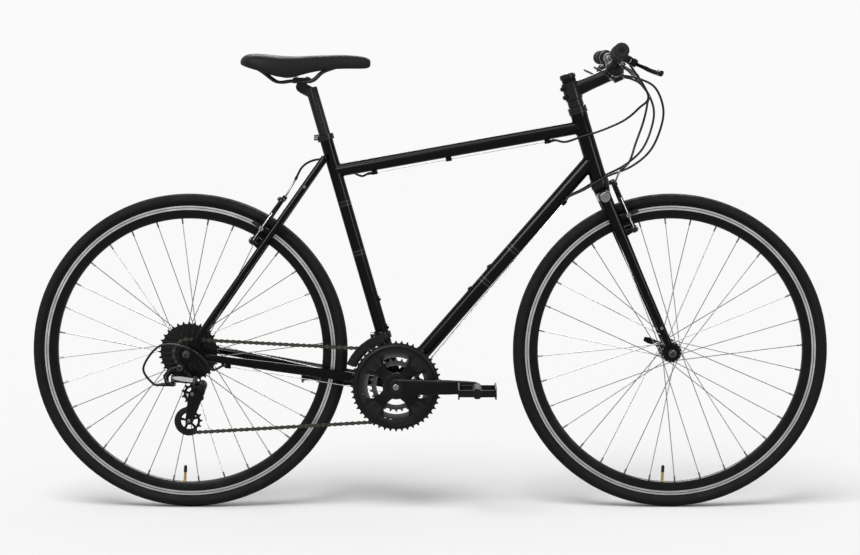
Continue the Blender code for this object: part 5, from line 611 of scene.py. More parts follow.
wheel = {
    "segments": 192,
    "tyreOuter": 0.3441,
    "tyreHalf": 0.0172,
    "tyreSteps": 28,
    "tyreStart": -44,
    "tyreTurn": 268,
    "seamHeight": 0.0004,
    "seamSteps": (11, 12),  # counted from the middle of the tread
    "beadHalf": 0.0092,
    "beadDepth": 0.004,
    "treadHalf": 0.0115,
    "treadMiddle": 0.0045,
    "sipes": 110,
    "sipeDepth": 0.0008,
    "rimOuter": 0.3185,
    "rimInner": 0.2895,
    "rimHalf": 0.0118,
    "trackHeight": 0.0095,
    "grooveDepth": 0.0006,
    "bedDepth": 0.011,
    "spokes": 32,
    "spokeRadius": 0.001,
    "spokeBend": 0.0026,
    "spokeHead": 0.0018,
    "nippleRadius": 0.0019,
    "nippleLength": 0.0125,
    "crossings": 3,
    "flangeHole": 0.0205,
    "flange": 0.0225,
    "flangeHalf": 0.0018,
    "hubBore": 0.0056,
    "hubEnd": 0.0115,
    "hubNeck": 0.0125,
    "valveAngle": math.radians(-93),
    "valveStem": [(0, 0.0042), (0.0022, 0.0042), (0.0026, 0.0029), (0.02, 0.0029), (0.024, 0.0026)],
    "capRibs": 6,
    "capRadius": 0.0037,
    "capValley": 0.0034,
    # end: flanges, shell radius, ends, angle of the first spoke
    "hubs": {
        "front": ((0.034, -0.034), 0.0135, (0.042, -0.042), math.radians(2.5)),
        "rear": ((0.0345, -0.0185), 0.018, (0.0425, -0.0245), math.radians(3.2)),
    },
}


def wheelRings(bm, centre, profile, segments, slots=None, cut=None):
    # a profile of places across and radii, turned round the axle; cut gives how far a point is sunk
    rings = []
    for step, a in enumerate(circleTurns(segments)):
        reaches = [(y, radius - (cut(step, y, radius) if cut else 0)) for y, radius in profile]
        rings.append([centre + radial(a) * reach + ey * y for y, reach in reaches])
    skin(bm, rings, closed=True, slots=slots)


def buildTyre(end, centre):
    bm = bmesh.new()
    middle = (wheel["tyreOuter"] + wheel["rimOuter"]) / 2
    tall, steps, seam = wheel["tyreOuter"] - middle, wheel["tyreSteps"], wheel["seamHeight"]
    profile = []
    for step in range(steps + 1):
        a = math.radians(wheel["tyreStart"] + wheel["tyreTurn"] * step / steps)
        rise = seam if abs(step - steps // 2) in wheel["seamSteps"] else 0
        profile.append(((wheel["tyreHalf"] - seam + rise) * math.cos(a), middle + tall * math.sin(a)))
    profile += [(y, wheel["rimOuter"] - wheel["beadDepth"]) for y in (-wheel["beadHalf"], wheel["beadHalf"])]

    def sipe(step, y, radius):
        shoulder = wheel["treadMiddle"] < abs(y) < wheel["treadHalf"] and radius > middle
        return wheel["sipeDepth"] if shoulder and step % 4 == (0 if y > 0 else 2) else 0

    wheelRings(bm, centre, profile, wheel["sipes"] * 4, cut=sipe)
    addFine(f"{end}_tyre", bm, "tyreRubber")


def buildRim(end, centre):
    bm = bmesh.new()
    outer, inner, half = wheel["rimOuter"], wheel["rimInner"], wheel["rimHalf"]
    low, groove = outer - wheel["trackHeight"], wheel["grooveDepth"]
    right = [
        (half - 0.0015, outer), (half, outer - 0.0007),
        (half, outer - 0.0042), (half - groove, outer - 0.0046), (half - groove, outer - 0.0052),
        (half, outer - 0.0056), (half, low), (half - 0.0007, low - 0.0006),
        (half - 0.003, inner + 0.008), (0.0062, inner + 0.0012), (0.0032, inner),
    ]
    left = [(-y, radius) for y, radius in reversed(right)]
    bed = outer - wheel["bedDepth"]
    hollow = [(-half + 0.002, outer), (-half + 0.0022, bed), (half - 0.0022, bed), (half - 0.002, outer)]
    slots = [0] * (len(right) * 2 + len(hollow))
    for i in (1, 5):  # the two bright bands of each brake track
        slots[i] = slots[2 * len(right) - 2 - i] = 1
    wheelRings(bm, centre, right + left + hollow, wheel["segments"], slots)
    addFine(f"{end}_rim", bm, "satinAlloy", f"{end}Track")


def buildHub(end, centre):
    (left, right), shell, (leftEnd, rightEnd), _ = wheel["hubs"][end]
    bore, hubEnd, neck, reach = (wheel[key] for key in ("hubBore", "hubEnd", "hubNeck", "flange"))
    half, edge = wheel["flangeHalf"], reach - 0.0007
    profile = [(leftEnd, bore), (leftEnd, hubEnd), (left + 0.003, neck)]
    for flange in (left, right):
        profile += [(flange + half, edge), (flange + 0.001, reach)]
        profile += [(flange - 0.001, reach), (flange - half, edge)]
        if flange == left:
            profile += [(left - 0.005, shell), ((left + right) / 2, shell * 0.9), (right + 0.005, shell)]
    profile += [(right - 0.003, neck), (rightEnd, hubEnd), (rightEnd, bore)]
    bm = bmesh.new()
    turned(bm, centre, ey, profile, 56, closed=True)
    addFine(f"{end}_hub", bm, "satinAlloy")


def buildSpokes(end, centre):
    (left, right), _, _, phase = wheel["hubs"][end]
    wires, tips = bmesh.new(), bmesh.new()
    pitch = 2 * math.pi / wheel["spokes"]
    for index in range(wheel["spokes"]):
        flange = left if index % 2 else right
        trailing = 1 if (index // 2) % 2 else -1
        outside = 1 if flange == left else -1
        rimAngle = phase + index * pitch
        hubAngle = rimAngle + trailing * wheel["crossings"] * 2 * pitch
        offset = wheel["spokeBend"] * trailing * outside
        hole = centre + radial(hubAngle) * wheel["flangeHole"] + ey * flange
        start = hole + ey * offset
        tip = centre + radial(rimAngle) * (wheel["rimInner"] + 0.001) + ey * 0.0018 * outside
        way = (tip - start).normalized()
        elbow = [hole - ey * offset * 0.9, hole + ey * offset * 0.6, start + way * 0.0015]
        sweep(wires, [*elbow, start + way * 0.012, tip], wheel["spokeRadius"], 8)
        head = [hole - ey * offset * share for share in (0.8, 1.25)]
        peg(wires, *head, wheel["spokeHead"], 10, chamfer=0.0003)
        foot = tip - way * wheel["nippleLength"]
        peg(tips, tip + way * 0.0005, foot, wheel["nippleRadius"], 8, chamfer=0.0003)
    addPiece(f"{end}_spokes", wires, ["spokeSteel"], f"{end}_hub", slotName="silver")
    addPiece(f"{end}_nipples", tips, ["darkSteel"], f"{end}_hub")


def buildValve(end, centre):
    bm = bmesh.new()
    out = radial(wheel["valveAngle"])
    root = centre + out * (wheel["rimInner"] + 0.001)
    turned(bm, root, -out, wheel["valveStem"], 20)
    cap, valley = wheel["capRadius"], wheel["capValley"]
    ribs = [(0.021, valley)]
    for step in range(wheel["capRibs"]):
        ribs += [(0.0225 + step * 0.0018, cap), (0.0233 + step * 0.0018, valley)]
    turned(bm, root, -out, [*ribs, (0.0345, valley), (0.0362, 0.002)], 20, slot=1)
    addPiece(f"{end}_valve", bm, ["brass", "moulded"], f"{end}_rim", slotName="silver")


for end in ("front", "rear"):
    for build in (buildTyre, buildRim, buildHub, buildSpokes, buildValve):
        build(end, bike[f"{end}Axle"])
print("wheels built")

tubes = {
    # radii
    "seat": 0.0143,
    "top": 0.0143,
    "down": 0.0159,
    "head": 0.0182,
    "headRing": 0.0186,
    "shell": 0.0205,
    "stay": 0.0075,
    "foot": 0.0064,
    "bridge": 0.0065,
    "bridgeEnd": [(0, 0.0066), (0.0012, 0.0082), (0.003, 0.0082)],
    "chainstay": (0.00725, 0.01075),
    # lengths, and places along the tubes and across the bicycle
    "shellHalf": 0.034,
    "seatLength": 0.566,
    "topOnSeat": 0.4835,
    "topBelowHead": 0.029,
    "downAboveHead": 0.047,
    "stayOnSeat": 0.528,
    "stayFootY": 0.0735,
    "stayTopY": 0.0165,
    "stayFoot": 0.04,
    "stayEnd": 0.513,
    "stayBend": (0.04, 0.085, 0.13, 0.513),
    "narrowY": 0.0278,
    "narrowLength": 0.13,
    "upperBridge": 0.372,
    "lowerBridge": 0.385,
    "rackEyelet": 0.44,
    "bottleOnDown": 0.262,
    "bottleOnSeat": 0.125,
    "bottlePitch": 0.064,
    "dropoutY": 0.0705,
    "dropoutDisc": 0.018,
    "dropoutThick": 0.006,
    "hangerBolt": Vector((-0.013, 0, -0.028)),  # from the rear axle
    # cable stops: shares along the top tube, place and turn on the down tube, then their own sizes
    "topStops": (0.153, 0.453, 0.852),
    "downStops": 0.5385,
    "downStopTurn": math.radians(42),
    "stopBlock": (0.012, 0.0085, 0.01),
    "stopLift": 0.0045,
    "stopHalf": 0.0066,
    "stopRadius": 0.0042,
    # tube, and where a double band starts and ends on it
    "bands": (("down", 0.382, 0.395), ("down", 0.29, 0.303), ("seat", 0.404, 0.416), ("seat", 0.292, 0.304)),
    "bandWidth": 0.0042,
    "bandLift": 0.00012,
}
crownDrop = 0.0195
headLow = onSteerer(bike["headBottom"] + tubes["downAboveHead"])
headHigh = onSteerer(bike["headTop"] - tubes["topBelowHead"])
seatHigh = onSeatTube(tubes["topOnSeat"])
stayTop = onSeatTube(tubes["stayOnSeat"])
bladeTop = onSteerer(-crownDrop)
downWay = (headLow - bike["bottomBracket"]).normalized()
topWay = (headHigh - seatHigh).normalized()
stayUp = (stayTop - bike["rearAxle"]).normalized()
stayForward = (bike["bottomBracket"] - bike["rearAxle"]).normalized()
bladeUp = (bladeTop - bike["frontAxle"]).normalized()


def seatstayAt(distance):
    foot = bike["rearAxle"] + stayUp * tubes["stayFoot"] + ey * tubes["stayFootY"]
    full = (stayTop - bike["rearAxle"]).length
    share = (distance - tubes["stayFoot"]) / (full - tubes["stayFoot"])
    return foot.lerp(stayTop + ey * tubes["stayTopY"], share)


def chainstayKnots():
    narrow = bike["bottomBracket"] - stayForward * tubes["narrowLength"]
    foot = bike["rearAxle"] + stayForward * tubes["stayFoot"]
    narrowY, footY = tubes["narrowY"], tubes["stayFootY"]
    return [
        bike["bottomBracket"] - stayForward * 0.0082 + ey * (narrowY - 0.001),
        narrow + ey * narrowY,
        narrow.lerp(foot, 0.45) + ey * (narrowY + footY) * 0.5,
        foot.lerp(narrow, 0.12) + ey * (footY - 0.0035),
        foot + ey * footY,
    ]


brakeStuds = {
    "y": 0.04,
    # end: the way up its stay or blade, the place of its studs, how far they reach, and whether forwards
    "rear": (stayUp, seatstayAt(0.28), 0.024, False),
    "front": (bladeUp, bike["frontAxle"] + bladeUp * 0.28, 0.031, True),
}


def brakeAxes(end):
    # up the arm, out along the stud, the left stud's foot and its reach
    up, foot, reach, forward = brakeStuds[end]
    return up, squareTo(up, forward), Vector((foot.x, brakeStuds["y"], foot.z)), reach


def onBothSides(makePart):
    for side in (1, -1):
        makePart(mirrorWay(side))


def cableStops():
    # each as its place on the tube, its outward way and its way along the tube
    along, below = topWay * (headHigh - seatHigh).length, under(topWay)
    stops = [(seatHigh + along * share + below * tubes["top"], below, topWay) for share in tubes["topStops"]]
    turn = tubes["downStopTurn"]
    for side in (-1, 1):
        out = (under(downWay) * math.cos(turn) + ey * side * math.sin(turn)).normalized()
        place = bike["bottomBracket"] + downWay * tubes["downStops"] + out * tubes["down"]
        stops.append((place, out, downWay))
    knots = chainstayKnots()
    place = flip(knots[2].lerp(knots[3], 0.88)) - ez * tubes["chainstay"][1] * 0.8
    stops.append((place, -ez, flip((knots[3] - knots[2]).normalized())))
    return stops


def stopPlace(stop, distance=0):
    surface, outward, along = stop
    return surface + outward * tubes["stopLift"] + along * distance


def brakeStud(bm, turn, end):
    _, outward, base, reach = brakeAxes(end)
    base = turn(base)
    turned(bm, base, outward, [(0, 0.0085), ((reach - 0.0055) * 0.55, 0.008), (reach - 0.0056, 0.0062)], 32)
    turned(bm, base, outward, [(reach - 0.006, 0.004), (reach + 0.0056, 0.004)], 20)
    washer = [(reach + 0.0054, 0.0064), (reach + 0.0058, 0.0067), (reach + 0.0072, 0.0065)]
    turned(bm, base, outward, washer, 28, slot=1)
    socketHead(bm, base + outward * (reach + 0.0062), outward, 0.0044, 0.0028, 1)


def boss(bm, surface, outward, radius=0.0062, lift=0.0016):
    turned(bm, surface, outward, [(-0.004, radius), (lift * 0.6, radius), (lift, radius - 0.0006)], 28)
    socketHead(bm, surface + outward * (lift - 0.0004), outward, radius * 0.72, 0.0022, 1)


def dropout(bm, side):
    middle = ey * side * tubes["dropoutY"]
    centre, disc, thick = bike["rearAxle"] + middle, tubes["dropoutDisc"], tubes["dropoutThick"]
    slab(bm, [(disc * math.cos(a), disc * math.sin(a)) for a in circleTurns(40)], centre, ex, ez, thick)
    for way, half in ((stayUp, 0.0085), (stayForward, 0.0095)):
        edge = [(0.004, -half), (0.044, -half * 0.84), (0.052, -half * 0.5)]
        tab = edge + [(a, -b) for a, b in reversed(edge)]
        slab(bm, tab, centre, way, way.cross(ey), thick - 0.0006)
    between = (stayUp + stayForward).normalized()
    edge = [(0.01, -0.016), (0.036, -0.024), (0.04, -0.014), (0.034, -0.006)]
    web = [*edge, (0.032, 0), *[(a, -b) for a, b in reversed(edge)]]
    slab(bm, web, centre, between, between.cross(ey), thick - 0.0012)
    if side < 0:
        # the derailleur's hanger
        bolt = bike["rearAxle"] + tubes["hangerBolt"] + middle
        knots = [centre + ex * -0.004 - ez * 0.008, centre.lerp(bolt, 0.6), bolt]
        sweepRoute(bm, knots, [(0.0125, 0.0028), (0.0105, 0.0028), (0.0105, 0.0028)], 6, 24, up=ey)
        turned(bm, bolt, ey, [(-0.0028, 0.01), (-0.0024, 0.0104), (0.0024, 0.0104), (0.0028, 0.01)], 36)


def buildStays(bm, bridges):
    def stays(turn):
        knots = [turn(seatstayAt(place)) for place in tubes["stayBend"]]
        stay, foot, (wide, tall) = tubes["stay"], tubes["foot"], tubes["chainstay"]
        sweepRoute(bm, knots, [foot, stay * 0.97, stay, stay], 6, 32)
        radii = [(wide, tall), (wide, tall), (wide, tall * 0.92)]
        radii += [(foot * 1.05, foot * 1.25), (foot, foot * 1.1)]
        sweepRoute(bm, [turn(knot) for knot in chainstayKnots()], radii, 10, 32, up=ez)
        boss(bm, turn(seatstayAt(tubes["rackEyelet"]) + ey * 0.00675), turn(ey), 0.005)
        brakeStud(bm, turn, "rear")
        low, high = turn(seatstayAt(0.4)), turn(seatstayAt(tubes["stayEnd"]))
        way = (high - low).normalized()
        sweep(bm, [high - way * 0.004, high + way * 0.003, high + way * 0.006], [0.0078, 0.008, 0.005], 28)
        for spot in bridges:
            turned(bm, turn(spot - ey * 0.0095), turn(ey), tubes["bridgeEnd"], 28)

    onBothSides(stays)
    for spot in bridges:
        sweep(bm, [flip(spot), spot], tubes["bridge"], 28)


def buildFittings(bm):
    # bottle bosses, cable stops and the plain double bands
    forward, up = squareTo(bike["seatUp"], True), -under(downWay)
    for reach in (0, tubes["bottlePitch"]):
        spot = bike["bottomBracket"] + downWay * (tubes["bottleOnDown"] + reach)
        boss(bm, spot - under(downWay) * tubes["down"], up)
        boss(bm, onSeatTube(tubes["bottleOnSeat"] + reach) + forward * tubes["seat"], forward)
    for stop in cableStops():
        surface, outward, along = stop
        block(bm, surface + outward * 0.003, tubes["stopBlock"], along, along.cross(outward), corner=0.0024)
        peg(bm, stopPlace(stop, -tubes["stopHalf"]), stopPlace(stop, tubes["stopHalf"]), tubes["stopRadius"])
    for label, start, end in tubes["bands"]:
        way = downWay if label == "down" else bike["seatUp"]
        flat, width = tubes[label], tubes["bandWidth"]
        proud = flat + tubes["bandLift"]
        for near, far in ((start, start + width), (end - width, end)):
            band = [(near, flat), (near, proud), (far, proud), (far, flat)]
            turned(bm, bike["bottomBracket"], way, band, 56, slot=2)


def buildFrame():
    bm = bmesh.new()
    head, ring, shell = (tubes[key] for key in ("head", "headRing", "shell"))
    seat, top, down = (tubes[key] for key in ("seat", "top", "down"))
    low, high, centre, race = (bike[key] for key in ("headBottom", "headTop", "bottomBracket", "crownRace"))
    turned(bm, race, bike["headUp"], [
        (low, head), (low + 0.0004, ring), (low + 0.009, ring), (low + 0.012, head - 0.0002),
        (high - 0.012, head - 0.0002), (high - 0.009, ring), (high - 0.0004, ring), (high, head),
    ], 64)
    sweep(bm, [centre, onSeatTube(tubes["seatLength"] - 0.0008)], seat, 56)
    sweep(bm, [seatHigh, headHigh], top, 56)
    sweep(bm, [centre, headLow], down, 56)
    pegAcross(bm, centre, tubes["shellHalf"], shell, 64)
    lower = bike["rearAxle"] + stayForward * tubes["lowerBridge"] + ey * (tubes["narrowY"] - 0.002)
    buildStays(bm, (seatstayAt(tubes["upperBridge"]), lower))
    for side in (1, -1):
        dropout(bm, side)
    buildFittings(bm)
    weldBead(bm, centre + downWay * 0.1, -downWay, down, centre, ey, shell)
    weldBead(bm, onSeatTube(0.1), -bike["seatUp"], seat, centre, ey, shell)
    weldBead(bm, headLow - downWay * 0.15, downWay, down, race, bike["headUp"], head)
    weldBead(bm, headHigh - topWay * 0.15, topWay, top, race, bike["headUp"], head)
    weldBead(bm, seatHigh + topWay * 0.15, -topWay, top - 0.0002, centre, bike["seatUp"], seat)
    addFine("frame", bm, "framePaint", "greyAlloy", "bandPaint")


buildFrame()
print("frame built")

forkParts = {
    "bladeTopY": 0.04,
    "topHalf": (0.01, 0.014),
    "footHalf": (0.00675, 0.00825),
    "bladeFoot": 0.02,
    "dropoutY": 0.05275,
    "dropoutHalf": 0.00275,
    "dropoutRadius": 0.013,
    "dropoutThick": 0.0048,
    "eyelet": 0.06,
    "crown": 0.0175,
    "crownShares": (0.7, 0.86, 0.92, 0.86, 0.7),
    # the crown's knots: share of the way to the shoulder, and rise
    "crownKnots": ((-1, 0), (-0.62, 0.001), (0, 0.003), (0.62, 0.001), (1, 0)),
    "collar": [(0, 0.0128), (0.007, 0.0128), (0.0076, 0.0121), (0.0076, 0.006)],
    "plug": [(0, 0.0108), (0.0007, 0.0108), (0.0011, 0.0102), (0.0011, 0.004), (0.0008, 0.002)],
    "steerer": [
        (-crownDrop, 0.0158), (-0.0045, 0.018), (-0.001, 0.0188), (0, 0.0186),
        (0.0004, 0.0143), (0.236, 0.0143),
    ],
}


def buildFork():
    bm = bmesh.new()
    axle, topY, dropoutY = bike["frontAxle"], forkParts["bladeTopY"], forkParts["dropoutY"]
    topHalf, footHalf, half = forkParts["topHalf"], forkParts["footHalf"], forkParts["dropoutHalf"]
    footWide, footDeep = footHalf

    def blade(turn):
        foot = axle + bladeUp * forkParts["bladeFoot"] + ey * (dropoutY + 0.001)
        top = bladeTop + ey * topY
        knots = [turn(foot), turn(foot.lerp(top, 0.35)), turn(top + bladeUp * 0.004)]
        radii = [footHalf, (footWide * 1.12, footDeep * 1.15), topHalf]
        sweepRoute(bm, knots, radii, 14, 40, up=bladeUp.cross(ey))
        start, end = (turn(axle + ey * (dropoutY + reach)) for reach in (-half, half))
        peg(bm, start, end, forkParts["dropoutRadius"], 40)
        edge = [(-0.004, -0.0072), (0.026, -0.0072), (0.03, -0.005)]
        tab = edge + [(a, -b) for a, b in reversed(edge)]
        slab(bm, tab, turn(axle + ey * dropoutY), bladeUp, bladeUp.cross(ey), forkParts["dropoutThick"])
        eyelet = axle + bladeUp * forkParts["eyelet"] + ey * (dropoutY + footWide * 0.9)
        boss(bm, turn(eyelet), turn(ey), 0.0045)
        brakeStud(bm, turn, "front")
        turned(bm, turn(bladeTop + ey * (topY + 0.003)), turn(ey), forkParts["collar"], 40)
        turned(bm, turn(bladeTop + ey * (topY + 0.0103)), turn(ey), forkParts["plug"], 40, slot=1)

    onBothSides(blade)
    shoulder = topY + topHalf[0] * 0.9
    up, shares = bike["headUp"], forkParts["crownShares"]
    knots = [bladeTop + ey * shoulder * share + up * rise for share, rise in forkParts["crownKnots"]]
    sweepRoute(bm, knots, [forkParts["crown"] * share for share in shares], 8, 44)
    turned(bm, bike["crownRace"], bike["headUp"], forkParts["steerer"], 48)
    addFine("fork", bm, "framePaint", "greyAlloy")


buildFork()
print("fork built")

drive = {
    "toothValley": 0.0032,
    "toothTip": 0.0022,
    "ringThick": 0.0024,
    "guard": (0.083, 0.0925, 0.0042),  # inner and outer radius, and how far it stands out
    # node: teeth, place across, inner radius, inner radius at the bolts
    "rings": {
        "chainring_large": (48, -0.0554, 0.0735, 0.054),
        "chainring_middle": (38, -0.0478, 0.062, 0.054),
        "chainring_small": (28, -0.0402, 0.043, 0.029),
    },
    "boltCircle": 0.06,
    "smallBoltCircle": 0.0345,
    "boltRadius": 0.0052,
    "spiderArm": (  # reach, half the width
        (0.004, 0.019), (0.024, 0.014), (0.04, 0.0125), (0.054, 0.0165), (0.066, 0.027), (0.0755, 0.0375),
    ),
    "spiderY": -0.0516,
    "spiderThick": 0.0046,
    "crankLength": 0.175,
    "crankRootY": 0.06925,
    "crankTipY": 0.07825,
    # along the crank arm: share of its length, half the height, half the thickness
    "crankShape": (
        (-0.06, 0.012, 0.0045), (0, 0.0172, 0.0062), (0.1, 0.0176, 0.00625), (0.3, 0.0172, 0.00625),
        (0.6, 0.016, 0.00625), (0.86, 0.0142, 0.00625), (0.97, 0.0128, 0.006), (1.045, 0.007, 0.004),
    ),
    "crankEye": [(0.046, 0.015), (0.047, 0.0165), (0.0665, 0.0165), (0.0755, 0.0158), (0.0765, 0.0148)],
    "crankCap": [(0.0755, 0.0092), (0.0772, 0.009), (0.0772, 0.007), (0.0766, 0.0066)],
    "spiderHub": [(-0.0575, 0.02), (-0.056, 0.027), (-0.05, 0.03), (-0.0488, 0.0285)],
    "pedalAxle": [(-0.002, 0.008), (0.0034, 0.008), (0.0036, 0.005), (0.09095, 0.005)],
    "sprockets": (11, 13, 15, 18, 21, 24, 28, 32),
    "firstSprocketY": -0.0625,
    "sprocketStep": 0.0048,
    "sprocketThick": 0.0018,
    "sprocketTwist": 0.11,
    "carrierFrom": 5,  # the sprockets from this one on are open, with arms
    "carrierArms": 7,
    "freehub": (-0.0645, 0.0102, 0.0165),  # outer end, bore and radius
    "pulleyThick": 0.002,
    "pulleyArms": 5,
    "pulleyHub": [(-0.0036, 0.003), (-0.0036, 0.0072), (0.0036, 0.0072), (0.0036, 0.003)],
    "chainSprocket": 2,
    "pitch": 0.0127,
    "chainWidth": 0.0066,
    "plateThick": 0.0009,
    "plateHalf": 0.0042,
    "pinRadius": 0.0017,
    "rollerHalf": 0.0024,
    "rollerRadius": 0.0037,
    "rollerClear": 0.0075,
    "pathStep": 0.002,
    "guidePulley": (11, Vector((0.01, 0, -0.088))),
    "tensionPulley": (13, Vector((0.0026, 0, -0.1469))),
}


def pitchRadius(teeth):
    return drive["pitch"] / 2 / math.sin(math.pi / teeth)


def sprocketY(index):
    return drive["firstSprocketY"] + index * drive["sprocketStep"]


def toothedRing(bm, centre, teeth, thick, inner, phase=0, slot=0):
    # inner is a radius, or a function of the angle
    low, high = pitchRadius(teeth) - drive["toothValley"], pitchRadius(teeth) + drive["toothTip"]
    flank = ((0.3, low), (0.2, low + 0.0016), (0.09, high - 0.0006), (0.045, high))
    shape = [(-0.5, low), *[(-share, radius) for share, radius in flank], *reversed(flank)]
    root, half = low - 0.002, thick / 2
    rings = []
    for tooth in range(teeth):
        for share, radius in shape:
            angle = phase + (tooth + share) * 2 * math.pi / teeth
            hole = inner(angle) if callable(inner) else inner
            edge = half if radius < high - 0.0008 else thick * 0.3
            right = [(hole, half), (root, half), (radius, edge)]
            ring = [(reach, -y) for reach, y in right] + right[::-1]
            rings.append([centre + radial(angle) * reach + ey * y for reach, y in ring])
    skin(bm, rings, closed=True, slot=slot)


def spokedArms(bm, centre, count, turn, start, end, thick):
    # flat arms round an axle; start and end are the reach and half the width there
    for way in (radial(k * 2 * math.pi / count + turn) for k in range(count)):
        (near, nearHalf), (far, farHalf) = start, end
        arm = [(near, -nearHalf), (far, -farHalf), (far, farHalf), (near, nearHalf)]
        slab(bm, arm, centre, way, way.cross(ey), thick, chamfer=0.0003)


def spiderWays():
    return [radial(math.pi / 4 + k * math.pi / 2) for k in range(4)]


def buildGuard(bm, front):
    low, high, proud = drive["guard"]
    turned(bm, bike["bottomBracket"], ey, [
        (front + 0.0002, low), (front - proud * 0.5, low + 0.0002), (front - proud * 0.95, low + 0.0018),
        (front - proud, low + 0.004), (front - proud * 0.8, high - 0.0028),
        (front - proud * 0.3, high - 0.0008), (front + 0.0002, high),
    ], 160, closed=True, slot=1)


def buildChainrings():
    for node, (teeth, y, inner, boltInner) in drive["rings"].items():
        bm = bmesh.new()

        def hole(angle, inner=inner, boltInner=boltInner):
            # the ring grows inwards at its four bolts
            off = abs(angle % (math.pi / 2) - math.pi / 4)
            near = min(1, max(0, (0.3 - off) / 0.14))
            return inner + (boltInner - inner) * near * near * (3 - 2 * near)

        toothedRing(bm, bike["bottomBracket"] + ey * y, teeth, drive["ringThick"], hole)
        if node == "chainring_large":
            buildGuard(bm, y - drive["ringThick"] / 2)
            for way in spiderWays():
                spot = bike["bottomBracket"] + way * drive["boltCircle"]
                peg(bm, spot + ey * (y + 0.001), spot + ey * (y - 0.0028), drive["boltRadius"], slot=1)
        addFine(node, bm, "satinAlloy" if node == "chainring_large" else "darkSteel", "moulded")


def buildCrankArm(side, node):
    bm = bmesh.new()
    centre, outward = bike["bottomBracket"], ey * side
    end = centre + (ex if side < 0 else -ex) * drive["crankLength"] + outward * drive["crankTipY"]
    root = centre + outward * drive["crankRootY"]
    knots = [root.lerp(end, place) for place, _, _ in drive["crankShape"]]
    radii = [(half, tall) for _, tall, half in drive["crankShape"]]
    sweepRoute(bm, knots, radii, 5, 32, up=ez, square=0.55)
    turned(bm, centre, outward, drive["crankEye"], 48)
    turned(bm, centre, outward, drive["crankCap"], 40, slot=1)
    socketHead(bm, centre + outward * 0.076, outward, 0.0064, 0.002, 2)
    turned(bm, end, outward, [(-0.0064, 0.0098), (0.0064, 0.0098), (0.0068, 0.0092)], 36)
    turned(bm, end + outward * 0.00625, outward, drive["pedalAxle"], 24, slot=2)
    if side < 0:
        arm = [(a, -b) for a, b in drive["spiderArm"]] + list(reversed(drive["spiderArm"]))
        for way in spiderWays():
            level = centre + ey * drive["spiderY"]
            slab(bm, arm, level, way, way.cross(ey), drive["spiderThick"], chamfer=0.0012)
            post = centre + way * drive["smallBoltCircle"]
            peg(bm, post + ey * drive["spiderY"], post + ey * -0.0417, 0.005, 20, slot=2)
        turned(bm, centre, ey, drive["spiderHub"], 48)
    addFine(node, bm, "satinAlloy", "moulded", "greyAlloy")


def buildCassette():
    bm = bmesh.new()
    centre, (outer, bore, radius) = bike["rearAxle"], drive["freehub"]
    last = sprocketY(len(drive["sprockets"]) - 1) + 0.003
    shape = [(outer, bore), (outer, radius - 0.0007), (outer + 0.0006, radius), (last, radius), (last, bore)]
    turned(bm, centre, ey, shape, 40, closed=True)
    for index, teeth in enumerate(drive["sprockets"]):
        place, carried = centre + ey * sprocketY(index), index >= drive["carrierFrom"]
        inner = pitchRadius(teeth) - 0.0125 if carried else 0.016
        toothedRing(bm, place, teeth, drive["sprocketThick"], inner, phase=index * drive["sprocketTwist"])
        if carried:
            turn, rim = index * 0.1, (inner + 0.002, 0.0035)
            spokedArms(bm, place, drive["carrierArms"], turn, (0.015, 0.005), rim, 0.0016)
    addFine("cassette", bm, "satinAlloy")


def buildPulley(node, teeth, offset):
    bm = bmesh.new()
    centre = bike["rearAxle"] + offset + ey * sprocketY(drive["chainSprocket"])
    toothedRing(bm, centre, teeth, drive["pulleyThick"], pitchRadius(teeth) - 0.0085)
    turned(bm, centre, ey, drive["pulleyHub"], 32, closed=True)
    rim = (pitchRadius(teeth) - 0.0075, 0.003)
    spokedArms(bm, centre, drive["pulleyArms"], 0.4, (0.006, 0.0022), rim, 0.0019)
    addFine(node, bm, "moulded")


def runDirection(first, second):
    # the way of the straight run of chain that leaves one wheel and meets the next
    (start, teethA, senseA, _), (end, teethB, senseB, _) = first, second
    between = end - start
    slip = senseB * pitchRadius(teethB) - senseA * pitchRadius(teethA)
    return math.atan2(between.z, between.x) - math.asin(slip / math.hypot(between.x, between.z))


def touchPoint(wheelRow, direction):
    centre, teeth, sense, y = wheelRow
    offset = Vector((math.sin(direction), 0, -math.cos(direction))) * sense * pitchRadius(teeth)
    return Vector((centre.x + offset.x, y, centre.z + offset.z))


def chainWheels():
    # every wheel on the chain's way: centre, teeth, sense of turning, place across
    y, axle = sprocketY(drive["chainSprocket"]), bike["rearAxle"]
    ringTeeth, ringY, _, _ = drive["rings"]["chainring_middle"]
    (guideTeeth, guide), (tensionTeeth, tension) = drive["guidePulley"], drive["tensionPulley"]
    return [
        (bike["bottomBracket"], ringTeeth, -1, ringY), (axle + tension, tensionTeeth, -1, y),
        (axle + guide, guideTeeth, 1, y), (axle, drive["sprockets"][drive["chainSprocket"]], -1, y),
    ]


def chainPath(rows):
    path = []
    for index, row in enumerate(rows):
        follower = rows[(index + 1) % len(rows)]
        arriving, leaving = runDirection(rows[index - 1], row), runDirection(row, follower)
        turn = (leaving - arriving) * row[2] % (2 * math.pi)
        steps = max(2, round(turn * pitchRadius(row[1]) / drive["pathStep"]))
        path += [touchPoint(row, arriving + row[2] * turn * step / steps) for step in range(steps)]
        start, end = touchPoint(row, leaving), touchPoint(follower, leaving)
        steps = max(2, round((end - start).length / drive["pathStep"]))
        for step in range(steps):
            share = step / steps
            point = start.lerp(end, share)
            point.y = start.y + (end.y - start.y) * (3 * share**2 - 2 * share**3)
            path.append(point)
    return path


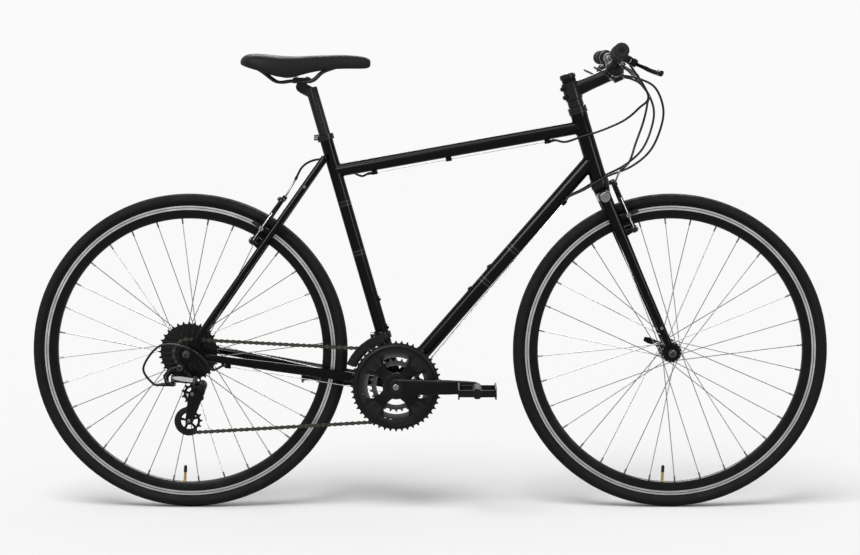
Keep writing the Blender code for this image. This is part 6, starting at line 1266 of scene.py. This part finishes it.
def chainPins():
    # even steps round the loop, each with whether it lies near a wheel's teeth
    rows = chainWheels()
    path = chainPath(rows)
    lengths = [0]
    for index, point in enumerate(path):
        lengths.append(lengths[-1] + (path[(index + 1) % len(path)] - point).length)
    count = 2 * round(lengths[-1] / drive["pitch"] / 2)
    pins, place = [], 0
    for index in range(count):
        goal = lengths[-1] * index / count
        while lengths[place + 1] < goal:
            place += 1
        share = (goal - lengths[place]) / (lengths[place + 1] - lengths[place])
        pin = path[place].lerp(path[(place + 1) % len(path)], share)
        near = any(
            math.hypot(pin.x - centre.x, pin.z - centre.z) < pitchRadius(teeth) + drive["rollerClear"]
            for centre, teeth, _, _ in rows
        )
        pins.append((pin, near))
    return pins


def linkOutline(reach):
    # a plate with round ends and a waist
    half, outline = drive["plateHalf"], []
    for end in (1, -1):
        for step in range(7):
            a = math.pi * (step / 6 - 0.5)
            outline.append((end * (reach + half * math.cos(a)), end * half * math.sin(a)))
        outline.append((0, end * half * 0.6))
    return outline


def buildChain():
    bm = bmesh.new()
    pins = chainPins()
    thick, edge = drive["plateThick"], drive["chainWidth"] / 2
    for index, (pin, onWheel) in enumerate(pins):
        follower = pins[(index + 1) % len(pins)][0]
        along = (follower - pin).normalized()
        up = along.cross(ey).normalized()
        outline = linkOutline((follower - pin).length / 2)
        # the inner plates lie between the outer ones
        inset = thick / 2 + (thick + 0.0001 if index % 2 else 0)
        for side in (1, -1):
            outward = ey * side
            middle = (pin + follower) / 2 + outward * (edge - inset)
            slab(bm, outline, middle, along, up, thick, chamfer=0.0002)
            start, end = pin + outward * (edge - thick), pin + outward * (edge + 0.0002)
            peg(bm, start, end, drive["pinRadius"], 10, chamfer=0.0001)
        if not onWheel:
            pegAcross(bm, pin, drive["rollerHalf"], drive["rollerRadius"], 12, chamfer=0.0002)
    addFine("chain", bm, "chainSteel")


buildChainrings()
buildCrankArm(1, "crank_arm_left")
buildCrankArm(-1, "crank_arm_right")
buildCassette()
buildPulley("guide_pulley", *drive["guidePulley"])
buildPulley("tension_pulley", *drive["tensionPulley"])
buildChain()
print("drivetrain built")

shoulderY, barHalf = 0.118, 0.3135
cockpit = {
    "stemCentre": onSteerer(0.21975),
    "stemAngle": math.radians(24.2),
    "stemLength": 0.1003,
    "barEnd": Vector((-0.009, barHalf, 0.039)),
    "shoulder": Vector((-0.00225, shoulderY, 0.03354)),
    "leverAngle": math.radians(28),
    # places along the handlebar, and from it
    "perchPlace": 0.162,
    "podPlace": 0.133,
    "clampPlace": 0.17,
    "pivotPlace": 0.156,
    "pivotAhead": 0.037,
    "barrelAhead": 0.0198,
    "podAhead": 0.006,
    "podDown": 0.029,
}
stemReach = radial(cockpit["stemAngle"])
barCentre = cockpit["stemCentre"] + stemReach * cockpit["stemLength"]
leverForward = radial(-cockpit["leverAngle"])
leverNormal = Vector((math.sin(cockpit["leverAngle"]), 0, math.cos(cockpit["leverAngle"])))


def barPoint(side, distance):
    shoulder, end = barCentre + cockpit["shoulder"], barCentre + cockpit["barEnd"]
    point = shoulder.lerp(end, (distance - shoulderY) / (barHalf - shoulderY))
    return point if side > 0 else flip(point)


brakeArms = {
    "tipUp": 0.108,
    "tipIn": 0.0042,
    "padCircle": 0.31375,
    "studCircle": 0.28,
    "padY": 0.0138,
    "padSize": (0.05, 0.0092, 0.0086),
    # up the arm and inwards, then half the width and half the depth
    "armKnots": (
        ((-0.004, 0), (0.006, 0.0047)), ((0.0339, 0), (0.0063, 0.005)), ((0.0791, 0.0015), (0.0045, 0.0039)),
        ((0.113, 0.0045), (0.0042, 0.0037)),
    ),
    "pivotCap": [(-0.005, 0.0076), (-0.0046, 0.0082), (0.0044, 0.0082), (0.005, 0.0072)],
    "innerWasher": [(0, 0.005), (0.002, 0.0068), (0.0048, 0.0068)],
    "outerWasher": [(0, 0.0068), (0.002, 0.0066), (0.0034, 0.005)],
    # up the arm and outwards
    "spring": ((-0.003, 0.0065), (0.02, 0.0074), (0.055, 0.007), (0.074, 0.004)),
    "springRadius": 0.001,
}


def armTip(end):
    # the top of the left brake arm, where its cable holds
    up, outward, base, reach = brakeAxes(end)
    return base + outward * reach + up * brakeArms["tipUp"] - ey * brakeArms["tipIn"]


cables = {
    "housing": 0.0025,
    "noodle": 0.0021,
    "wire": 0.0009,
    "ferruleLength": 0.009,
    "ferruleProud": 0.0006,
    "entry": 0.0058,
    "underShell": 0.0231,
    # points of each route, listed one by one; a noodle's are from its entry at the brake arm
    "frontNoodle": ((0.01, -0.0235, 0.027), (0.003, -0.02, 0.012), (0, -0.01, 0.0012), (0, 0, 0)),
    "rearNoodle": ((0.0225, 0.025, 0.04), (0.008, 0.021, 0.015), (0.001, 0.011, 0.0022), (0, 0, 0)),
    "frontBrake": (
        (0.4745, 0.035, 0.912), (0.4718, -0.006, 0.8844), (0.46, -0.04, 0.845), (0.443, -0.056, 0.801),
        (0.429, -0.064, 0.762),
    ),
    "rearBrake": (
        (0.4668, -0.08, 0.9041), (0.4488, -0.056, 0.8756), (0.418, -0.04, 0.8493), (0.3694, -0.031, 0.8274),
        (0.33, -0.027, 0.815), (0.295, -0.012, 0.803),
    ),
    "rearBrakeBack": (
        (-0.15, 0.01, 0.728), (-0.172, 0.021, 0.737), (-0.19, 0.024, 0.748), (-0.21, 0.0265, 0.7575),
        (-0.238, 0.0345, 0.764), (-0.264, 0.047, 0.759), (-0.284, 0.056, 0.745),
    ),
    # of both shift cables: ahead, outwards, up, and how far behind the left one lies
    "shift": (
        (0.445, 0.073, 0.94, 0), (0.483, 0.066, 0.92, 0.01), (0.5018, 0.056, 0.875, 0.01),
        (0.496, 0.05, 0.83, 0.01), (0.4745, 0.044, 0.7837, 0.01), (0.435, 0.036, 0.75, 0.01),
        (0.38, 0.029, 0.727, 0), (0.335, 0.024, 0.7, 0),
    ),
    "rearShiftLoop": (
        (-0.47, -0.079, 0.313), (-0.486, -0.0875, 0.337), (-0.52, -0.09, 0.361), (-0.5787, -0.087, 0.367),
        (-0.6162, -0.086, 0.319),
    ),
    "rearShiftPin": Vector((-0.0275, -0.08, -0.051)),  # from the rear axle
    "rearShiftDrop": (math.radians(28), 0.0144),  # the way down from the pin, and how far
    "rearShiftEndX": -0.5793,
    "rearShiftTurns": (-48, -61, -74, -87, -100),
    "frontShiftTurns": (-48, -74, -100, -128, -156),
    # from the frame to the steering: where the bend starts and where it ends
    "brakeBend": ("steering", (0.33, 0, 0.815), (0.46, 0, 0.905)),
    "shiftBend": ("steering", (0.38, 0, 0.735), (0.44, 0, 0.93)),
}


def layCable(name, parts, bendTo=None):
    # a part is its route, its radius, the material slot and whether its ends have ferrules
    bm = bmesh.new()
    for route, radius, slot, ferrules in parts:
        sweep(bm, route, radius, 8 if radius == cables["wire"] else 14, slot=slot)
        if ferrules:
            for end, inward in ((route[0], route[2]), (route[-1], route[-3])):
                tip = end + (inward - end).normalized() * cables["ferruleLength"]
                peg(bm, end, tip, radius + cables["ferruleProud"], 16, slot=1)
    addFine(name, bm, "cableSkin", "satinAlloy", "wireSteel", "greyAlloy", bendTo=bendTo)


def housing(*knots):
    return smoothRoute([Vector(knot) for knot in knots]), cables["housing"], 0, True


def bareWire(*points):
    return list(points), cables["wire"], 2, False


def intoNoodle(knots, noodle):
    # housing that runs into the bent tube at a brake arm
    route, cut = smoothRoute([Vector(knot) for knot in (*knots, *noodle)]), 8 * len(knots)
    return (route[:cut + 1], cables["housing"], 0, True), (route[cut:], cables["noodle"], 3, False)


def leverEnd(side):
    return barPoint(side, cockpit["perchPlace"]) + leverForward * cockpit["barrelAhead"] - ey * side * 0.0283


def podEnd(side):
    pod = barPoint(side, cockpit["podPlace"]) + leverForward * cockpit["podAhead"]
    return pod - leverNormal * cockpit["podDown"] - ey * side * 0.0343


def layFrontBrake():
    tip, start = armTip("front"), leverEnd(1)
    entry = Vector((tip.x, -tip.y - cables["entry"], tip.z))
    noodle = [entry + Vector(place) for place in cables["frontNoodle"]]
    knots = [start, start - ey * 0.01, start - ey * 0.045 + Vector((0.01, 0, -0.006)), *cables["frontBrake"]]
    layCable("front_brake_cable", [*intoNoodle(knots, noodle), bareWire(entry, tip + ey * 0.012)])


def layRearBrake(rearStop, middleStop, frontStop):
    tip, start, seat = armTip("rear"), leverEnd(-1), tubes["stopHalf"]
    entry = Vector((tip.x, tip.y + cables["entry"], tip.z))
    noodle = [entry + Vector(place) for place in cables["rearNoodle"]]
    front, back = stopPlace(frontStop, seat), stopPlace(rearStop, -seat + 0.0002)
    layCable("rear_brake_cable", [
        housing(
            start, start + ey * 0.01, start + ey * 0.035 + Vector((0.01, 0, -0.008)), *cables["rearBrake"],
            stopPlace(frontStop, 0.018), front),
        bareWire(front, stopPlace(middleStop), back),
        *intoNoodle([back, stopPlace(rearStop, -0.016), *cables["rearBrakeBack"]], noodle),
        bareWire(entry, Vector((tip.x, -tip.y - 0.012, tip.z))),
    ], cables["brakeBend"])


def shiftHousing(side, stop):
    start, outward = podEnd(side), ey * side
    return housing(
        start, start - outward * 0.008, start - outward * 0.02 + Vector((0.016, 0, -0.012)),
        *[(x - (back if side > 0 else 0), side * y, z) for x, y, z, back in cables["shift"]],
        stopPlace(stop, 0.018), stopPlace(stop, tubes["stopHalf"]))


def underShell(side, stop, turns):
    # bare wire from the down tube's stop round the bottom bracket
    around = [radial(math.radians(turn)) * cables["underShell"] for turn in turns]
    return [
        stopPlace(stop, tubes["stopHalf"]), stopPlace(stop, -0.01),
        *[bike["bottomBracket"] + place + ey * side * 0.0115 for place in around],
    ]


def layShiftCables(rightDown, leftDown, stayStop):
    pin, (tilt, drop) = bike["rearAxle"] + cables["rearShiftPin"], cables["rearShiftDrop"]
    end = Vector((cables["rearShiftEndX"], pin.y - math.sin(tilt) * drop, pin.z - math.cos(tilt) * drop))
    seat = stopPlace(stayStop, 0.0068)
    layCable("rear_shift_cable", [
        shiftHousing(-1, rightDown),
        bareWire(*underShell(-1, rightDown, cables["rearShiftTurns"]), stopPlace(stayStop, -0.012), seat),
        housing(
            seat, stopPlace(stayStop, 0.011), *cables["rearShiftLoop"],
            end + Vector((-0.016, 0, 0.002)), end),
    ], cables["shiftBend"])
    low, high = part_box("front_derailleur_link")
    clamp = Vector(((low.x + high.x) / 2 + 0.0075, (low.y + high.y) / 2 + 0.004, high.z - 0.013))
    layCable("front_shift_cable", [
        shiftHousing(1, leftDown), bareWire(*underShell(1, leftDown, cables["frontShiftTurns"]), clamp),
    ], cables["shiftBend"])


stops = cableStops()
layFrontBrake()
layRearBrake(*stops[:3])
layShiftCables(*stops[3:])
print("cables laid")

stem = {
    "foot": 0.2005,  # along the steerer
    "clampLength": 0.0385,
    "clamp": [
        (0, 0.0184), (0.0006, 0.019), (0.0379, 0.019), (0.0385, 0.0184), (0.0388, 0.0156), (0.0475, 0.0156),
        (0.0478, 0.017), (0.049, 0.0177), (0.056, 0.017), (0.058, 0.0152), (0.0585, 0.012),
    ],
    "neck": [(0.015, 0.01725), (0.01425, 0.015), (0.01575, 0.015)],
    "barClamp": [(-0.022, 0.0186), (-0.0214, 0.0195), (0.0214, 0.0195), (0.022, 0.0186)],
    "capTop": 0.259,
    "capBoltSunk": 0.0008,
    "faceBoltY": 0.0132,
    "faceBoltUp": 0.01755,
    "boltAhead": 0.011,
    "clampBoltBack": 0.0185,
    "clampBoltHalf": 0.0145,
    "clampBoltShares": (0.25, 0.75),
    # node: lower and upper end on the steerer, radius, and where a groove runs round it
    "rings": {
        "headset_lower_cup": (0.0004, 0.0188, 0.0205, ()),
        "headset_upper_cup": (0.1684, 0.1844, 0.0205, (0.45,)),
        "headset_spacers": (0.1848, 0.2002, 0.0172, (0.5,)),
    },
    "ringBore": 0.0146,
}


def buildStem():
    bm = bmesh.new()
    up = -under(stemReach)
    turned(bm, onSteerer(stem["foot"]), bike["headUp"], stem["clamp"], 56)
    centre = cockpit["stemCentre"]
    knots = [centre, (centre + barCentre) / 2, barCentre - stemReach * 0.006]
    sweepRoute(bm, knots, stem["neck"], 10, 44, up=up, square=0.85)
    turned(bm, barCentre, ey, stem["barClamp"], 56)
    cap = onSteerer(stem["capTop"]) - bike["headUp"] * stem["capBoltSunk"]
    socketHead(bm, cap, bike["headUp"], 0.0052, 0.0016, 1)
    for side in (1, -1):
        for level in (1, -1):
            place = barCentre + ey * side * stem["faceBoltY"] + up * level * stem["faceBoltUp"]
            head = place + stemReach * stem["boltAhead"]
            peg(bm, place - stemReach * 0.008, head, 0.005)
            socketHead(bm, head, stemReach, 0.0041, 0.003, 1)
    for share in stem["clampBoltShares"]:
        place = onSteerer(stem["foot"] + stem["clampLength"] * share)
        place -= bike["headForward"] * stem["clampBoltBack"]
        pegAcross(bm, place, stem["clampBoltHalf"], 0.0052)
        socketHead(bm, place - ey * stem["clampBoltHalf"], -ey, 0.0042, 0.0024)
    addFine("stem", bm, "satinAlloy", "greyAlloy")


def buildHeadset():
    for node, (low, high, radius, grooves) in stem["rings"].items():
        profile = [(low, stem["ringBore"]), (low, radius - 0.001), (low + 0.0008, radius)]
        for middle in (low + (high - low) * share for share in grooves):
            for reach, sunk in ((-0.0004, 0), (-0.0003, 0.0006), (0.0003, 0.0006), (0.0004, 0)):
                profile.append((middle + reach, radius - sunk))
        profile += [(high - 0.0008, radius), (high, radius - 0.001), (high, stem["ringBore"])]
        bm = bmesh.new()
        turned(bm, bike["crownRace"], bike["headUp"], profile, 56, closed=True)
        addFine(node, bm, "satinAlloy")


bar = {
    "middle": 0.0127,
    # half of the handlebar up to its shoulder, from its middle
    "knots": ((0, 0.038, 0), (0, 0.052, 0.00234), (-0.0009, 0.0708, 0.01482), (-0.0018, 0.09676, 0.02886)),
    "radii": [0.0127, 0.0127, 0.0125, 0.01232, 0.01168, 0.0111],
}


def buildHandlebar():
    half = [Vector(knot) for knot in bar["knots"]] + [cockpit["shoulder"], cockpit["barEnd"]]
    left = [barCentre + knot for knot in half]
    knots = [flip(point) for point in reversed(left)] + [barCentre] + left
    bm = bmesh.new()
    sweepRoute(bm, knots, [*reversed(bar["radii"]), bar["middle"], *bar["radii"]], 10, 36)
    addFine("handlebar", bm, "satinAlloy")


grip = {
    "inner": 0.122,  # from its inner end to the end of the bar
    "length": 0.1252,
    "steps": 112,
    "radius": 0.016,
    "ribDepth": 0.0008,
    "ribbed": (0.1, 0.9),
    "flange": 0.0019,
    "flangeShare": 0.035,
    "waist": 0.0008,
    "roundFrom": 0.96,
    "roundDepth": 0.004,
    "plug": [(-0.0006, 0.007), (0.0001, 0.0066), (0.0001, 0.005)],
}


def barWay(side):
    return (barPoint(side, barHalf) - barPoint(side, shoulderY)).normalized()


def buildGrip(side, label):
    direction, count, (first, last) = barWay(side), grip["steps"], grip["ribbed"]
    start = barPoint(side, barHalf) - direction * grip["inner"]
    points, radii = [], []
    for step in range(count + 1):
        share = step / count
        rib = grip["ribDepth"] if step % 4 in (1, 2) and first < share < last else 0
        flange = grip["flange"] if share < grip["flangeShare"] else 0
        waist = grip["waist"] * math.sin(math.pi * min(1, share * 1.05))
        tip = grip["roundDepth"] * max(0, (share - grip["roundFrom"]) / (1 - grip["roundFrom"])) ** 2
        points.append(start + direction * grip["length"] * share)
        radii.append(grip["radius"] + flange - rib - waist - tip)
    bm = bmesh.new()
    sweep(bm, points, radii, 44)
    turned(bm, start + direction * grip["length"], direction, grip["plug"], 32, slot=1)
    addFine(f"grip_{label}", bm, "gripRubber", "moulded")


perch = {
    "clamp": [
        (-0.01, 0.0116), (-0.01, 0.0154), (-0.0094, 0.016), (0.0094, 0.016), (0.01, 0.0154), (0.01, 0.0116),
    ],
    "barrel": [
        (0, 0.005), (0.006, 0.005), (0.0062, 0.0056), (0.012, 0.0056), (0.0122, 0.0046), (0.018, 0.0042),
    ],
    # the pod's knots: ahead, down and outwards from the bar; then half its width and half its depth
    "podKnots": (
        ((0.006, 0.029, -0.024), (0.013, 0.008)), ((0.008, 0.029, -0.01), (0.019, 0.0135)),
        ((0.008, 0.029, 0.014), (0.019, 0.0135)), ((0.006, 0.027, 0.03), (0.012, 0.009)),
    ),
    "window": [
        (-0.014, -0.006), (-0.01, -0.0075), (0.01, -0.0075), (0.014, -0.006), (0.012, 0.007), (-0.012, 0.007),
    ],
    "shiftPost": [(0, 0.0035), (0.0222, 0.0035), (0.0222, 0.0048), (0.024, 0.0044)],
    "cableNose": [(0, 0.0052), (0.0095, 0.0052), (0.01, 0.0044)],
    "eye": [(-0.0045, 0.0066), (-0.0041, 0.007), (0.0041, 0.007), (0.0045, 0.0066)],
    # the brake lever's knots: ahead and outwards from its pivot; then half its depth and half its height
    "leverKnots": (
        ((0.002, 0), (0.005, 0.0042)), ((0.01815, 0.022), (0.0044, 0.0044)),
        ((0.033, 0.052), (0.0038, 0.006)), ((0.04488, 0.09072), (0.0036, 0.0066)),
        ((0.051, 0.12), (0.0052, 0.0066)), ((0.0525, 0.126), (0.0032, 0.004)),
    ),
}


def leverEye(side):
    return barPoint(side, cockpit["pivotPlace"]) + leverForward * cockpit["pivotAhead"]


def buildPerch(side, label):
    forward, normal, outward = leverForward, leverNormal, ey * side
    root, pod = barPoint(side, cockpit["perchPlace"]), barPoint(side, cockpit["podPlace"])
    eye = leverEye(side)
    bm = bmesh.new()
    turned(bm, barPoint(side, cockpit["clampPlace"]), barWay(side), perch["clamp"], 40, closed=True)
    block(bm, root + forward * 0.0194, (0.0188, 0.026, 0.0156), forward, ey, corner=0.004)
    for level in (-1, 1):
        cheek = eye - forward * 0.004 + normal * level * 0.0063
        block(bm, cheek, (0.022, 0.015, 0.003), forward, ey, corner=0.006)
    socketHead(bm, eye + normal * 0.0076, normal, 0.0042, 0.0018, 1)
    turned(bm, root + forward * cockpit["barrelAhead"] - outward * 0.01, -outward, perch["barrel"], 24)
    places, radii = zip(*perch["podKnots"])
    knots = [pod + forward * ahead - normal * down + outward * out for ahead, down, out in places]
    points = sweepRoute(bm, knots, radii, 8, 36, up=normal, square=0.75)
    block(bm, barPoint(side, 0.166) - normal * 0.016, (0.014, 0.016, 0.029), forward, ey, corner=0.003)
    place = pod + forward * 0.019 - normal * 0.018
    slab(bm, perch["window"], place, ey, forward, 0.006, slot=2, chamfer=0.001)
    turned(bm, pod + forward * 0.012 - normal * cockpit["podDown"], -normal, perch["shiftPost"], 24, slot=1)
    turned(bm, points[0], -outward, perch["cableNose"], 24)
    addFine(f"shifter_{label}", bm, "moulded", "greyAlloy", "satinAlloy")


def buildBrakeLever(side, label):
    eye = leverEye(side)
    bm = bmesh.new()
    turned(bm, eye, leverNormal, perch["eye"], 36)
    places, radii = zip(*perch["leverKnots"])
    knots = [eye + leverForward * ahead + ey * side * out for ahead, out in places]
    sweepRoute(bm, knots, radii, 8, 28, up=leverNormal, square=0.8)
    addFine(f"brake_lever_{label}", bm, "satinAlloy")


def buildBrakeArm(end, side, label):
    up, outward, base, reach = brakeAxes(end)
    turn, pivot = mirrorWay(side), base + outward * reach
    bm = bmesh.new()
    places, radii = zip(*brakeArms["armKnots"])
    knots = [turn(pivot + up * rise - ey * inwards) for rise, inwards in places]
    sweepRoute(bm, knots, radii, 8, 28, up=outward, square=0.7)
    turned(bm, turn(pivot), outward, brakeArms["pivotCap"], 36)

    pad = pivot + up * (math.sqrt(brakeArms["padCircle"]**2 - reach**2) - brakeArms["studCircle"])

    def atPad(y):
        return turn(Vector((pad.x, y, pad.z)))

    inner, along = brakeArms["padY"], outward.cross(ey).cross(ey).normalized()
    block(bm, atPad(inner + 0.0048), brakeArms["padSize"], along, ey, slot=1, corner=0.003)
    peg(bm, atPad(inner + 0.0092), atPad(pad.y + 0.0085), 0.0032, 20, slot=2)
    turned(bm, atPad(0.03), turn(ey), brakeArms["innerWasher"], 28)
    turned(bm, atPad(0.0452), turn(ey), brakeArms["outerWasher"], 28)
    socketHead(bm, atPad(0.0478), turn(ey), 0.0052, 0.003, 2)
    spring = [turn(pivot + up * rise + ey * out) for rise, out in brakeArms["spring"]]
    sweep(bm, smoothRoute(spring), brakeArms["springRadius"], 10, slot=3)

    tip = pivot + up * brakeArms["tipUp"] - ey * brakeArms["tipIn"]
    if (end == "front") == (side > 0):
        # the arm that clamps the wire
        peg(bm, turn(tip - outward * 0.0065), turn(tip + outward * 0.0065), 0.0052, 28)
        socketHead(bm, turn(tip + outward * 0.0065), outward, 0.004, 0.0026, 2)
    else:
        block(bm, turn(tip + ey * 0.001), (0.011, 0.0092, 0.012), outward, ey, corner=0.002)
    addFine(f"{end}_brake_arm_{label}", bm, "satinAlloy", "padRubber", "greyAlloy", "wireSteel")


seat = {
    # along, half width, height of the top, of the widest line, of the lower edge and of the underside
    "sections": (
        (-0.4117, 0.03, 0.9815, 0.977, 0.9715, 0.9725),
        (-0.4, 0.062, 0.9915, 0.979, 0.965, 0.97),
        (-0.3825, 0.077, 0.995, 0.977, 0.959, 0.97),
        (-0.348, 0.081, 0.9928, 0.971, 0.949, 0.974),
        (-0.318, 0.075, 0.9888, 0.966, 0.937, 0.974),
        (-0.288, 0.06, 0.9885, 0.967, 0.946, 0.974),
        (-0.255, 0.042, 0.99, 0.971, 0.955, 0.974),
        (-0.1976, 0.026, 0.9925, 0.975, 0.962, 0.966),
        (-0.15, 0.022, 0.9895, 0.9745, 0.9605, 0.965),
        (-0.135, 0.018, 0.985, 0.974, 0.962, 0.966),
        (-0.129, 0.011, 0.98, 0.974, 0.967, 0.969),
    ),
    # from the middle outwards over the top: share of the half width, and how far below the top
    "crown": ((0.3, 0), (0.55, 0.0012), (0.76, 0.004), (0.9, 0.0085)),
    "channel": (-0.39, -0.2, 0.0022),  # where it starts and ends, and its depth
    "smoothing": 2,
    "clamp": Vector((-0.278459, 0, 0.935087)),
    "railY": 0.022,
    "railRadius": 0.0035,
    # from the back: along, share of railY, height above the clamp
    "rail": (
        (-0.3905, 1.31, 0.036713), (-0.362, 1.25, 0.018913), (-0.332, 1, -0.002), (-0.298, 1, 0),
        (-0.258, 1, 0), (-0.23, 0.85, 0.020913), (-0.1765, 0.46, 0.037113),
    ),
    "post": [(0.39, 0.012), (0.3906, 0.0127), (0.67, 0.0127), (0.6716, 0.0121), (0.672, 0.01)],
    "neckFoot": 0.659,
    "collar": [
        (0.5525, 0.0146), (0.5525, 0.0176), (0.5531, 0.0183),
        (0.565, 0.0183), (0.5656, 0.0176), (0.5656, 0.013),
    ],
    "collarEar": 0.559,
}


def buildSaddle():
    first, last, depth = seat["channel"]
    rings = []
    for place, halfWidth, top, edge, skirt, below in seat["sections"]:
        channel = depth if first < place < last else 0
        profile = [(0, top - channel), (0.12, top - channel * 0.7)]
        profile += [(share, top - drop) for share, drop in seat["crown"]]
        profile += [(1, edge), (0.975, skirt + 0.001), (0.88, skirt), (0.45, below)]
        right = [Vector((place, -share * halfWidth, z)) for share, z in profile]
        left = [flip(point) for point in reversed(right[1:])]
        rings.append([*right, Vector((place, 0, below)), *left])
    bm = bmesh.new()
    skin(bm, rings)
    piece = addFine("saddle", bm, "saddleSkin", smoothAngle=180)
    smooth = piece.modifiers.new("smooth", "SUBSURF")
    smooth.levels = smooth.render_levels = seat["smoothing"]


def buildRails():
    bm = bmesh.new()
    for y in (seat["railY"], -seat["railY"]):
        knots = [Vector((along, share * y, seat["clamp"].z + rise)) for along, share, rise in seat["rail"]]
        sweep(bm, smoothRoute(knots), seat["railRadius"], 18)
    addFine("saddle_rails", bm, "darkSteel")


def buildPost():
    bm = bmesh.new()
    clamp = seat["clamp"]
    turned(bm, bike["bottomBracket"], bike["seatUp"], seat["post"], 48)
    pegAcross(bm, clamp - ez * 0.013, 0.015, 0.0125, 40, chamfer=0.0012)
    block(bm, clamp - ez * 0.0022, (0.04, 0.05, 0.006), corner=0.006)
    block(bm, clamp + ez * 0.0042, (0.038, 0.05, 0.0055), corner=0.006)
    sweep(bm, [onSeatTube(seat["neckFoot"]), clamp - ez * 0.015], [0.0122, (0.0135, 0.012)], 36)
    socketHead(bm, clamp - ez * 0.019 + ex * 0.004, -ez, 0.005, 0.004, 1)
    for place in (-0.012, 0.012):
        socketHead(bm, clamp + ex * place + ez * 0.0069, ez, 0.004, 0.0024, 1)
    addFine("seatpost", bm, "satinAlloy", "greyAlloy")


def buildSeatClamp():
    bm = bmesh.new()
    turned(bm, bike["bottomBracket"], bike["seatUp"], seat["collar"], 52, closed=True)
    back = onSeatTube(seat["collarEar"]) - ex * 0.02
    for way in (-1, 1):
        block(bm, back + ey * way * 0.0042, (0.01, 0.005, 0.0125), corner=0.002)
    pegAcross(bm, back, 0.0085, 0.0034)
    socketHead(bm, back - ey * 0.008, -ey, 0.0045, 0.003, 1)
    addFine("seat_clamp", bm, "satinAlloy", "greyAlloy")


derailleurTrim = {
    "tilt": math.radians(28),
    # from the rear axle: the outer link's two pivots
    "rearPivot": Vector((-0.0275, -0.0885, -0.051)),
    "frontPivot": Vector((0.019, -0.0885, -0.055)),
    # the panel's knots: share of the way from pivot to pivot, outwards, up; then half its depth and height
    "panel": (
        ((0, 0.0036, 0.001), (0.0008, 0.0028)), ((0.4, 0.004, 0), (0.0012, 0.0052)),
        ((0.92, 0.0034, -0.001), (0.0009, 0.0046)),
    ),
    "boltY": -0.089,
    "rimRadii": (0.0315, 0.0185),
    "rimStart": 100,
    "rimTurn": 205,
    "rimSteps": 28,
    "rimThick": 0.0014,
}


def buildLinkPanel():
    # the bright panel on the outer link
    trim, tilt = derailleurTrim, derailleurTrim["tilt"]
    up = Vector((0, math.sin(tilt), math.cos(tilt)))
    rear, front = bike["rearAxle"] + trim["rearPivot"], bike["rearAxle"] + trim["frontPivot"]
    out = up.cross((front - rear).normalized())
    out = out if out.y < 0 else -out
    places, radii = zip(*trim["panel"])
    knots = [rear.lerp(front, share) + out * proud + up * rise for share, proud, rise in places]
    bm = bmesh.new()
    sweepRoute(bm, knots, radii, 8, 24, up=up)
    addPiece("outer_link_panel", bm, ["silverPaint"], "derailleur_outer_link")


def buildHangerBolt():
    bolt = bike["rearAxle"] + tubes["hangerBolt"]
    bm = bmesh.new()
    socketHead(bm, Vector((bolt.x, derailleurTrim["boltY"], bolt.z)), -ey, 0.0066, 0.002)
    addPiece("hanger_bolt_trim", bm, ["darkSteel"], "derailleur_b_knuckle")


def buildCageTrim():
    # the wide rim of the outer cage plate, round the lower pulley, and the pulleys' bolts
    low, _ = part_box("derailleur_cage")
    trim, plateY = derailleurTrim, low.y
    steps, (outer, inner) = trim["rimSteps"], trim["rimRadii"]
    turns = [math.radians(trim["rimStart"] + trim["rimTurn"] * step / steps) for step in range(steps + 1)]
    rim = [(outer * math.cos(a), outer * math.sin(a)) for a in turns]
    rim += [(inner * math.cos(a), inner * math.sin(a)) for a in reversed(turns)]
    lower = bike["rearAxle"] + drive["tensionPulley"][1]
    bm = bmesh.new()
    slab(bm, rim, Vector((lower.x, plateY + 0.0008, lower.z)), ex, ez, trim["rimThick"], chamfer=0.0002)
    addPiece("cage_rim", bm, ["satinAlloy"], "derailleur_cage")
    bm = bmesh.new()
    for _, offset in (drive["guidePulley"], drive["tensionPulley"]):
        pulley = bike["rearAxle"] + offset
        socketHead(bm, Vector((pulley.x, plateY + 0.0006, pulley.z)), -ey, 0.0036, 0.0012)
    addPiece("pulley_bolts", bm, ["greyAlloy"], "derailleur_cage")


buildStem()
buildHeadset()
buildHandlebar()
for side, label in ((1, "left"), (-1, "right")):
    buildGrip(side, label)
    buildPerch(side, label)
    buildBrakeLever(side, label)
    for end in ("front", "rear"):
        buildBrakeArm(end, side, label)
buildSaddle()
buildRails()
buildPost()
buildSeatClamp()
buildLinkPanel()
buildHangerBolt()
buildCageTrim()
print("cockpit, brakes and seat built")

# nodes that keep their CAD form, with rounded edges: finish, and width of the edge
keptForms = {
    "shift_lever_left": ("moulded", 0.0004),
    "shift_lever_right": ("moulded", 0.0004),
    "crank_spindle": ("darkSteel", 0.0002),
    "bottom_bracket": ("darkSteel", 0.0002),
    "pedal_left": ("moulded", 0.0004),
    "pedal_right": ("moulded", 0.0004),
    "front_axle": ("darkSteel", 0.0003),
    "rear_axle": ("darkSteel", 0.0003),
    "front_quick_release_lever": ("satinAlloy", 0.0004),
    "rear_quick_release_lever": ("satinAlloy", 0.0004),
    "derailleur_b_knuckle": ("satinAlloy", 0.0004),
    "derailleur_outer_link": ("satinAlloy", 0.0004),
    "derailleur_inner_link": ("satinAlloy", 0.0003),
    "derailleur_p_knuckle": ("moulded", 0.0004),
    "derailleur_cage": ("satinAlloy", 0.0003),
    "front_derailleur_body": ("satinAlloy", 0.0004),
    "front_derailleur_link": ("greyAlloy", 0.0003),
    "front_derailleur_cage": ("satinAlloy", 0.0003),
}
for name, (finish, width) in keptForms.items():
    keepForm(name, finish, width)
for end in ("front", "rear"):
    tube = nodes[f"{end}_inner_tube"].data
    tube.materials.clear()
    tube.materials.append(look["tyreRubber"])
print("kept forms refined:", len(keptForms))
